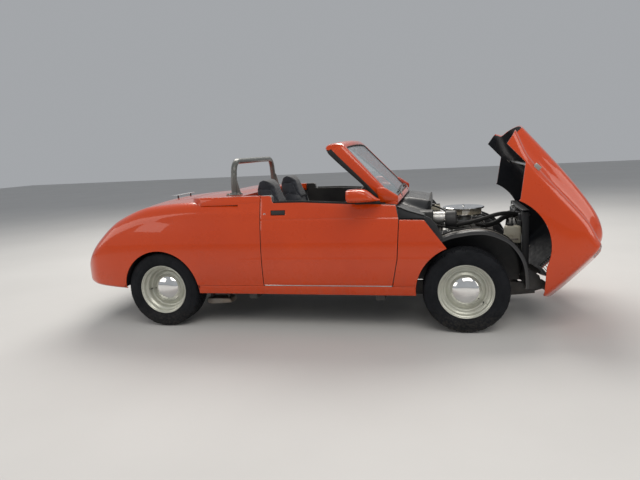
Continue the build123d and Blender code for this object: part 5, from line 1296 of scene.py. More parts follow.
def rounded_loop(corners, radii, per_corner=9, per_side=10):
    """Points round a polygon with arcs at its corners, always the same number."""
    loop = []
    count = len(corners)
    for i, (corner, radius) in enumerate(zip(corners, radii)):
        here = Vector((*corner, 0))
        before = Vector((*corners[i - 1], 0)) - here
        after = Vector((*corners[(i + 1) % count], 0)) - here
        angle = before.angle(after)
        reach = radius / math.tan(angle / 2)
        start, end = here + before.normalized() * reach, here + after.normalized() * reach
        for k in range(per_corner):
            t = k / (per_corner - 1)
            point = start * (1 - t) ** 2 + here * (2 * t * (1 - t)) + end * t**2
            loop.append((point.x, point.y))
        following = Vector((*corners[(i + 1) % count], 0))
        next_before = here - following
        next_after = Vector((*corners[(i + 2) % count], 0)) - following
        next_reach = radii[(i + 1) % count] / math.tan(next_before.angle(next_after) / 2)
        goal = following + next_before.normalized() * next_reach
        for k in range(1, per_side):
            t = k / per_side
            loop.append(tuple((end * (1 - t) + goal * t))[:2])
    return loop


def moulding(outer, inner, section):
    """Rows of a moulding between two loops on the windshield."""
    return [[off_glass(oa + (ia - oa) * t, ob + (ib - ob) * t, c) for t, c in section]
            for (oa, ob), (ia, ib) in zip(outer, inner)]


def windshield():
    """The painted frame with rounded edges, the pane in its rubber, tinted and with a painted sky reflection
    in its pale colour, and two wipers.
    """
    outer = rounded_loop([(-713, -40), (713, -40), (620, 612), (-620, 612)], (14, 14, 46, 46))
    inner = rounded_loop([(-655, 0), (655, 0), (563, 568), (-563, 568)], (30, 30, 40, 40))
    ring = [(0.06, -1), (0.0, -6), (-0.02, -30), (0.0, -60), (0.08, -70), (0.3, -74), (0.7, -74),
            (0.93, -71), (1.0, -64), (1.0, -20), (1.0, -8), (0.96, -3), (0.86, 0), (0.5, 2.5), (0.16, 1)]
    points, faces = grid(moulding(outer, inner, ring), close_rows=True, close_columns=True)
    put("windshield_frame_dressed", points, faces, PAINT, "chassis", "body_orange", ["windshield_frame"],
        angle=40.0)
    seal_rows = []
    for a, b in inner:
        scale = Vector((a, b - 290, 0)).length
        seal_rows.append([on_glass(a * (1 - r / scale), 290 + (b - 290) * (1 - r / scale), c) for r,
                          c in ((-2, -6), (3, -2), (10, -5), (14, -12), (13, -22), (4, -26), (-2, -24))])
    points, faces = grid(seal_rows, close_rows=True, close_columns=True)
    put("windshield_seal", points, faces, RUBBER, "chassis", angle=60.0)
    strip_ring = ((-0.02, -66), (0.02, -62), (0.10, -70), (0.3, -73), (0.34, -82), (0.1, -88), (-0.02, -80))
    points, faces = grid(moulding(outer, inner, strip_ring), close_rows=True, close_columns=True)
    put("pillar_weatherstrip", points, faces, RUBBER, "chassis", angle=50.0)
    pane = []
    for k in range(25):
        b = 3 + 562 * k / 24
        edge = 654 - 92 * b / 568
        pane.append([on_glass(edge * (-1 + 2 * j / 28), b, -14) for j in range(29)])
    points, faces = grid(pane)
    glass = thicken(put("windshield_pane", points, faces, GLASS_TINT_AND_PAINTED_REFLECTION, None, angle=80.0), 6.0, 60.0)
    dress(glass, "chassis", "glass_tint", ["windshield_glass"])
    header_rail()
    for start in (-430, 120):
        wiper(start, f"wiper_{start + 430}")


def header_rail():
    """The deep rail over the glass, its seal, and the flared feet of the pillars."""
    section = ((236, 1476), (234, 1492), (222, 1503), (196, 1509), (150, 1508), (116, 1501), (94, 1489),
               (86, 1472), (92, 1458), (112, 1452), (150, 1454), (196, 1462), (220, 1466))
    rows = []
    for k in range(45):
        y = -610 + 1220 * k / 44
        edge = min(1.0, (610 - abs(y)) / 26)
        shrink = 0.80 + 0.20 * math.sqrt(max(0.0, 1 - (1 - edge) ** 2))
        rows.append([(160 + (x - 160) * shrink - sag(y) * 0.72, y, 1480 + (z - 1480) * shrink - sag(y) * 0.69)
                     for x, z in section])
    points, faces = grid(rows, close_columns=True, caps=True)
    put("header_rail", points, faces, PAINT, "chassis", angle=50.0)
    seal = [(106 - sag(y) * 0.72, y, 1455 - sag(y) * 0.69) for y in range(-588, 589, 49)]
    strip("header_seal", seal, 20, 16, RUBBER, "chassis")
    for side, word in SIDES:
        prism(f"pillar_foot_{word}", "y", ((470, 1130), (484, 1070), (500, 1012), (640, 1012), (640, 1062),
                                           (540, 1128)), *flank(side, 676, 708), PAINT, "chassis", 9, 4)


def wiper(start, name):
    """An arm and its blade, parked along the foot of the glass."""
    pivot = on_glass(start, -22, -6)
    arm = [pivot, on_glass(start + 20, -8, 12), on_glass(start + 120, 18, 10), on_glass(start + 250, 34, 2)]
    tube(f"{name}_arm", arm, 4.2, SATIN_BLACK, "chassis")
    spin(f"{name}_boss", [(-6, 0), (-6, 13), (4, 12), (8, 8), (9, 0)], pivot, "z", SATIN_BLACK, "chassis", 24)
    blade = [on_glass(start + 30 + 42 * k, 22 + 2.2 * k, -5) for k in range(11)]
    strip(f"{name}_blade", blade, 9, 12, RUBBER, "chassis", up=GLASS_OUT)


# ---------------------------------------------------------------- hoop and mirrors

def roll_hoop():
    """The bent hoop on welded feet with gussets and bolts."""
    x, half, top, foot = -760, 545, 1380, 1106
    line = [(x, -half, foot - 6), (x, -half + 2, 1180), (x, -half + 10, 1240), (x, -half + 18, 1272)]
    for k in range(13):
        t = math.pi / 2 * k / 12
        line.append((x, -half + 20 + 108 * (1 - math.cos(t)), 1272 + 108 * math.sin(t)))
    line += [(x, y, top) for y in (-380, -200, 0)]
    line += [(x, -y, z) for _, y, z in reversed(line[:-1])]
    tube("roll_hoop_tube", line, 25, HOOP_GREY, "chassis", resolution=10, replaces=["roll_hoop"],
         slot="hoop_grey")
    for side, word in SIDES:
        y = side * half
        block(f"hoop_foot_{word}", (x - 60, x + 60), (y - 42, y + 42), (foot - 9, foot), HOOP_GREY,
              "chassis", 3, 3)
        spin(f"hoop_weld_{word}", [(-1, 24), (-1, 33), (2, 31), (8, 27), (12, 25.2), (12, 24)],
             (x, y, foot + 1), "z", HOOP_GREY, "chassis", 40, closed=True)
        prism(f"hoop_gusset_{word}", "y", ((-742, 1105), (-700, 1105), (-702, 1113), (-728, 1222),
                                           (-742, 1228)), y - 4, y + 4, HOOP_GREY, "chassis", 2.5)
        for number, (dx, dy) in enumerate(((-48, -30), (-48, 30), (48, -30), (48, 30))):
            spin(f"hoop_bolt_{word}_{number}", [(-2, 0), (-2, 11), (0, 11), (0.5, 8.6), (7, 8.6), (8.5, 7),
                                                (9, 0)], (x + dx, y + dy, foot + 1), "z", STEEL, "chassis",
                 6)


def mirrors():
    """Rounded painted shells with their glass, stalk and rubber foot."""
    for side, word in SIDES:
        body = f"door_{word}_body"
        stations = ((838, 0.62, 150, 0.62), (848, 0.78, 168, 0.80), (866, 0.92, 176, 0.94),
                    (890, 1.0, 170, 1.0), (925, 1.0, 152, 1.0), (955, 0.97, 132, 0.98),
                    (978, 0.90, 112, 0.92), (994, 0.78, 92, 0.80), (1002, 0.62, 72, 0.62),
                    (1005, 0.40, 48, 0.38))
        rows = []
        for y, back, front, tall in stations:
            row = []
            for t in turns(48):
                a, b = math.cos(t), math.sin(t)
                a = math.copysign(abs(a) ** (0.42 if a < 0 else 0.8), a)
                b = math.copysign(abs(b) ** 0.5, b)
                x = 350 + a * (80 * back if a < 0 else front)
                low, high = 1089 - 48 * tall, 1089 + 50 * tall
                high -= (high - 1052) * ease((x - 396) / 140)
                row.append((x, side * y, low + (high - low) * (0.5 + 0.5 * b)))
            rows.append(row)
        points, faces = grid(rows, close_columns=True, caps=True)
        shell = put(f"mirror_shell_{word}", points, faces, [PAINT, CLIP_BLACK], body, angle=50.0)
        smooth = shell.modifiers.new("smooth", "SUBSURF")
        smooth.levels = smooth.render_levels = 1
        freeze(shell)
        carve(shell, [box_tool((200, 287), flank(side, 868, 984), (1054, 1124))])
        shade(shell.data, 40.0)
        dress(shell, body, "body_orange", [f"mirror_{word}"])
        ring = []
        for t in turns(48):
            a = math.copysign(abs(math.cos(t)) ** 0.6, math.cos(t))
            b = math.copysign(abs(math.sin(t)) ** 0.6, math.sin(t))
            ring.append((926 + 56 * a, 1089 + 33 * b))
        prism(f"mirror_pane_{word}", "x", [(side * y, z) for y, z in ring], 287.5, 291, MIRROR, body, 0.8, 2)
        rows = []
        for y, z, hx, hz in ((784, 1040, 96, 18), (800, 1046, 90, 18), (822, 1056, 80, 20),
                             (850, 1070, 70, 24)):
            rows.append([(410 - 0.5 * (y - 784) + hx * math.cos(t), side * y, z + hz * math.sin(t))
                         for t in turns(24)])
        points, faces = grid(rows, close_columns=True, caps=True)
        put(f"mirror_stalk_{word}", points, faces, PAINT, body, angle=50.0)
        block(f"mirror_foot_{word}", (318, 508), flank(side, 776, 797), (1010, 1040), RUBBER, body, 5, 3)


# ---------------------------------------------------------------- under the body

def wheel_houses():
    """Black liners inside the rear arches."""
    for side, word in SIDES:
        rows = []
        for i in range(41):
            turn = math.radians(4.0 + 172.0 * i / 40)
            section = ((832, 352), (700, 354), (575, 354), (560, 346), (556, 330), (556, 240), (556, 150))
            rows.append([(REAR_AXLE_X + r * math.cos(turn), side * y, AXLE_Z + r * math.sin(turn)) for y,
                         r in section])
        points, faces = grid(rows)
        house = put(f"rear_house_{word}", points, faces, CLIP_BLACK, "chassis", angle=40.0)
        thicken(house, 3.0, 40.0)
    for side, word in SIDES:
        y = side * 600
        outline = ((-1046, 214), (-830, 214), (-812, 176), (-1000, 160), (-1046, 172))
        prism(f"tail_box_{word}", "y", outline, y - 60, y + 60, EXHAUST, "chassis", 9, 4)
        for x in (-1010, -850):
            block(f"tail_box_strap_{word}_{-x}", (x - 9, x + 9), (y - 30, y + 30), (205, 312), FRAME_BLACK,
                  "chassis", 3)


def liner_growth(degrees):
    """How far the front liners stand off their round line, by the angle about the axle."""
    angles = (-10, 3, 31, 46, 57, 71, 82, 97, 113, 190)
    growth = (-6, -4, 26, 32, 22, 6, -14, -32, -34, -28)
    return float(pchip(angles, growth, [degrees])[0, 0])


def liner_point(degrees, y, reach):
    """A point that follows the front liners' line, by its angle about the axle."""
    reach += liner_growth(degrees)
    turn = math.radians(degrees)
    return (FRONT_AXLE_X + reach * math.cos(turn), y, AXLE_Z + reach * math.sin(turn))


def inner_arches():
    """Rolled liners over the front wheels: a beaded flange, pressed ribs and a bolted inner wall."""
    for side, word in SIDES:
        section = [(398, 60), (398, 200), (398, 330), (398, 420), (400, 434), (408, 444), (430, 446)]
        for rib in (480, 540, 600):
            section += [(rib - 16, 446), (rib - 10, 450), (rib, 451.5), (rib + 10, 450), (rib + 16, 446)]
        section += [(672, 446), (682, 449), (688, 456), (690, 460), (694, 461.5), (697.5, 460), (698, 452),
                    (697, 440)]
        rows = []
        for i in range(73):
            degrees = -2.0 + 184.0 * i / 72
            turn = math.radians(degrees)
            stretch = 1 + liner_growth(degrees) / 461
            rows.append([(FRONT_AXLE_X + r * stretch * math.cos(turn), side * y,
                          AXLE_Z + r * stretch * math.sin(turn)) for y, r in section])
        points, faces = grid(rows)
        liner = thicken(raw_piece(f"inner_fender_{word}", points, faces, [SATIN_BLACK]), 5.0, 40.0)
        band = flank(side, 370, 720)
        carve(liner, [box_tool((400, 746), band, (0, 1000)), box_tool((400, 1800), band, (-200, 330)),
                      box_tool((968, 1308), flank(side, 380, 420), (300, 560))])
        shade(liner.data, 40.0)
        dress(liner, "chassis", "frame_black")
        if side == 1:
            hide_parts("inner_fenders")
        bolts = []
        for k in range(7):
            spot = liner_point(35 + 18 * k, side * 640, 452)
            bolts.append(spin(f"liner_bolt_{word}_{k}", [(-6, 0), (-6, 8), (1, 8), (3, 6), (4, 0.4)], spot,
                              "z", STEEL, None, 12))
        merge(f"liner_bolts_{word}", bolts, "chassis")
        lip = [liner_point(a, side * 694, 463) for a in range(4, 150, 5)]
        tube(f"liner_bead_{word}", lip, 4.0, SATIN_BLACK, "chassis")
        loom = [liner_point(a, side * (470 + 14 * math.sin(a / 9)), 457) for a in range(38, 140, 6)]
        tube(f"wing_loom_{word}", loom, 6.5, RUBBER, "chassis")
        pipe_line = [liner_point(a, side * 515, 455) for a in range(30, 146, 7)]
        tube(f"brake_line_{word}", pipe_line, 3.0, STEEL, "chassis")


# ---------------------------------------------------------------- engine bay

def cooling():
    """A black support with a finned core, ribbed tanks, a cap, a shroud, and the long hoses."""
    for side, word in SIDES:
        ys = flank(side, 291, 380)
        plate = block(f"support_side_{word}", (1588, 1640), ys, (306, 889), SATIN_BLACK, None, 5, 3)
        carve(plate, [prism_tool("x", circle(side * 336, z, 20, 32), 1634, 1660)
                      for z in (380, 470, 560, 650, 740, 820)])
        shade(plate.data, 35.0)
        dress(plate, "chassis", "frame_black")
        if side == 1:
            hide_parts("radiator")
        for number, z in enumerate((350, 600, 850)):
            spin(f"support_bolt_{word}_{number}", [(-2, 0), (-2, 9), (4, 9), (6, 6), (6.5, 0.4)],
                 (1640, side * 366, z), "x", STEEL, "chassis", 6)
        block(f"support_strut_{word}", (1584, 1592), flank(side, 340, 352), (470, 690), POLISHED, "chassis",
              2)
        block(f"hood_catch_{word}", (1560, 1588), flank(side, 345, 378), (330, 425), POLISHED, "chassis", 6,
              3)
        spin(f"hood_catch_pin_{word}", [(-22, 0), (-22, 8), (22, 8), (22, 0)], (1572, side * 384, 378), "y",
             CHROME, "chassis", 32)
        block(f"vent_box_{word}", (1556, 1586), flank(side, 300, 350), (745, 800), PLASTIC, "chassis", 6, 3)
        tube(f"lamp_loom_{word}", [(1580, side * 320, 700), (1566, side * 340, 640), (1570, side * 352, 560),
                                   (1578, side * 345, 470), (1600, side * 330, 400)], 6, RUBBER, "chassis")
    block("support_top", (1588, 1640), (-380, 380), (866, 890), SATIN_BLACK, "chassis", 5, 3)
    for side, word in SIDES:
        cheek = ((1584, 300), (1584, 452), (1604, 462), (1690, 404), (1708, 340), (1694, 300))
        prism(f"hinge_cheek_{word}", "y", cheek, *flank(side, 560, 572), SATIN_BLACK, "chassis", 4, 3)
        tube(f"hinge_cheek_tie_{word}", [(1610, side * 376, 330), (1610, side * 566, 330)], 16, FRAME_BLACK,
             "chassis", smooth=False)
        tube(f"hinge_cheek_brace_{word}", [(1622, side * 372, 430), (1640, side * 470, 420),
                                           (1660, side * 566, 400)], 12, FRAME_BLACK, "chassis")
    block("support_foot", (1588, 1640), (-380, 380), (306, 320.5), SATIN_BLACK, "chassis", 4, 3)
    fins = []
    for k in range(86):
        y = -266 + 532 * k / 85
        fins.append(block(f"fin_{k}", (1582, 1618), (y - 1.1, y + 1.1), (362, 788), FINS, None, 0.4, 1))
    for k in range(18):
        z = 372 + 406 * k / 17
        fins.append(block(f"tube_{k}", (1584, 1616), (-268, 268), (z - 2.4, z + 2.4), FINS, None, 1.4, 2))
    merge("radiator_core", fins, "chassis")
    for name, zs in (("top", (790, 850)), ("low", (320, 361))):
        tank = block(f"radiator_tank_{name}", (1568, 1632), (-289, 289), zs, SATIN_BLACK, None, 11, 4)
        ribs = [tank]
        for k in range(9):
            y = -240 + 60 * k
            ribs.append(block(f"tank_rib_{name}_{k}", (1565, 1635), (y - 4, y + 4), (zs[0] + 4, zs[1] - 5),
                              SATIN_BLACK, None, 3, 2))
        merge(f"radiator_tank_{name}_ribbed", ribs, "chassis")
    spin("radiator_neck", [(-14, 0), (-14, 24), (8, 24), (9, 27), (12, 28), (14, 31), (22, 31), (25, 29),
                           (26, 22), (29, 12), (30, 0)], (1600, 180, 850), "z", POLISHED, "chassis", 48)
    section = ((1566, 222), (1546, 216), (1520, 214), (1520, 210), (1548, 211), (1566, 216))
    ring = [[(x, r * math.cos(t), 575 + r * math.sin(t)) for x, r in section] for t in turns(72)]
    points, faces = grid(ring, close_rows=True, close_columns=True)
    put("fan_shroud", points, faces, PLASTIC, "chassis", angle=50.0)
    tube("top_hose", [(1572, -205, 822), (1530, -215, 832), (1470, -225, 822), (1410, -205, 770),
                      (1350, -160, 742), (1300, -120, 735), (1262, -70, 735)], 21, RUBBER, "chassis",
         resolution=10)
    tube("top_hose_upper", [(1578, -238, 838), (1500, -275, 858), (1400, -300, 852), (1290, -290, 812),
                            (1170, -250, 775), (1080, -235, 758)], 17, RUBBER, "chassis", resolution=10)
    tube("low_hose", [(1570, 190, 345), (1530, 195, 360), (1500, 150, 420), (1480, 70, 500),
                      (1470, 30, 540)], 22, RUBBER, "chassis", resolution=10)
    for name, spot, radius in (("a", (1560, -208, 826), 23.5), ("b", (1285, -100, 735), 23.5)):
        spin(f"hose_clip_{name}", [(-5, radius - 4), (-5, radius), (5, radius), (5, radius - 4)], spot, "x",
             POLISHED, "chassis", 40, closed=True)


def expansion_tank():
    """A cloudy tank with rounded edges, a moulded seam, a cap and its hose."""
    tank = block("coolant_tank_body", (1456, 1584), (-372, -292), (618, 762), TANK, None, 20, 6)
    seam = block("coolant_tank_seam", (1453, 1587), (-375, -289), (684, 689), TANK, None, 2, 2)
    dimple = block("coolant_tank_rib", (1500, 1522), (-375, -289), (632, 676), TANK, None, 5, 3)
    merge("coolant_tank_dressed", [tank, seam, dimple], "chassis", replaces=["coolant_tank"],
          slot="tank_plastic")
    rows = []
    for along, share in ((0, 0.9), (2, 1.0), (16, 1.0), (19, 0.94), (20, 0.7), (20.5, 0.02)):
        row = []
        for k, t in enumerate(turns(48)):
            knurl = (24.5 if k % 2 else 26.0) * share
            row.append((1500 + knurl * math.cos(t), -332 + knurl * math.sin(t), 760 + along))
        rows.append(row)
    points, faces = grid(rows, close_columns=True)
    put("coolant_cap", points, faces, PLASTIC, "chassis", angle=40.0)
    tube("coolant_hose", [(1520, -300, 752), (1520, -270, 800), (1540, -200, 850), (1590, -60, 868),
                          (1600, 100, 872), (1600, 156, 870)], 6, RUBBER, "chassis")
    block("coolant_strap", (1480, 1560), (-377, -287), (648, 662), STEEL, "chassis", 2)
    block("coolant_bracket", (1540, 1590), (-360, -304), (686, 698), STEEL, "chassis", 3)


BANK, CRANK_Z = math.radians(45.0), 430


def banked(side):
    """Places a point drawn on an upright bank onto one side of the vee."""
    def place(point):
        x, y, z = point
        return (x, side * (y * math.cos(BANK) + z * math.sin(BANK)),
                CRANK_Z - y * math.sin(BANK) + z * math.cos(BANK))
    return place


def engine():
    """Crankcase, heads, finned covers with breathers and leads, a distributor and coil, and an oil pan."""
    case = ((-105, 255), (105, 255), (130, 318), (150, 330), (168, 420), (150, 470), (112, 560),
            (-112, 560), (-150, 470), (-168, 420), (-150, 330), (-130, 318))
    parts = [prism("case", "x", case, 872, 1428, CAST, None, 8, 3),
             prism("pan", "x", ((-98, 205), (98, 205), (106, 262), (-106, 262)), 892, 1075, SATIN_BLACK,
                   None, 10, 4), prism("pan_rail", "x", ((-140, 318), (140, 318), (140, 330), (-140, 330)),
                                       880, 1420, STEEL, None, 3, 2),
             prism("valley", "x", ((-150, 560), (150, 560), (118, 641), (-118, 641)), 890, 1410, ALLOY,
                   None, 7, 3)]
    merge("engine_case", parts, "chassis", replaces=["engine_block"], slot="cast_grey")
    for side, word in SIDES:
        place = banked(side)
        parts = [block(f"bank_{word}", (882, 1418), (-76, 76), (70, 216), CAST, None, 7, 3, place=place),
                 block(f"head_{word}", (888, 1412), (-83, 83), (215, 299), CAST, None, 8, 3, place=place)]
        for k in range(5):
            x = 915 + 118 * k
            parts.append(block(f"head_boss_{word}_{k}", (x - 10, x + 10), (70, 89), (222, 292), CAST, None,
                               4, 2, place=place))
        merge(f"cylinder_bank_{word}", parts, "chassis")
        base = block(f"cover_rim_{word}", (899, 1401), (-62, 62), (300.3, 309), POLISHED, None, 3, 2,
                     place=place)
        crown = prism(f"cover_{word}", "x", ((-54, 308), (-54, 336), (-36, 356), (36, 356), (54, 336),
                                             (54, 308)), 906, 1394, POLISHED, None, 9, 4, place=place)
        parts = [base, crown]
        for k in range(9):
            y = -32 + 8 * k
            parts.append(block(f"cover_fin_{word}_{k}", (935, 1365), (y - 1.6, y + 1.6), (352, 361),
                               POLISHED, None, 1.2, 2, place=place))
        for x in (925, 1150, 1375):
            for y in (-57.5, 57.5):
                parts.append(block(f"cover_nut_{word}_{x}_{y}", (x - 6, x + 6), (y - 5, y + 5), (308, 317),
                                   STEEL, None, 2, 2, place=place))
        merge(f"valve_cover_{word}", parts, "chassis", replaces=["valve_covers"] if side == 1 else (),
              slot="alloy")
        spot = place((990, 0, 361))
        tube(f"breather_{word}", [spot, tuple(a + b for a, b in zip(spot, (0, side * 22, 22)))], 19,
             SATIN_BLACK, "chassis", smooth=False, resolution=10)
        for k in range(4):
            x = 960 + 125 * k
            plug = place((x, -92, 262))
            boot = place((x, -116, 278))
            rise = place((x, -96, 350))
            over = (x * 0.8 + 900 * 0.2, side * 150, 760)
            tube(f"lead_{word}_{k}", [plug, boot, rise, over, (905 + 6 * k, side * 50, 772),
                                      (902, side * 20, 768)], 4.2, LEAD, "chassis")
    spin("distributor", [(0, 0), (0, 34), (40, 34), (42, 46), (66, 48), (84, 40), (92, 26), (94, 0)],
         (905, 0, 660), "z", PLASTIC, "chassis", 48)
    for k in range(8):
        t = 2 * math.pi * k / 8
        spin(f"distributor_post_{k}", [(0, 0), (0, 7), (16, 6), (16, 0)],
             (905 + 30 * math.cos(t), 30 * math.sin(t), 744), "z", RUBBER, "chassis", 20)
    spin("coil", [(-50, 0), (-50, 24), (-46, 27), (44, 27), (48, 22), (52, 10), (60, 9), (62, 0)],
         (860, 150, 700), "x", SATIN_BLACK, "chassis", 40)


def intake():
    """Runners, a carburettor with its linkage, and the round air cleaner."""
    x = 1150
    parts = [block("manifold", (965, 1335), (-86, 86), (640, 698), ALLOY, None, 12, 4)]
    for step in (-1.5, -0.5, 0.5, 1.5):
        for side in (1, -1):
            middle = x + step * 95
            parts.append(tube(f"runner_{step}_{side}",
                              [(middle, side * 168, 652), (middle, side * 120, 690),
                               (middle * 0.7 + x * 0.3, side * 60, 712), (middle * 0.4 + x * 0.6, side * 20,
                    714)], 25, ALLOY, None))
    merge("intake_manifold", parts, "chassis", replaces=["air_cleaner"], slot="alloy")
    parts = [block("carb_base", (1082, 1218), (-62, 62), (714, 728), ALLOY, None, 3),
             block("carb_body", (1096, 1204), (-50, 50), (728, 778), ALLOY, None, 8, 3),
             block("carb_bowl_a", (1074, 1110), (-46, 46), (736, 790), ALLOY, None, 9, 3),
             block("carb_bowl_b", (1190, 1226), (-46, 46), (736, 790), ALLOY, None, 9, 3),
             spin("carb_horn", [(778, 0), (778, 66), (800, 64), (818, 64), (818, 0)], (1150, 0, 0), "z",
                  ALLOY, None, 48)]
    merge("carburettor", parts, "chassis")
    tube("throttle_rod", [(1100, 58, 740), (1010, 66, 745), (900, 72, 760), (780, 80, 790)], 3.2, STEEL,
         "chassis")
    tube("fuel_line", [(1226, 30, 770), (1290, 60, 760), (1340, 120, 700), (1400, 180, 560),
                       (1410, 170, 440)], 4.5, STEEL, "chassis")
    spin("air_filter", [(822, 60), (816, 120), (815, 148), (822, 153), (830, 154), (831, 150), (868, 150),
                        (870, 156), (876, 172), (880, 177), (885, 177.5), (889, 172), (890, 150),
                        (886.5, 140), (886.5, 60), (890, 50), (890, 24), (890, 0.4)], (x, 0, 0), "z",
         CHROME, "chassis", 96, angle=24.0)
    folds = [(149 if k % 2 else 152, t) for k, t in enumerate(turns(180))]
    pleats = [[(x + r * math.cos(t), r * math.sin(t), along) for r, t in folds] for along in (832, 868)]
    points, faces = grid(pleats, close_columns=True)
    put("filter_pleats", points, faces, FILTER, "chassis", angle=20.0)
    spin("filter_wing_nut", [(886, 0), (886, 9), (893, 9), (895, 6), (900, 5.6), (907, 5), (908, 0)],
         (x, 0, 0), "z", CHROME, "chassis", 24)
    block("filter_wing", (x - 3, x + 3), (-22, 22), (893, 902), CHROME, "chassis", 2.5, 3)


def engine_nose():
    """Pump, grooved pulleys, a belt, a finned alternator and a twisted fan."""
    def pulley(name, y, z, x0, radius):
        return spin(name, [(x0 - 16, 14), (x0 - 16, radius), (x0 - 11, radius), (x0 - 4, radius - 11),
                           (x0 + 4, radius - 11), (x0 + 11, radius), (x0 + 16, radius),
                           (x0 + 16, radius - 8), (x0 + 8, radius - 16), (x0 + 8, 22), (x0 + 16, 14)],
                    (0, y, z), "x", STEEL, None, 64, closed=True)
    parts = [pulley("pump_pulley", 0, 560, 1506, 74), pulley("crank_pulley", 0, 410, 1500, 80),
             pulley("charge_pulley", -205, 560, 1506, 36),
             spin("pump_body", [(1430.5, 0), (1430.5, 56), (1448, 54), (1462, 40), (1490, 32), (1491, 0)],
                  (0, 0, 560), "x", ALLOY, None, 64),
             spin("crank_damper", [(1431, 0), (1431, 62), (1434, 84), (1466, 84), (1468, 60), (1484, 40),
                                   (1484, 0)], (0, 0, 410), "x", CAST, None, 64)]
    merge("front_drive", parts, "chassis", replaces=["engine_front"], slot="alloy")

    def belt(name, wheels, x0):
        """A V belt round its pulleys."""
        from_angles = []
        for number, (y, z, radius) in enumerate(wheels):
            ahead = wheels[(number + 1) % len(wheels)]
            gap = Vector((ahead[0] - y, ahead[1] - z))
            turn = math.atan2(gap.y, gap.x)
            lean = math.asin(max(-1.0, min(1.0, (radius - ahead[2]) / gap.length)))
            from_angles.append(turn - math.pi / 2 + lean)
        line = []
        for number, (y, z, radius) in enumerate(wheels):
            start, end = from_angles[number - 1], from_angles[number]
            while end < start:
                end += 2 * math.pi
            for k in range(13):
                t = start + (end - start) * k / 12
                line.append((y + radius * math.cos(t), z + radius * math.sin(t)))
        rows = []
        for number, (y, z) in enumerate(line):
            before, after = Vector(line[number - 1]), Vector(line[(number + 1) % len(line)])
            along = (after - before).normalized()
            out = Vector((along.y, -along.x))
            rows.append([(x0 - 6, y + out.x * 4, z + out.y * 4), (x0 + 6, y + out.x * 4, z + out.y * 4),
                         (x0 + 4, y - out.x * 4, z - out.y * 4), (x0 - 4, y - out.x * 4, z - out.y * 4)])
        points, faces = grid(rows, close_rows=True, close_columns=True)
        return put(name, points, faces, RUBBER, "chassis", angle=30.0)

    belt("drive_belt", [(0, 560, 68), (-205, 560, 32), (0, 410, 74)], 1503)
    shell = [(1430, 18), (1432, 50), (1438, 62), (1452, 64), (1478, 64), (1486, 60), (1490, 46), (1490, 18)]
    spin("alternator", shell, (0, -205, 560), "x", ALLOY, "chassis", 48, closed=True)
    fins = []
    for k in range(14):
        t = 2 * math.pi * k / 14
        fins.append(block(f"alternator_rib_{k}", (1436, 1488), (-2.5, 2.5), (58, 67), ALLOY, None, 1.5, 2,
                          place=lambda p, t=t: (p[0], -205 + p[2] * math.cos(t) - p[1] * math.sin(t),
                                                560 + p[2] * math.sin(t) + p[1] * math.cos(t))))
    merge("alternator_ribs", fins, "chassis")
    block("alternator_arm", (1436, 1446), (-200, -20), (606, 622), STEEL, "chassis", 3)
    blades = [spin("fan_hub", [(1523, 0), (1523, 40), (1530, 42), (1542, 40), (1545, 20), (1545, 0)],
                   (0, 0, 560), "x", SATIN_BLACK, None, 40)]
    for k in range(6):
        turn = math.pi * k / 3
        rows = []
        for i in range(9):
            reach = 36 + 168 * i / 8
            twist = math.radians(44 - 20 * i / 8)
            chord = 34 + 12 * math.sin(math.pi * i / 8) + 6 * i / 8
            row = []
            for u in (-1.0, -0.5, 0.0, 0.5, 1.0):
                across = u * chord
                curve = 5 * (1 - u * u)
                row.append((1534 + across * math.sin(twist) * 0.45 + curve - 3,
                            reach * math.cos(turn) - across * math.cos(twist) * math.sin(turn),
                            560 + reach * math.sin(turn) + across * math.cos(twist) * math.cos(turn)))
            rows.append(row)
        points, faces = grid(rows)
        blades.append(thicken(put(f"fan_blade_{k}", points, faces, POLISHED, None, angle=60.0), 2.0, 50.0))
    merge("cooling_fan", blades, "chassis")


def servo():
    """The brake servo's ribbed drum, master cylinder, reservoir and pipes."""
    y, z = 440, 785
    spin("brake_servo", [(745.5, 0), (745.5, 58), (772, 60), (776, 78), (782, 98), (790, 105), (797, 106),
                         (799, 102), (803, 102), (805, 106), (812, 105), (822, 96), (832, 76), (836, 40),
                         (838, 0)], (0, y, z), "x", GOLD, "chassis", 96, angle=26.0,
         replaces=["brake_booster"], slot="steel")
    parts = [spin("master", [(832, 0), (832, 34), (842, 34), (844, 26), (900, 25), (902, 27), (912, 27),
                             (914, 24), (954, 23), (960, 16), (960, 0)], (0, y, z), "x", ALLOY, None, 48)]
    merge("master_cylinder", parts, "chassis")
    block("brake_reservoir", (856, 950), (y - 31, y + 31), (808, 862), TANK, "chassis", 9, 4)
    block("brake_reservoir_seam", (854, 952), (y - 33, y + 33), (836, 840), TANK, "chassis", 1.5, 2)
    for x in (880, 926):
        spin(f"reservoir_cap_{x}", [(860, 0), (860, 20), (872, 20), (874, 16), (875, 0.4)], (x, y, 0), "z",
             PLASTIC, "chassis", 32)
    for k, x in enumerate((870, 915)):
        tube(f"servo_pipe_{k}", [(x, y - 24, z), (x, y - 50, z - 10), (x - 30, y - 70, z - 80),
                                 (x - 60, y - 80, z - 200), (800, y - 90, 470)], 3, STEEL, "chassis")
    tube("vacuum_hose", [(800, y - 60, z + 80), (850, 330, 880), (960, 240, 850), (1060, 120, 790),
                         (1100, 40, 760)], 8, RUBBER, "chassis")


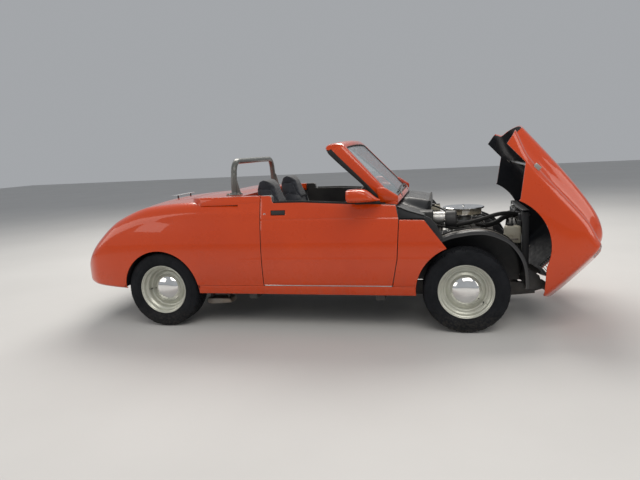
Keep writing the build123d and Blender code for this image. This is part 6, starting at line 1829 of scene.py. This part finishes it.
def bulkhead_fittings():
    """The blower and its duct, the heater hoses and box, and the wiper motor."""
    spin("blower_motor", [(897, 0), (897, 38), (902, 43), (908, 43), (910, 45), (974, 45), (976, 42),
                          (992, 42), (992, 0)], (0, -520, 862), "x", ALLOY, "chassis", 64)
    spin("blower_case", [(990, 0), (990, 56), (996, 64), (1002, 66), (1066, 66), (1074, 63), (1080, 56),
                         (1080, 0)], (0, -520, 850), "x", PLASTIC, "chassis", 96)
    for k in range(6):
        t = 2 * math.pi * k / 6
        spin(f"blower_screw_{k}", [(986, 0.2), (986, 5), (992, 5), (992, 0.2)],
             (0, -520 + 53 * math.cos(t), 850 + 53 * math.sin(t)), "x", STEEL, "chassis", 6)
    block("blower_duct", (745, 900), (-596, -444), (806, 920), PLASTIC, "chassis", 12, 4)
    tube("blower_lead", [(930, -480, 880), (920, -440, 884), (860, -400, 872), (780, -380, 860),
                         (744, -370, 860)], 5, RUBBER, "chassis")
    tube("heater_hose_a", [(746, -180, 800), (800, -185, 800), (900, -200, 790), (1050, -190, 730),
                           (1240, -150, 700), (1400, -60, 640), (1440, -40, 590)], 11, RUBBER, "chassis")
    tube("heater_hose_b", [(746, -230, 770), (820, -235, 765), (950, -250, 755), (1120, -240, 720),
                           (1300, -190, 690)], 11, RUBBER, "chassis")
    block("wiper_motor", (748, 820), (180, 260), (850, 905), PLASTIC, "chassis", 14, 4)
    block("heater_box", (746, 800), (-330, -140), (740, 880), PLASTIC, "chassis", 10, 3)


def exhausts():
    """Tube headers, down-pipes, seamed mufflers and tail pipes."""
    _, port_y, port_z = banked(1)((0, 84.3, 257.5))
    log_z = port_z - (318 - port_y)
    for side, word in SIDES:
        parts = []
        for k in range(4):
            x = 960 + 125 * k
            parts.append(tube(f"header_{word}_{k}",
                              [(x, side * port_y, port_z), (x - 4, side * (port_y + 34), port_z - 30),
                               (x - 40, side * 314, log_z + 8), (x - 90, side * 318, log_z)], 18.5, EXHAUST,
                              None, resolution=8))
            parts.append(block(f"header_flange_{word}_{k}", (x - 34, x + 34), (84.4, 92), (228, 287),
                               EXHAUST, None, 3, 2, place=banked(side)))
        parts.append(tube(f"header_log_{word}", [(1370, side * 318, log_z), (1200, side * 318, log_z),
                                                 (1000, side * 318, log_z), (930, side * 318, log_z),
                                                 (870, side * 303, log_z - 25), (840, side * 262, 300),
                                                 (800, side * 252, 240), (700, side * 245, 226),
                                                 (600, side * 240, 225)], 29, EXHAUST, None, resolution=10))
        parts.append(tube(f"pipe_{word}", [(620, side * 240, 225), (200, side * 240, 225),
                                           (-165, side * 240, 225)], 28, EXHAUST, None, resolution=10))
        parts.append(spin(f"muffler_{word}", [(-640, 26), (-634, 40), (-626, 62), (-622, 69), (-616, 70),
                                              (-612, 67), (-420, 66.5), (-416, 68), (-410, 68),
                                              (-406, 66.5), (-188, 67), (-184, 70), (-178, 69), (-172, 60),
                                              (-164, 38), (-158, 26)], (0, side * 240, 228), "x", EXHAUST,
                          None, 64))
        parts.append(tube(f"tail_pipe_{word}", [(-630, side * 240, 225), (-900, side * 240, 225),
                                                (-1020, side * 243, 250), (-1160, side * 249, 400),
                                                (-1260, side * 250, 425), (-1400, side * 250, 425),
                                                (-1500, side * 250, 400), (-1600, side * 251, 340),
                                                (-1700, side * 252, 335), (-2138, side * 260, 335)], 25.5,
                          EXHAUST, None, resolution=10, ends=False))
        parts.append(spin(f"tip_{word}", [(-2140, 20), (-2140, 28), (-2134, 29), (-2060, 28), (-2056, 26),
                                          (-2060, 22)], (0, side * 260, 335), "x", CHROME, None, 48,
                          closed=True))
        merge(f"exhaust_{word}", parts, "chassis", replaces=["exhaust"] if side == 1 else (), slot="steel")


# ---------------------------------------------------------------- cabin

SEAT_Y = 350
SEAT_FOOT = 0.3285
SEAT_LINE = ((-452, 340), (-100, 340), (-52, 400), (-34, 470), (-38, 512), (-70, 530), (-200, 508),
             (-310, 500), (-340, 560), (-372, 760), (-408, 1000), (-470, 1175), (-492, 1218), (-522, 1228),
             (-556, 1212), (-570, 1160), (-566, 1000), (-520, 700), (-482, 480))


def seat_shell(side, word):
    """The seat's rough form: a bucket with bolsters, narrower towards the headrest."""
    points, faces = prism_data("y", SEAT_LINE, -205, 205)
    y = side * SEAT_Y
    made = raw_piece(f"seat_{word}_dressed", [(x, y + across, z) for x, across, z in points], faces)
    shade(made.data, 180.0)
    shoulder = ((120, 1300), (128, 1150), (150, 1040), (196, 960), (240, 930), (400, 930), (400, 1300))
    cuts = [prism_tool("x", [(y + flip * u, w) for u, w in shoulder], -800, 100) for flip in (1, -1)]
    cuts.append(prism_tool("y", ((-330, 512), (-362, 600), (-392, 800), (-425, 1000), (-300, 1000),
                                 (-60, 620), (-60, 512)), y - 118, y + 118))
    cuts.append(prism_tool("y", ((-300, 488), (-60, 512), (-60, 640), (-300, 640)), y - 118, y + 118))
    carve(made, cuts)
    return made


def even_grid(made, voxel):
    """Makes a form again in even faces."""
    remesh = made.modifiers.new("remesh", "REMESH")
    remesh.mode = "VOXEL"
    remesh.voxel_size = voxel * MM
    freeze(made)


def swell(made, frames=20, cap=14.0, voxel=6.0, pressure=4.0):
    """Puffs a form up as cloth over padding, then settles it as a plain mesh."""
    even_grid(made, voxel)
    start = np.array([vertex.co for vertex in made.data.vertices])
    cloth = made.modifiers.new("cloth", "CLOTH")
    cloth.settings.quality = 5
    cloth.settings.mass = 0.3
    cloth.settings.use_pressure = True
    cloth.settings.uniform_pressure_force = pressure
    cloth.settings.effector_weights.gravity = 0.0
    cloth.settings.tension_stiffness = 20.0
    cloth.settings.compression_stiffness = 20.0
    cloth.settings.bending_stiffness = 0.6
    cloth.point_cache.frame_start = 1
    cloth.point_cache.frame_end = frames
    for number in range(1, frames + 1):
        bpy.context.scene.frame_set(number)
    freeze(made)
    bpy.context.scene.frame_set(1)
    moved = np.array([vertex.co for vertex in made.data.vertices]) - start
    length = np.linalg.norm(moved, axis=1)
    share = np.minimum(1.0, cap * MM / np.maximum(length, 1e-9))
    final = start + moved * share[:, None]
    final[:, 2] = np.maximum(final[:, 2], SEAT_FOOT)
    made.data.vertices.foreach_set("co", final.ravel())
    made.data.update()


def seats():
    """Padded bucket seats in black cloth, with piped edges, sewn channels and a hinge cover."""
    for side, word in SIDES:
        made = seat_shell(side, word)
        swell(made, cap=22.0)
        soft = made.modifiers.new("relax", "SMOOTH")
        soft.factor = 0.6
        soft.iterations = 6
        freeze(made)
        sew(made, side)
        smooth = made.modifiers.new("smooth", "SUBSURF")
        smooth.levels = smooth.render_levels = 1
        freeze(made)
        lighter = made.modifiers.new("lighter", "DECIMATE")
        lighter.ratio = 0.25
        freeze(made)
        shade(made.data, 60.0)
        made.data.materials.clear()
        made.data.materials.append(CLOTH)
        made.data.materials.append(CLOTH_PANEL)
        y = side * SEAT_Y
        for face in made.data.polygons:
            spot = face.center / MM
            inside = abs(spot.y - y) < 108
            back = 560 < spot.z < 1150 and spot.x > -506 and face.normal.x > 0.5
            base = spot.z > 440 and spot.x > -320 and face.normal.z > 0.6
            face.material_index = 1 if inside and (back or base) else 0
        dress(made, "chassis", "seat_cloth", [f"seat_{word}"])
        for edge in (-1, 1):
            block(f"seat_runner_{word}_{edge}", (-440, -90), sorted((y + edge * 150, y + edge * 172)),
                  (328.3, 342), STEEL, "chassis", 3, 2)
            spin(f"seat_hinge_{word}_{edge}", [(edge * 196, 0), (edge * 196, 34), (edge * 210, 33),
                                               (edge * 214, 26), (edge * 215, 0.4)], (-395, y, 470), "y",
                 PLASTIC, "chassis", 40)
        tube(f"seat_lever_{word}", [(-395, y - side * 214, 470), (-360, y - side * 219, 480),
                                    (-320, y - side * 219, 500)], 6, CHROME, "chassis")


def sew(made, side):
    """Presses the seams and the sewn channels of a seat in."""
    y0 = side * SEAT_Y
    channels = (-72, -36, 0, 36, 72)
    for vertex, normal in [(v, v.normal.copy()) for v in made.data.vertices]:
        x, y, z = (value / MM for value in vertex.co)
        y -= y0
        deep = 0.0
        front = normal.x > 0.35 and 540 < z < 1130
        top = normal.z > 0.5 and z < 560 and x > -330
        if (front or top) and abs(y) < 112:
            near = min(abs(y - c) for c in channels)
            deep += 4.0 * math.exp(-((near / 5.0) ** 2))
        if front or top:
            deep += 7.0 * math.exp(-(((abs(y) - 112) / 6.0) ** 2))
        if front:
            for height in (700, 860, 1010):
                deep += 3.0 * math.exp(-(((z - height) / 6.0) ** 2)) * (abs(y) < 112)
        if top:
            deep += 3.0 * math.exp(-(((x + 180) / 6.0) ** 2)) * (abs(y) < 112)
        if abs(y) > 120:
            deep += 3.0 * math.exp(-(((abs(y) - 188) / 5.0) ** 2)) * (abs(normal.y) < 0.75)
        vertex.co = vertex.co - normal * deep * MM
    made.data.update()


def dash():
    """A padded dash with an instrument hood, dials, vents, a glove box and a centre stack."""
    parts = [prism("dash_pad", "y", ((470, 860), (448, 880), (452, 962), (500, 984), (585, 972), (596, 900),
                                     (596, 850)), -688, 688, VINYL, None, 12, 4),
             prism("dash_knee", "y", ((474, 800), (462, 862), (600, 862), (636, 835), (636, 822)), -680,
                   680, VINYL, None, 8, 3),
             prism("dash_hood", "y", ((446, 940), (412, 1002), (438, 1013), (558, 989), (560, 940)), 165,
                   535, VINYL, None, 10, 4),
             prism("stack", "y", ((464, 840), (560, 840), (560, 501), (436, 501)), -105, 105, VINYL, None,
                   10, 4)]
    merge("dash_dressed", parts, "chassis", replaces=["dashboard"], slot="dash_vinyl")
    block("dial_panel", (436, 450), (185, 515), (872, 975), SATIN_BLACK, "chassis", 4, 3)
    for name, y, z, radius in (("speed", 292, 925, 44), ("revs", 408, 925, 44), ("fuel", 214, 945, 20),
                               ("heat", 214, 900, 20), ("oil", 486, 945, 20), ("volts", 486, 900, 20)):
        dial(name, y, z, radius)
    block("glove_box", (441, 452), (-600, -220), (868, 948), VINYL, "chassis", 5, 4)
    spin("glove_lock", [(-8, 0), (-8, 10), (2, 9), (3, 0.4)], (441, -410, 930), "x", CHROME, "chassis", 24)
    for y in (-640, -160, 150, 620):
        block(f"vent_frame_{y + 640}", (438, 452), (y - 34, y + 34), (905, 950), PLASTIC, "chassis", 4, 3)
        for k in range(4):
            block(f"vent_slat_{y + 640}_{k}", (433, 446), (y - 29, y + 29), (910 + 10 * k, 913 + 10 * k),
                  SATIN_BLACK, "chassis", 1, 2)
    block("radio", (428, 446), (-88, 88), (700, 752), SATIN_BLACK, "chassis", 4, 3)
    for y in (-66, 66):
        spin(f"radio_knob_{y + 66}", [(-18, 0), (-18, 11), (-3, 13), (0, 13)], (428, y, 726), "x", POLISHED,
             "chassis", 32)
    block("heat_panel", (430, 446), (-88, 88), (780, 826), PLASTIC, "chassis", 4, 3)
    for k, y in enumerate((-50, 0, 50)):
        spin(f"heat_knob_{k}", [(-16, 0), (-16, 12), (-2, 15), (0, 15)], (430, y, 803), "x", PLASTIC,
             "chassis", 32)
    block("ash_tray", (432, 448), (-60, 60), (620, 660), PLASTIC, "chassis", 4, 3)


def dial(name, y, z, radius):
    """A round instrument with a chrome ring, a dark face, marks and a needle."""
    spin(f"dial_ring_{name}", [(-8, radius - 3), (-10, radius), (-8, radius + 4), (0, radius + 4),
                               (0, radius - 3)], (438, y, z), "x", CHROME, "chassis", 48, closed=True)
    spin(f"dial_face_{name}", [(-3, 0), (-3, radius - 2), (0, radius - 2), (0, 0)], (438, y, z), "x",
         SATIN_BLACK, "chassis", 48)
    marks = []
    steps = 12 if radius > 30 else 6
    for k in range(steps + 1):
        t = math.radians(225 - 270 * k / steps)
        inner, outer = radius * 0.76, radius * 0.92
        dy, dz = math.cos(t), math.sin(t)
        corners = []
        for reach, wide in ((inner, -1), (inner, 1), (outer, 1), (outer, -1)):
            corners.append((y + reach * dy - wide * dz * 0.9, z + reach * dz + wide * dy * 0.9))
        marks.append(prism(f"mark_{name}_{k}", "x", corners, 433.6, 435, DIAL_WHITE, None, 0))
    t = math.radians(200)
    dy, dz = math.cos(t), math.sin(t)
    corners = [(y - dz * 1.6 - dy * 8, z + dy * 1.6 - dz * 8), (y + dz * 1.6 - dy * 8, z - dy * 1.6 - dz * 8),
               (y + dy * radius * 0.8, z + dz * radius * 0.8)]
    marks.append(prism(f"needle_{name}", "x", corners, 432, 433.4, NEEDLE, None, 0))
    merge(f"dial_marks_{name}", marks, "chassis")


def steering():
    """A wheel with a gripped rim, three drilled spokes and a horn push, and its shroud and stalks."""
    rake = math.radians(24.0)

    def place(point):
        """From the wheel's plane: right, up, and towards the driver."""
        u, v, w = point
        return (150 - w * math.cos(rake) + v * math.sin(rake), 350 - u,
                900 + w * math.sin(rake) + v * math.cos(rake))

    rows = []
    for t in turns(120):
        row = []
        for a in turns(16):
            thick = 13.0 + 0.7 * math.cos(10 * t) * (math.cos(a) < -0.2)
            reach = 175 + thick * math.cos(a)
            row.append(place((reach * math.cos(t), reach * math.sin(t), thick * 0.95 * math.sin(a))))
        rows.append(row)
    points, faces = grid(rows, close_rows=True, close_columns=True)
    parts = [put("wheel_grip", points, faces, VINYL, None, angle=60.0)]
    for angle in (-90, 30, 150):
        t = math.radians(angle)
        ca, sa = math.cos(t), math.sin(t)

        def spoke_place(point, ca=ca, sa=sa):
            along, across, out = point
            return place((along * ca - across * sa, along * sa + across * ca, out))

        spoke = prism(f"spoke_{angle}", "z", ((30, -16), (168, -11), (168, 11), (30, 16)), -11, -6,
                      POLISHED, None, 0, place=spoke_place)
        parts.append(bevel(spoke, 1.2, 2))
        for reach in (62, 92, 122):
            hole = spin(f"spoke_hole_{angle}_{reach}", [(-6.4, 5.4 - reach / 60), (-5.2, 6.4 - reach / 60),
                                                        (-5.2, 0.2)], (0, 0, 0), "z", RUBBER, None, 24,
                        place=lambda p, r=reach, f=spoke_place: f((p[0] + r, p[1], p[2])))
            parts.append(hole)
    boss = spin("wheel_boss", [(-33, 0.2), (-33, 38), (-20, 40), (-4, 40), (0, 37), (1, 26)], (0, 0, 0),
                "z", VINYL, None, 48, place=place)
    push = spin("horn_push", [(-2, 27), (2, 26), (4.5, 18), (5.5, 0.2)], (0, 0, 0), "z", SATIN_BLACK, None,
                48, place=place)
    ring = spin("horn_ring", [(0, 26), (2.4, 27.5), (0, 29.5), (-2, 29.5), (-2, 26)], (0, 0, 0), "z",
                CHROME, None, 48, closed=True, place=place)
    merge("steering_wheel_dressed", parts + [boss, push, ring], "steer", replaces=["steering_wheel"],
          slot="dash_vinyl")
    column = [(-560, 0.2), (-560, 24), (-215, 25), (-212, 36), (-205, 41), (-64, 41), (-60, 36), (-37, 25),
              (-37, 0.2)]
    spin("column_tube", column, (0, 0, 0), "z", PLASTIC, "chassis", 48, place=place,
         replaces=["steering_column"], slot="black_plastic")
    for name, flip in (("signal", 1), ("wiper", -1)):
        tube(f"stalk_{name}", [place((flip * 36, 0, -90)), place((flip * 80, 4, -84)),
                               place((flip * 128, 8, -72))], 5.5, PLASTIC, "chassis")
    spin("ignition", [(-20, 0.2), (-20, 12), (16, 12), (18, 8), (18, 0.2)], (310, 300, 818), "y", STEEL,
         "chassis", 24)


def cabin_fittings():
    """Carpets, console, gear lever, handbrake, pedals, sill trims and the wall behind the seats."""
    for side, word in SIDES:
        low, high = flank(side, 134, 745)
        block(f"carpet_{word}", (-640, 560), (low, high), (328.3, 338), CARPET, "chassis", 4, 2)
        block(f"floor_mat_{word}", (0, 480), flank(side, 200, 640), (337, 344), RUBBER, "chassis", 3, 3)
        ribs = [block(f"mat_rib_{word}_{k}", (30 + 40 * k, 44 + 40 * k), flank(side, 230, 610), (343, 347),
                      RUBBER, None, 1.5, 2) for k in range(11)]
        merge(f"mat_ribs_{word}", ribs, "chassis")
        block(f"sill_trim_{word}", (-440, 590), flank(side, 752, 832), (374.6, 382), POLISHED, "chassis", 3,
              2)
        prism(f"toe_board_{word}", "y", ((560, 338), (560, 345), (722, 560), (727, 560), (727, 338)), low,
              high, CARPET, "chassis", 3)
        block(f"rear_trim_{word}", (-664, -650), flank(side, 128, 690), (340, 1000), VINYL, "chassis", 5, 3)
        spin(f"belt_reel_{word}", [(-16, 0.2), (-16, 32), (16, 32), (20, 20), (20, 0.2)],
             (-600, side * 665, 560), "x", PLASTIC, "chassis", 32)
        strip(f"seat_belt_{word}", [(-600, side * 668, 560), (-628, side * 640, 760),
                                    (-632, side * 590, 940), (-610, side * 540, 1010),
                                    (-590, side * 500, 1000)], 46, 2.4, CLOTH, "chassis", up=(1, 0, 0))
    block("rear_trim_top", (-700, -646), (-690, 690), (998, 1034), VINYL, "chassis", 12, 4)
    prism("console", "x", ((-138, 330), (-132, 480), (-118, 512), (118, 512), (132, 480), (138, 330)), -640,
          440, CARPET, "chassis", 10, 4)
    block("console_top", (-260, 330), (-84, 84), (508, 530), VINYL, "chassis", 9, 4)
    spin("shift_boot", [(528, 62), (534, 60), (548, 46), (556, 40), (562, 42), (576, 30), (584, 24),
                        (592, 24), (606, 14), (612, 8)], (170, 0, 0), "z", VINYL, "chassis", 48, angle=60.0)
    tube("shift_rod", [(170, 0, 600), (160, 0, 660), (140, 0, 716)], 6, CHROME, "chassis")
    spin("shift_knob", [(-24, 6), (-20, 13), (-8, 21), (4, 23), (15, 20), (22, 11), (24, 0.3)],
         (138, 0, 732), "z", SATIN_BLACK, "chassis", 48, angle=60.0)
    tube("hand_brake", [(-60, 40, 528), (-90, 40, 560), (-180, 40, 590), (-290, 40, 622)], 9, SATIN_BLACK,
         "chassis")
    tube("hand_brake_grip", [(-200, 40, 597), (-290, 40, 622)], 14, VINYL, "chassis", smooth=False,
         resolution=8)
    for name, y, x, wide in (("clutch", 480, 600, 30), ("brake", 380, 600, 34), ("throttle", 250, 610, 22)):
        block(f"pedal_{name}", (x - 6, x + 4), (y - wide, y + wide), (430, 490), RUBBER, "chassis", 4, 3)
        for k in range(4):
            block(f"pedal_rib_{name}_{k}", (x - 10, x - 4), (y - wide + 4, y + wide - 4),
                  (437 + 13 * k, 442 + 13 * k), RUBBER, "chassis", 1.5, 2)
        tube(f"pedal_arm_{name}", [(x, y, 470), (x + 30, y, 560), (x + 50, y, 700), (x + 40, y, 800)], 7,
             STEEL, "chassis")


# ---------------------------------------------------------------- scuttle, lamps and repainting

def scuttle():
    """The black cowl: a domed top with louvres and a bead, lower shoulders, and the firewall's pads."""
    crown = ((600, 905), (600, 990), (635, 1012), (700, 1016), (790, 1001), (880, 980), (880, 905))
    run_out = ((602, 905), (602, 985), (640, 977), (700, 952), (770, 929), (838, 909), (846, 905))
    rows = []
    for k in range(61):
        y = -430 + 860 * k / 60
        share = ease((abs(y) - 318) / 110)
        rows.append([(a + (c - a) * share, y, b + (d - b) * share) for (a, b), (c, d) in zip(crown, run_out)])
    points, faces = grid(rows, close_columns=True, caps=True)
    centre = put("cowl_centre", points, faces, COWL_GREY, None, angle=40.0)
    bevel(centre, 7.0, 3, 24.0)
    slots = []
    for side in (1, -1):
        for k in range(9):
            x = 672 + 18 * k
            slots.append(prism_tool("y", ((x, 1030), (x + 3, 990), (x + 9, 990), (x + 6, 1030)),
                                    *flank(side, 60, 305)))
    carve(centre, slots)
    shade(centre.data, 35.0)
    dress(centre, "chassis", "cowl_black", ["cowl"])
    louvres = []
    for side in (1, -1):
        for k in range(9):
            x = 672 + 18 * k
            top = 1016 - (x - 700) * 0.2 if x > 700 else 1016
            louvres.append(prism(f"louvre_{side}_{k}", "y",
                                 ((x - 1, top - 2), (x + 2, top + 4), (x + 12, top - 3), (x + 10, top - 6)),
                                 *flank(side, 58, 307), COWL_GREY, None, 1, 2))
    merge("cowl_louvres", louvres, "chassis")
    for side, word in SIDES:
        prism(f"cowl_shoulder_{word}", "y", ((602, 882), (602, 986), (650, 976), (700, 951), (838, 908),
                                             (846, 882)), *flank(side, 428, 726), COWL_GREY, "chassis", 9,
              4)
        line = [(606, side * 726, 984), (650, side * 726, 974), (700, side * 726, 949),
                (770, side * 726, 927), (838, side * 726, 906)]
        tube(f"cowl_bead_{word}", line, 5, RUBBER, "chassis")
        prism(f"wing_panel_{word}", "y", ((746, 380), (746, 906), (836, 906), (884, 884), (931, 821),
                                          (968, 738), (956, 704), (862, 640), (806, 560), (780, 420),
                                          (768, 380)), *flank(side, 700, 712), SATIN_BLACK, "chassis", 3)
        block(f"wing_stay_{word}", (760, 790), flank(side, 640, 702), (820, 842), SATIN_BLACK, "chassis", 4)
        for z in (480, 620, 760, 870):
            spin(f"wing_bolt_{word}_{z}", [(side * -2, 0.2), (side * -2, 8), (side * 5, 7),
                                           (side * 6, 0.2)], (775, side * 712, z), "y", STEEL, "chassis", 6)
    strip("hood_seal", [(868, y, 985 - abs(y) * 0.004) for y in range(-420, 421, 40)], 14, 9, RUBBER,
          "chassis")
    for y in (-350, 0, 350):
        block(f"bulkhead_pad_{y + 350}", (745.4, 752), (y - 120, y + 120), (560, 720), FLOOR_BLACK,
              "chassis", 3)


def tail_lights():
    """Red lenses flush in the tail, ringed in chrome."""
    for side, word in SIDES:
        for y in TAIL_LAMP_YS:
            lens = skin(f"tail_lens_{word}_{y}", rear_rows(), [LENS_RED, LENS_RED], 14.0, cap_start=True)
            ring = twin(lens)
            middle = (side * y, TAIL_LAMP_Z)
            carve(lens, [prism_tool("x", circle(*middle, 37.5), -2230, -2040)], "INTERSECT")
            shade(lens.data, 40.0)
            dress(lens, "chassis", "lens_red", ["tail_lamps"] if (side, y) == (1, TAIL_LAMP_YS[0]) else ())
            ring.name = f"tail_ring_{word}_{y}"
            carve(ring, [prism_tool("x", circle(*middle, 44.2), -2230, -2040)], "INTERSECT")
            carve(ring, [prism_tool("x", circle(*middle, 38.0), -2330, -1940)])
            ring.data.materials.clear()
            ring.data.materials.append(CHROME)
            for vertex in ring.data.vertices:
                vertex.co.x -= 0.003
            round_edges(ring, 1.2, 2)
            shade(ring.data, 40.0)
            dress(ring, "chassis")


def repaint():
    """Gives every carried-over CAD node its own worn material in place of the plain ones."""
    looks = {"body_orange": PAINT, "frame_black": FRAME_BLACK, "floor_black": FLOOR_BLACK,
             "cowl_black": COWL_GREY, "hoop_grey": HOOP_GREY, "rubber_black": RUBBER,
             "wheel_silver": WHEEL_SILVER, "cast_grey": CAST, "alloy": ALLOY, "steel": STEEL,
             "chrome": CHROME, "glass_tint": GLASS_TINT_AND_PAINTED_REFLECTION, "lens_clear": LENS, "lens_red": LENS_RED,
             "black_plastic": PLASTIC, "tank_plastic": TANK, "seat_cloth": CLOTH, "dash_vinyl": VINYL}
    for node in NODES.values():
        for place in node.material_slots:
            for key, material in looks.items():
                if place.material and key in place.material.name:
                    place.material = material
                    break


# ---------------------------------------------------------------- stage, light and camera

def stage():
    """A pale floor, the sky and four soft lights."""
    bpy.ops.mesh.primitive_plane_add(size=60.0, location=(0, 0, -0.0005))
    floor = bpy.context.object
    floor.name = "floor"
    floor.data.materials.append(finish_surface("floor_pale", (0.55, 0.547, 0.54), (0.52, 0.517, 0.51),
                                               rough=(0.75, 0.85), relief=(0.02, 0.0005), patch=0.6))
    world = bpy.data.worlds.new("sky")
    bpy.context.scene.world = world
    world.use_nodes = True
    sky = world.node_tree.nodes["Background"]
    sky.inputs["Color"].default_value = (0.86, 0.89, 0.93, 1.0)
    sky.inputs["Strength"].default_value = 0.43
    for name, energy, size, spot, aim in (
            ("key", 315.0, (7.0, 4.0), (2.5, -6.0, 7.0), (0.2, 0, 0.5)),
            ("fill", 128.0, (8.0, 3.0), (-7.0, -4.0, 3.2), (-0.4, 0, 0.6)),
            ("back", 760.0, (8.0, 4.0), (-1.0, 5.0, 7.0), (0, 0, 0.7)),
            ("nose", 90.0, (4.0, 3.0), (7.5, -1.5, 3.0), (1.2, 0, 0.7))):
        light = bpy.data.lights.new(name, "AREA")
        light.shape = "RECTANGLE"
        light.size, light.size_y = size
        light.energy = energy
        light.color = (1.0, 0.955, 0.89)
        lamp = add(name, light)
        lamp.location = spot
        lamp.rotation_euler = (Vector(aim) - Vector(spot)).to_track_quat("-Z", "Y").to_euler()


def camera():
    """The photograph's own viewpoint."""
    yaw, pitch, roll = (math.radians(value) for value in (-13.47, 9.52, -2.95))
    ahead = Vector((math.sin(yaw) * math.cos(pitch), math.cos(yaw) * math.cos(pitch), -math.sin(pitch)))
    level = ahead.cross(Vector((0, 0, 1))).normalized()
    above = level.cross(ahead)
    right = level * math.cos(roll) + above * math.sin(roll)
    up = right.cross(ahead)
    eye = bpy.data.cameras.new("camera")
    eye.sensor_width = 36.0
    eye.lens = 29.53
    made = add("camera", eye)
    place = Vector((0.980, -4.761, 1.424))
    made.matrix_world = Matrix([(*row, at) for row, at in zip(zip(right, up, -ahead), place)] +
                               [(0, 0, 0, 1)])
    bpy.context.scene.camera = made


rear_shell()
lid_fittings()
rear_deck()
quarter_posts()
doors()
lower_sides()
front_shell()
clip_fittings()
wheels()
windshield()
roll_hoop()
mirrors()
wheel_houses()
inner_arches()
cooling()
expansion_tank()
engine()
intake()
engine_nose()
servo()
bulkhead_fittings()
exhausts()
seats()
dash()
steering()
cabin_fittings()
scuttle()
tail_lights()
repaint()
stage()
camera()
bpy.context.scene.view_settings.view_transform = "Standard"
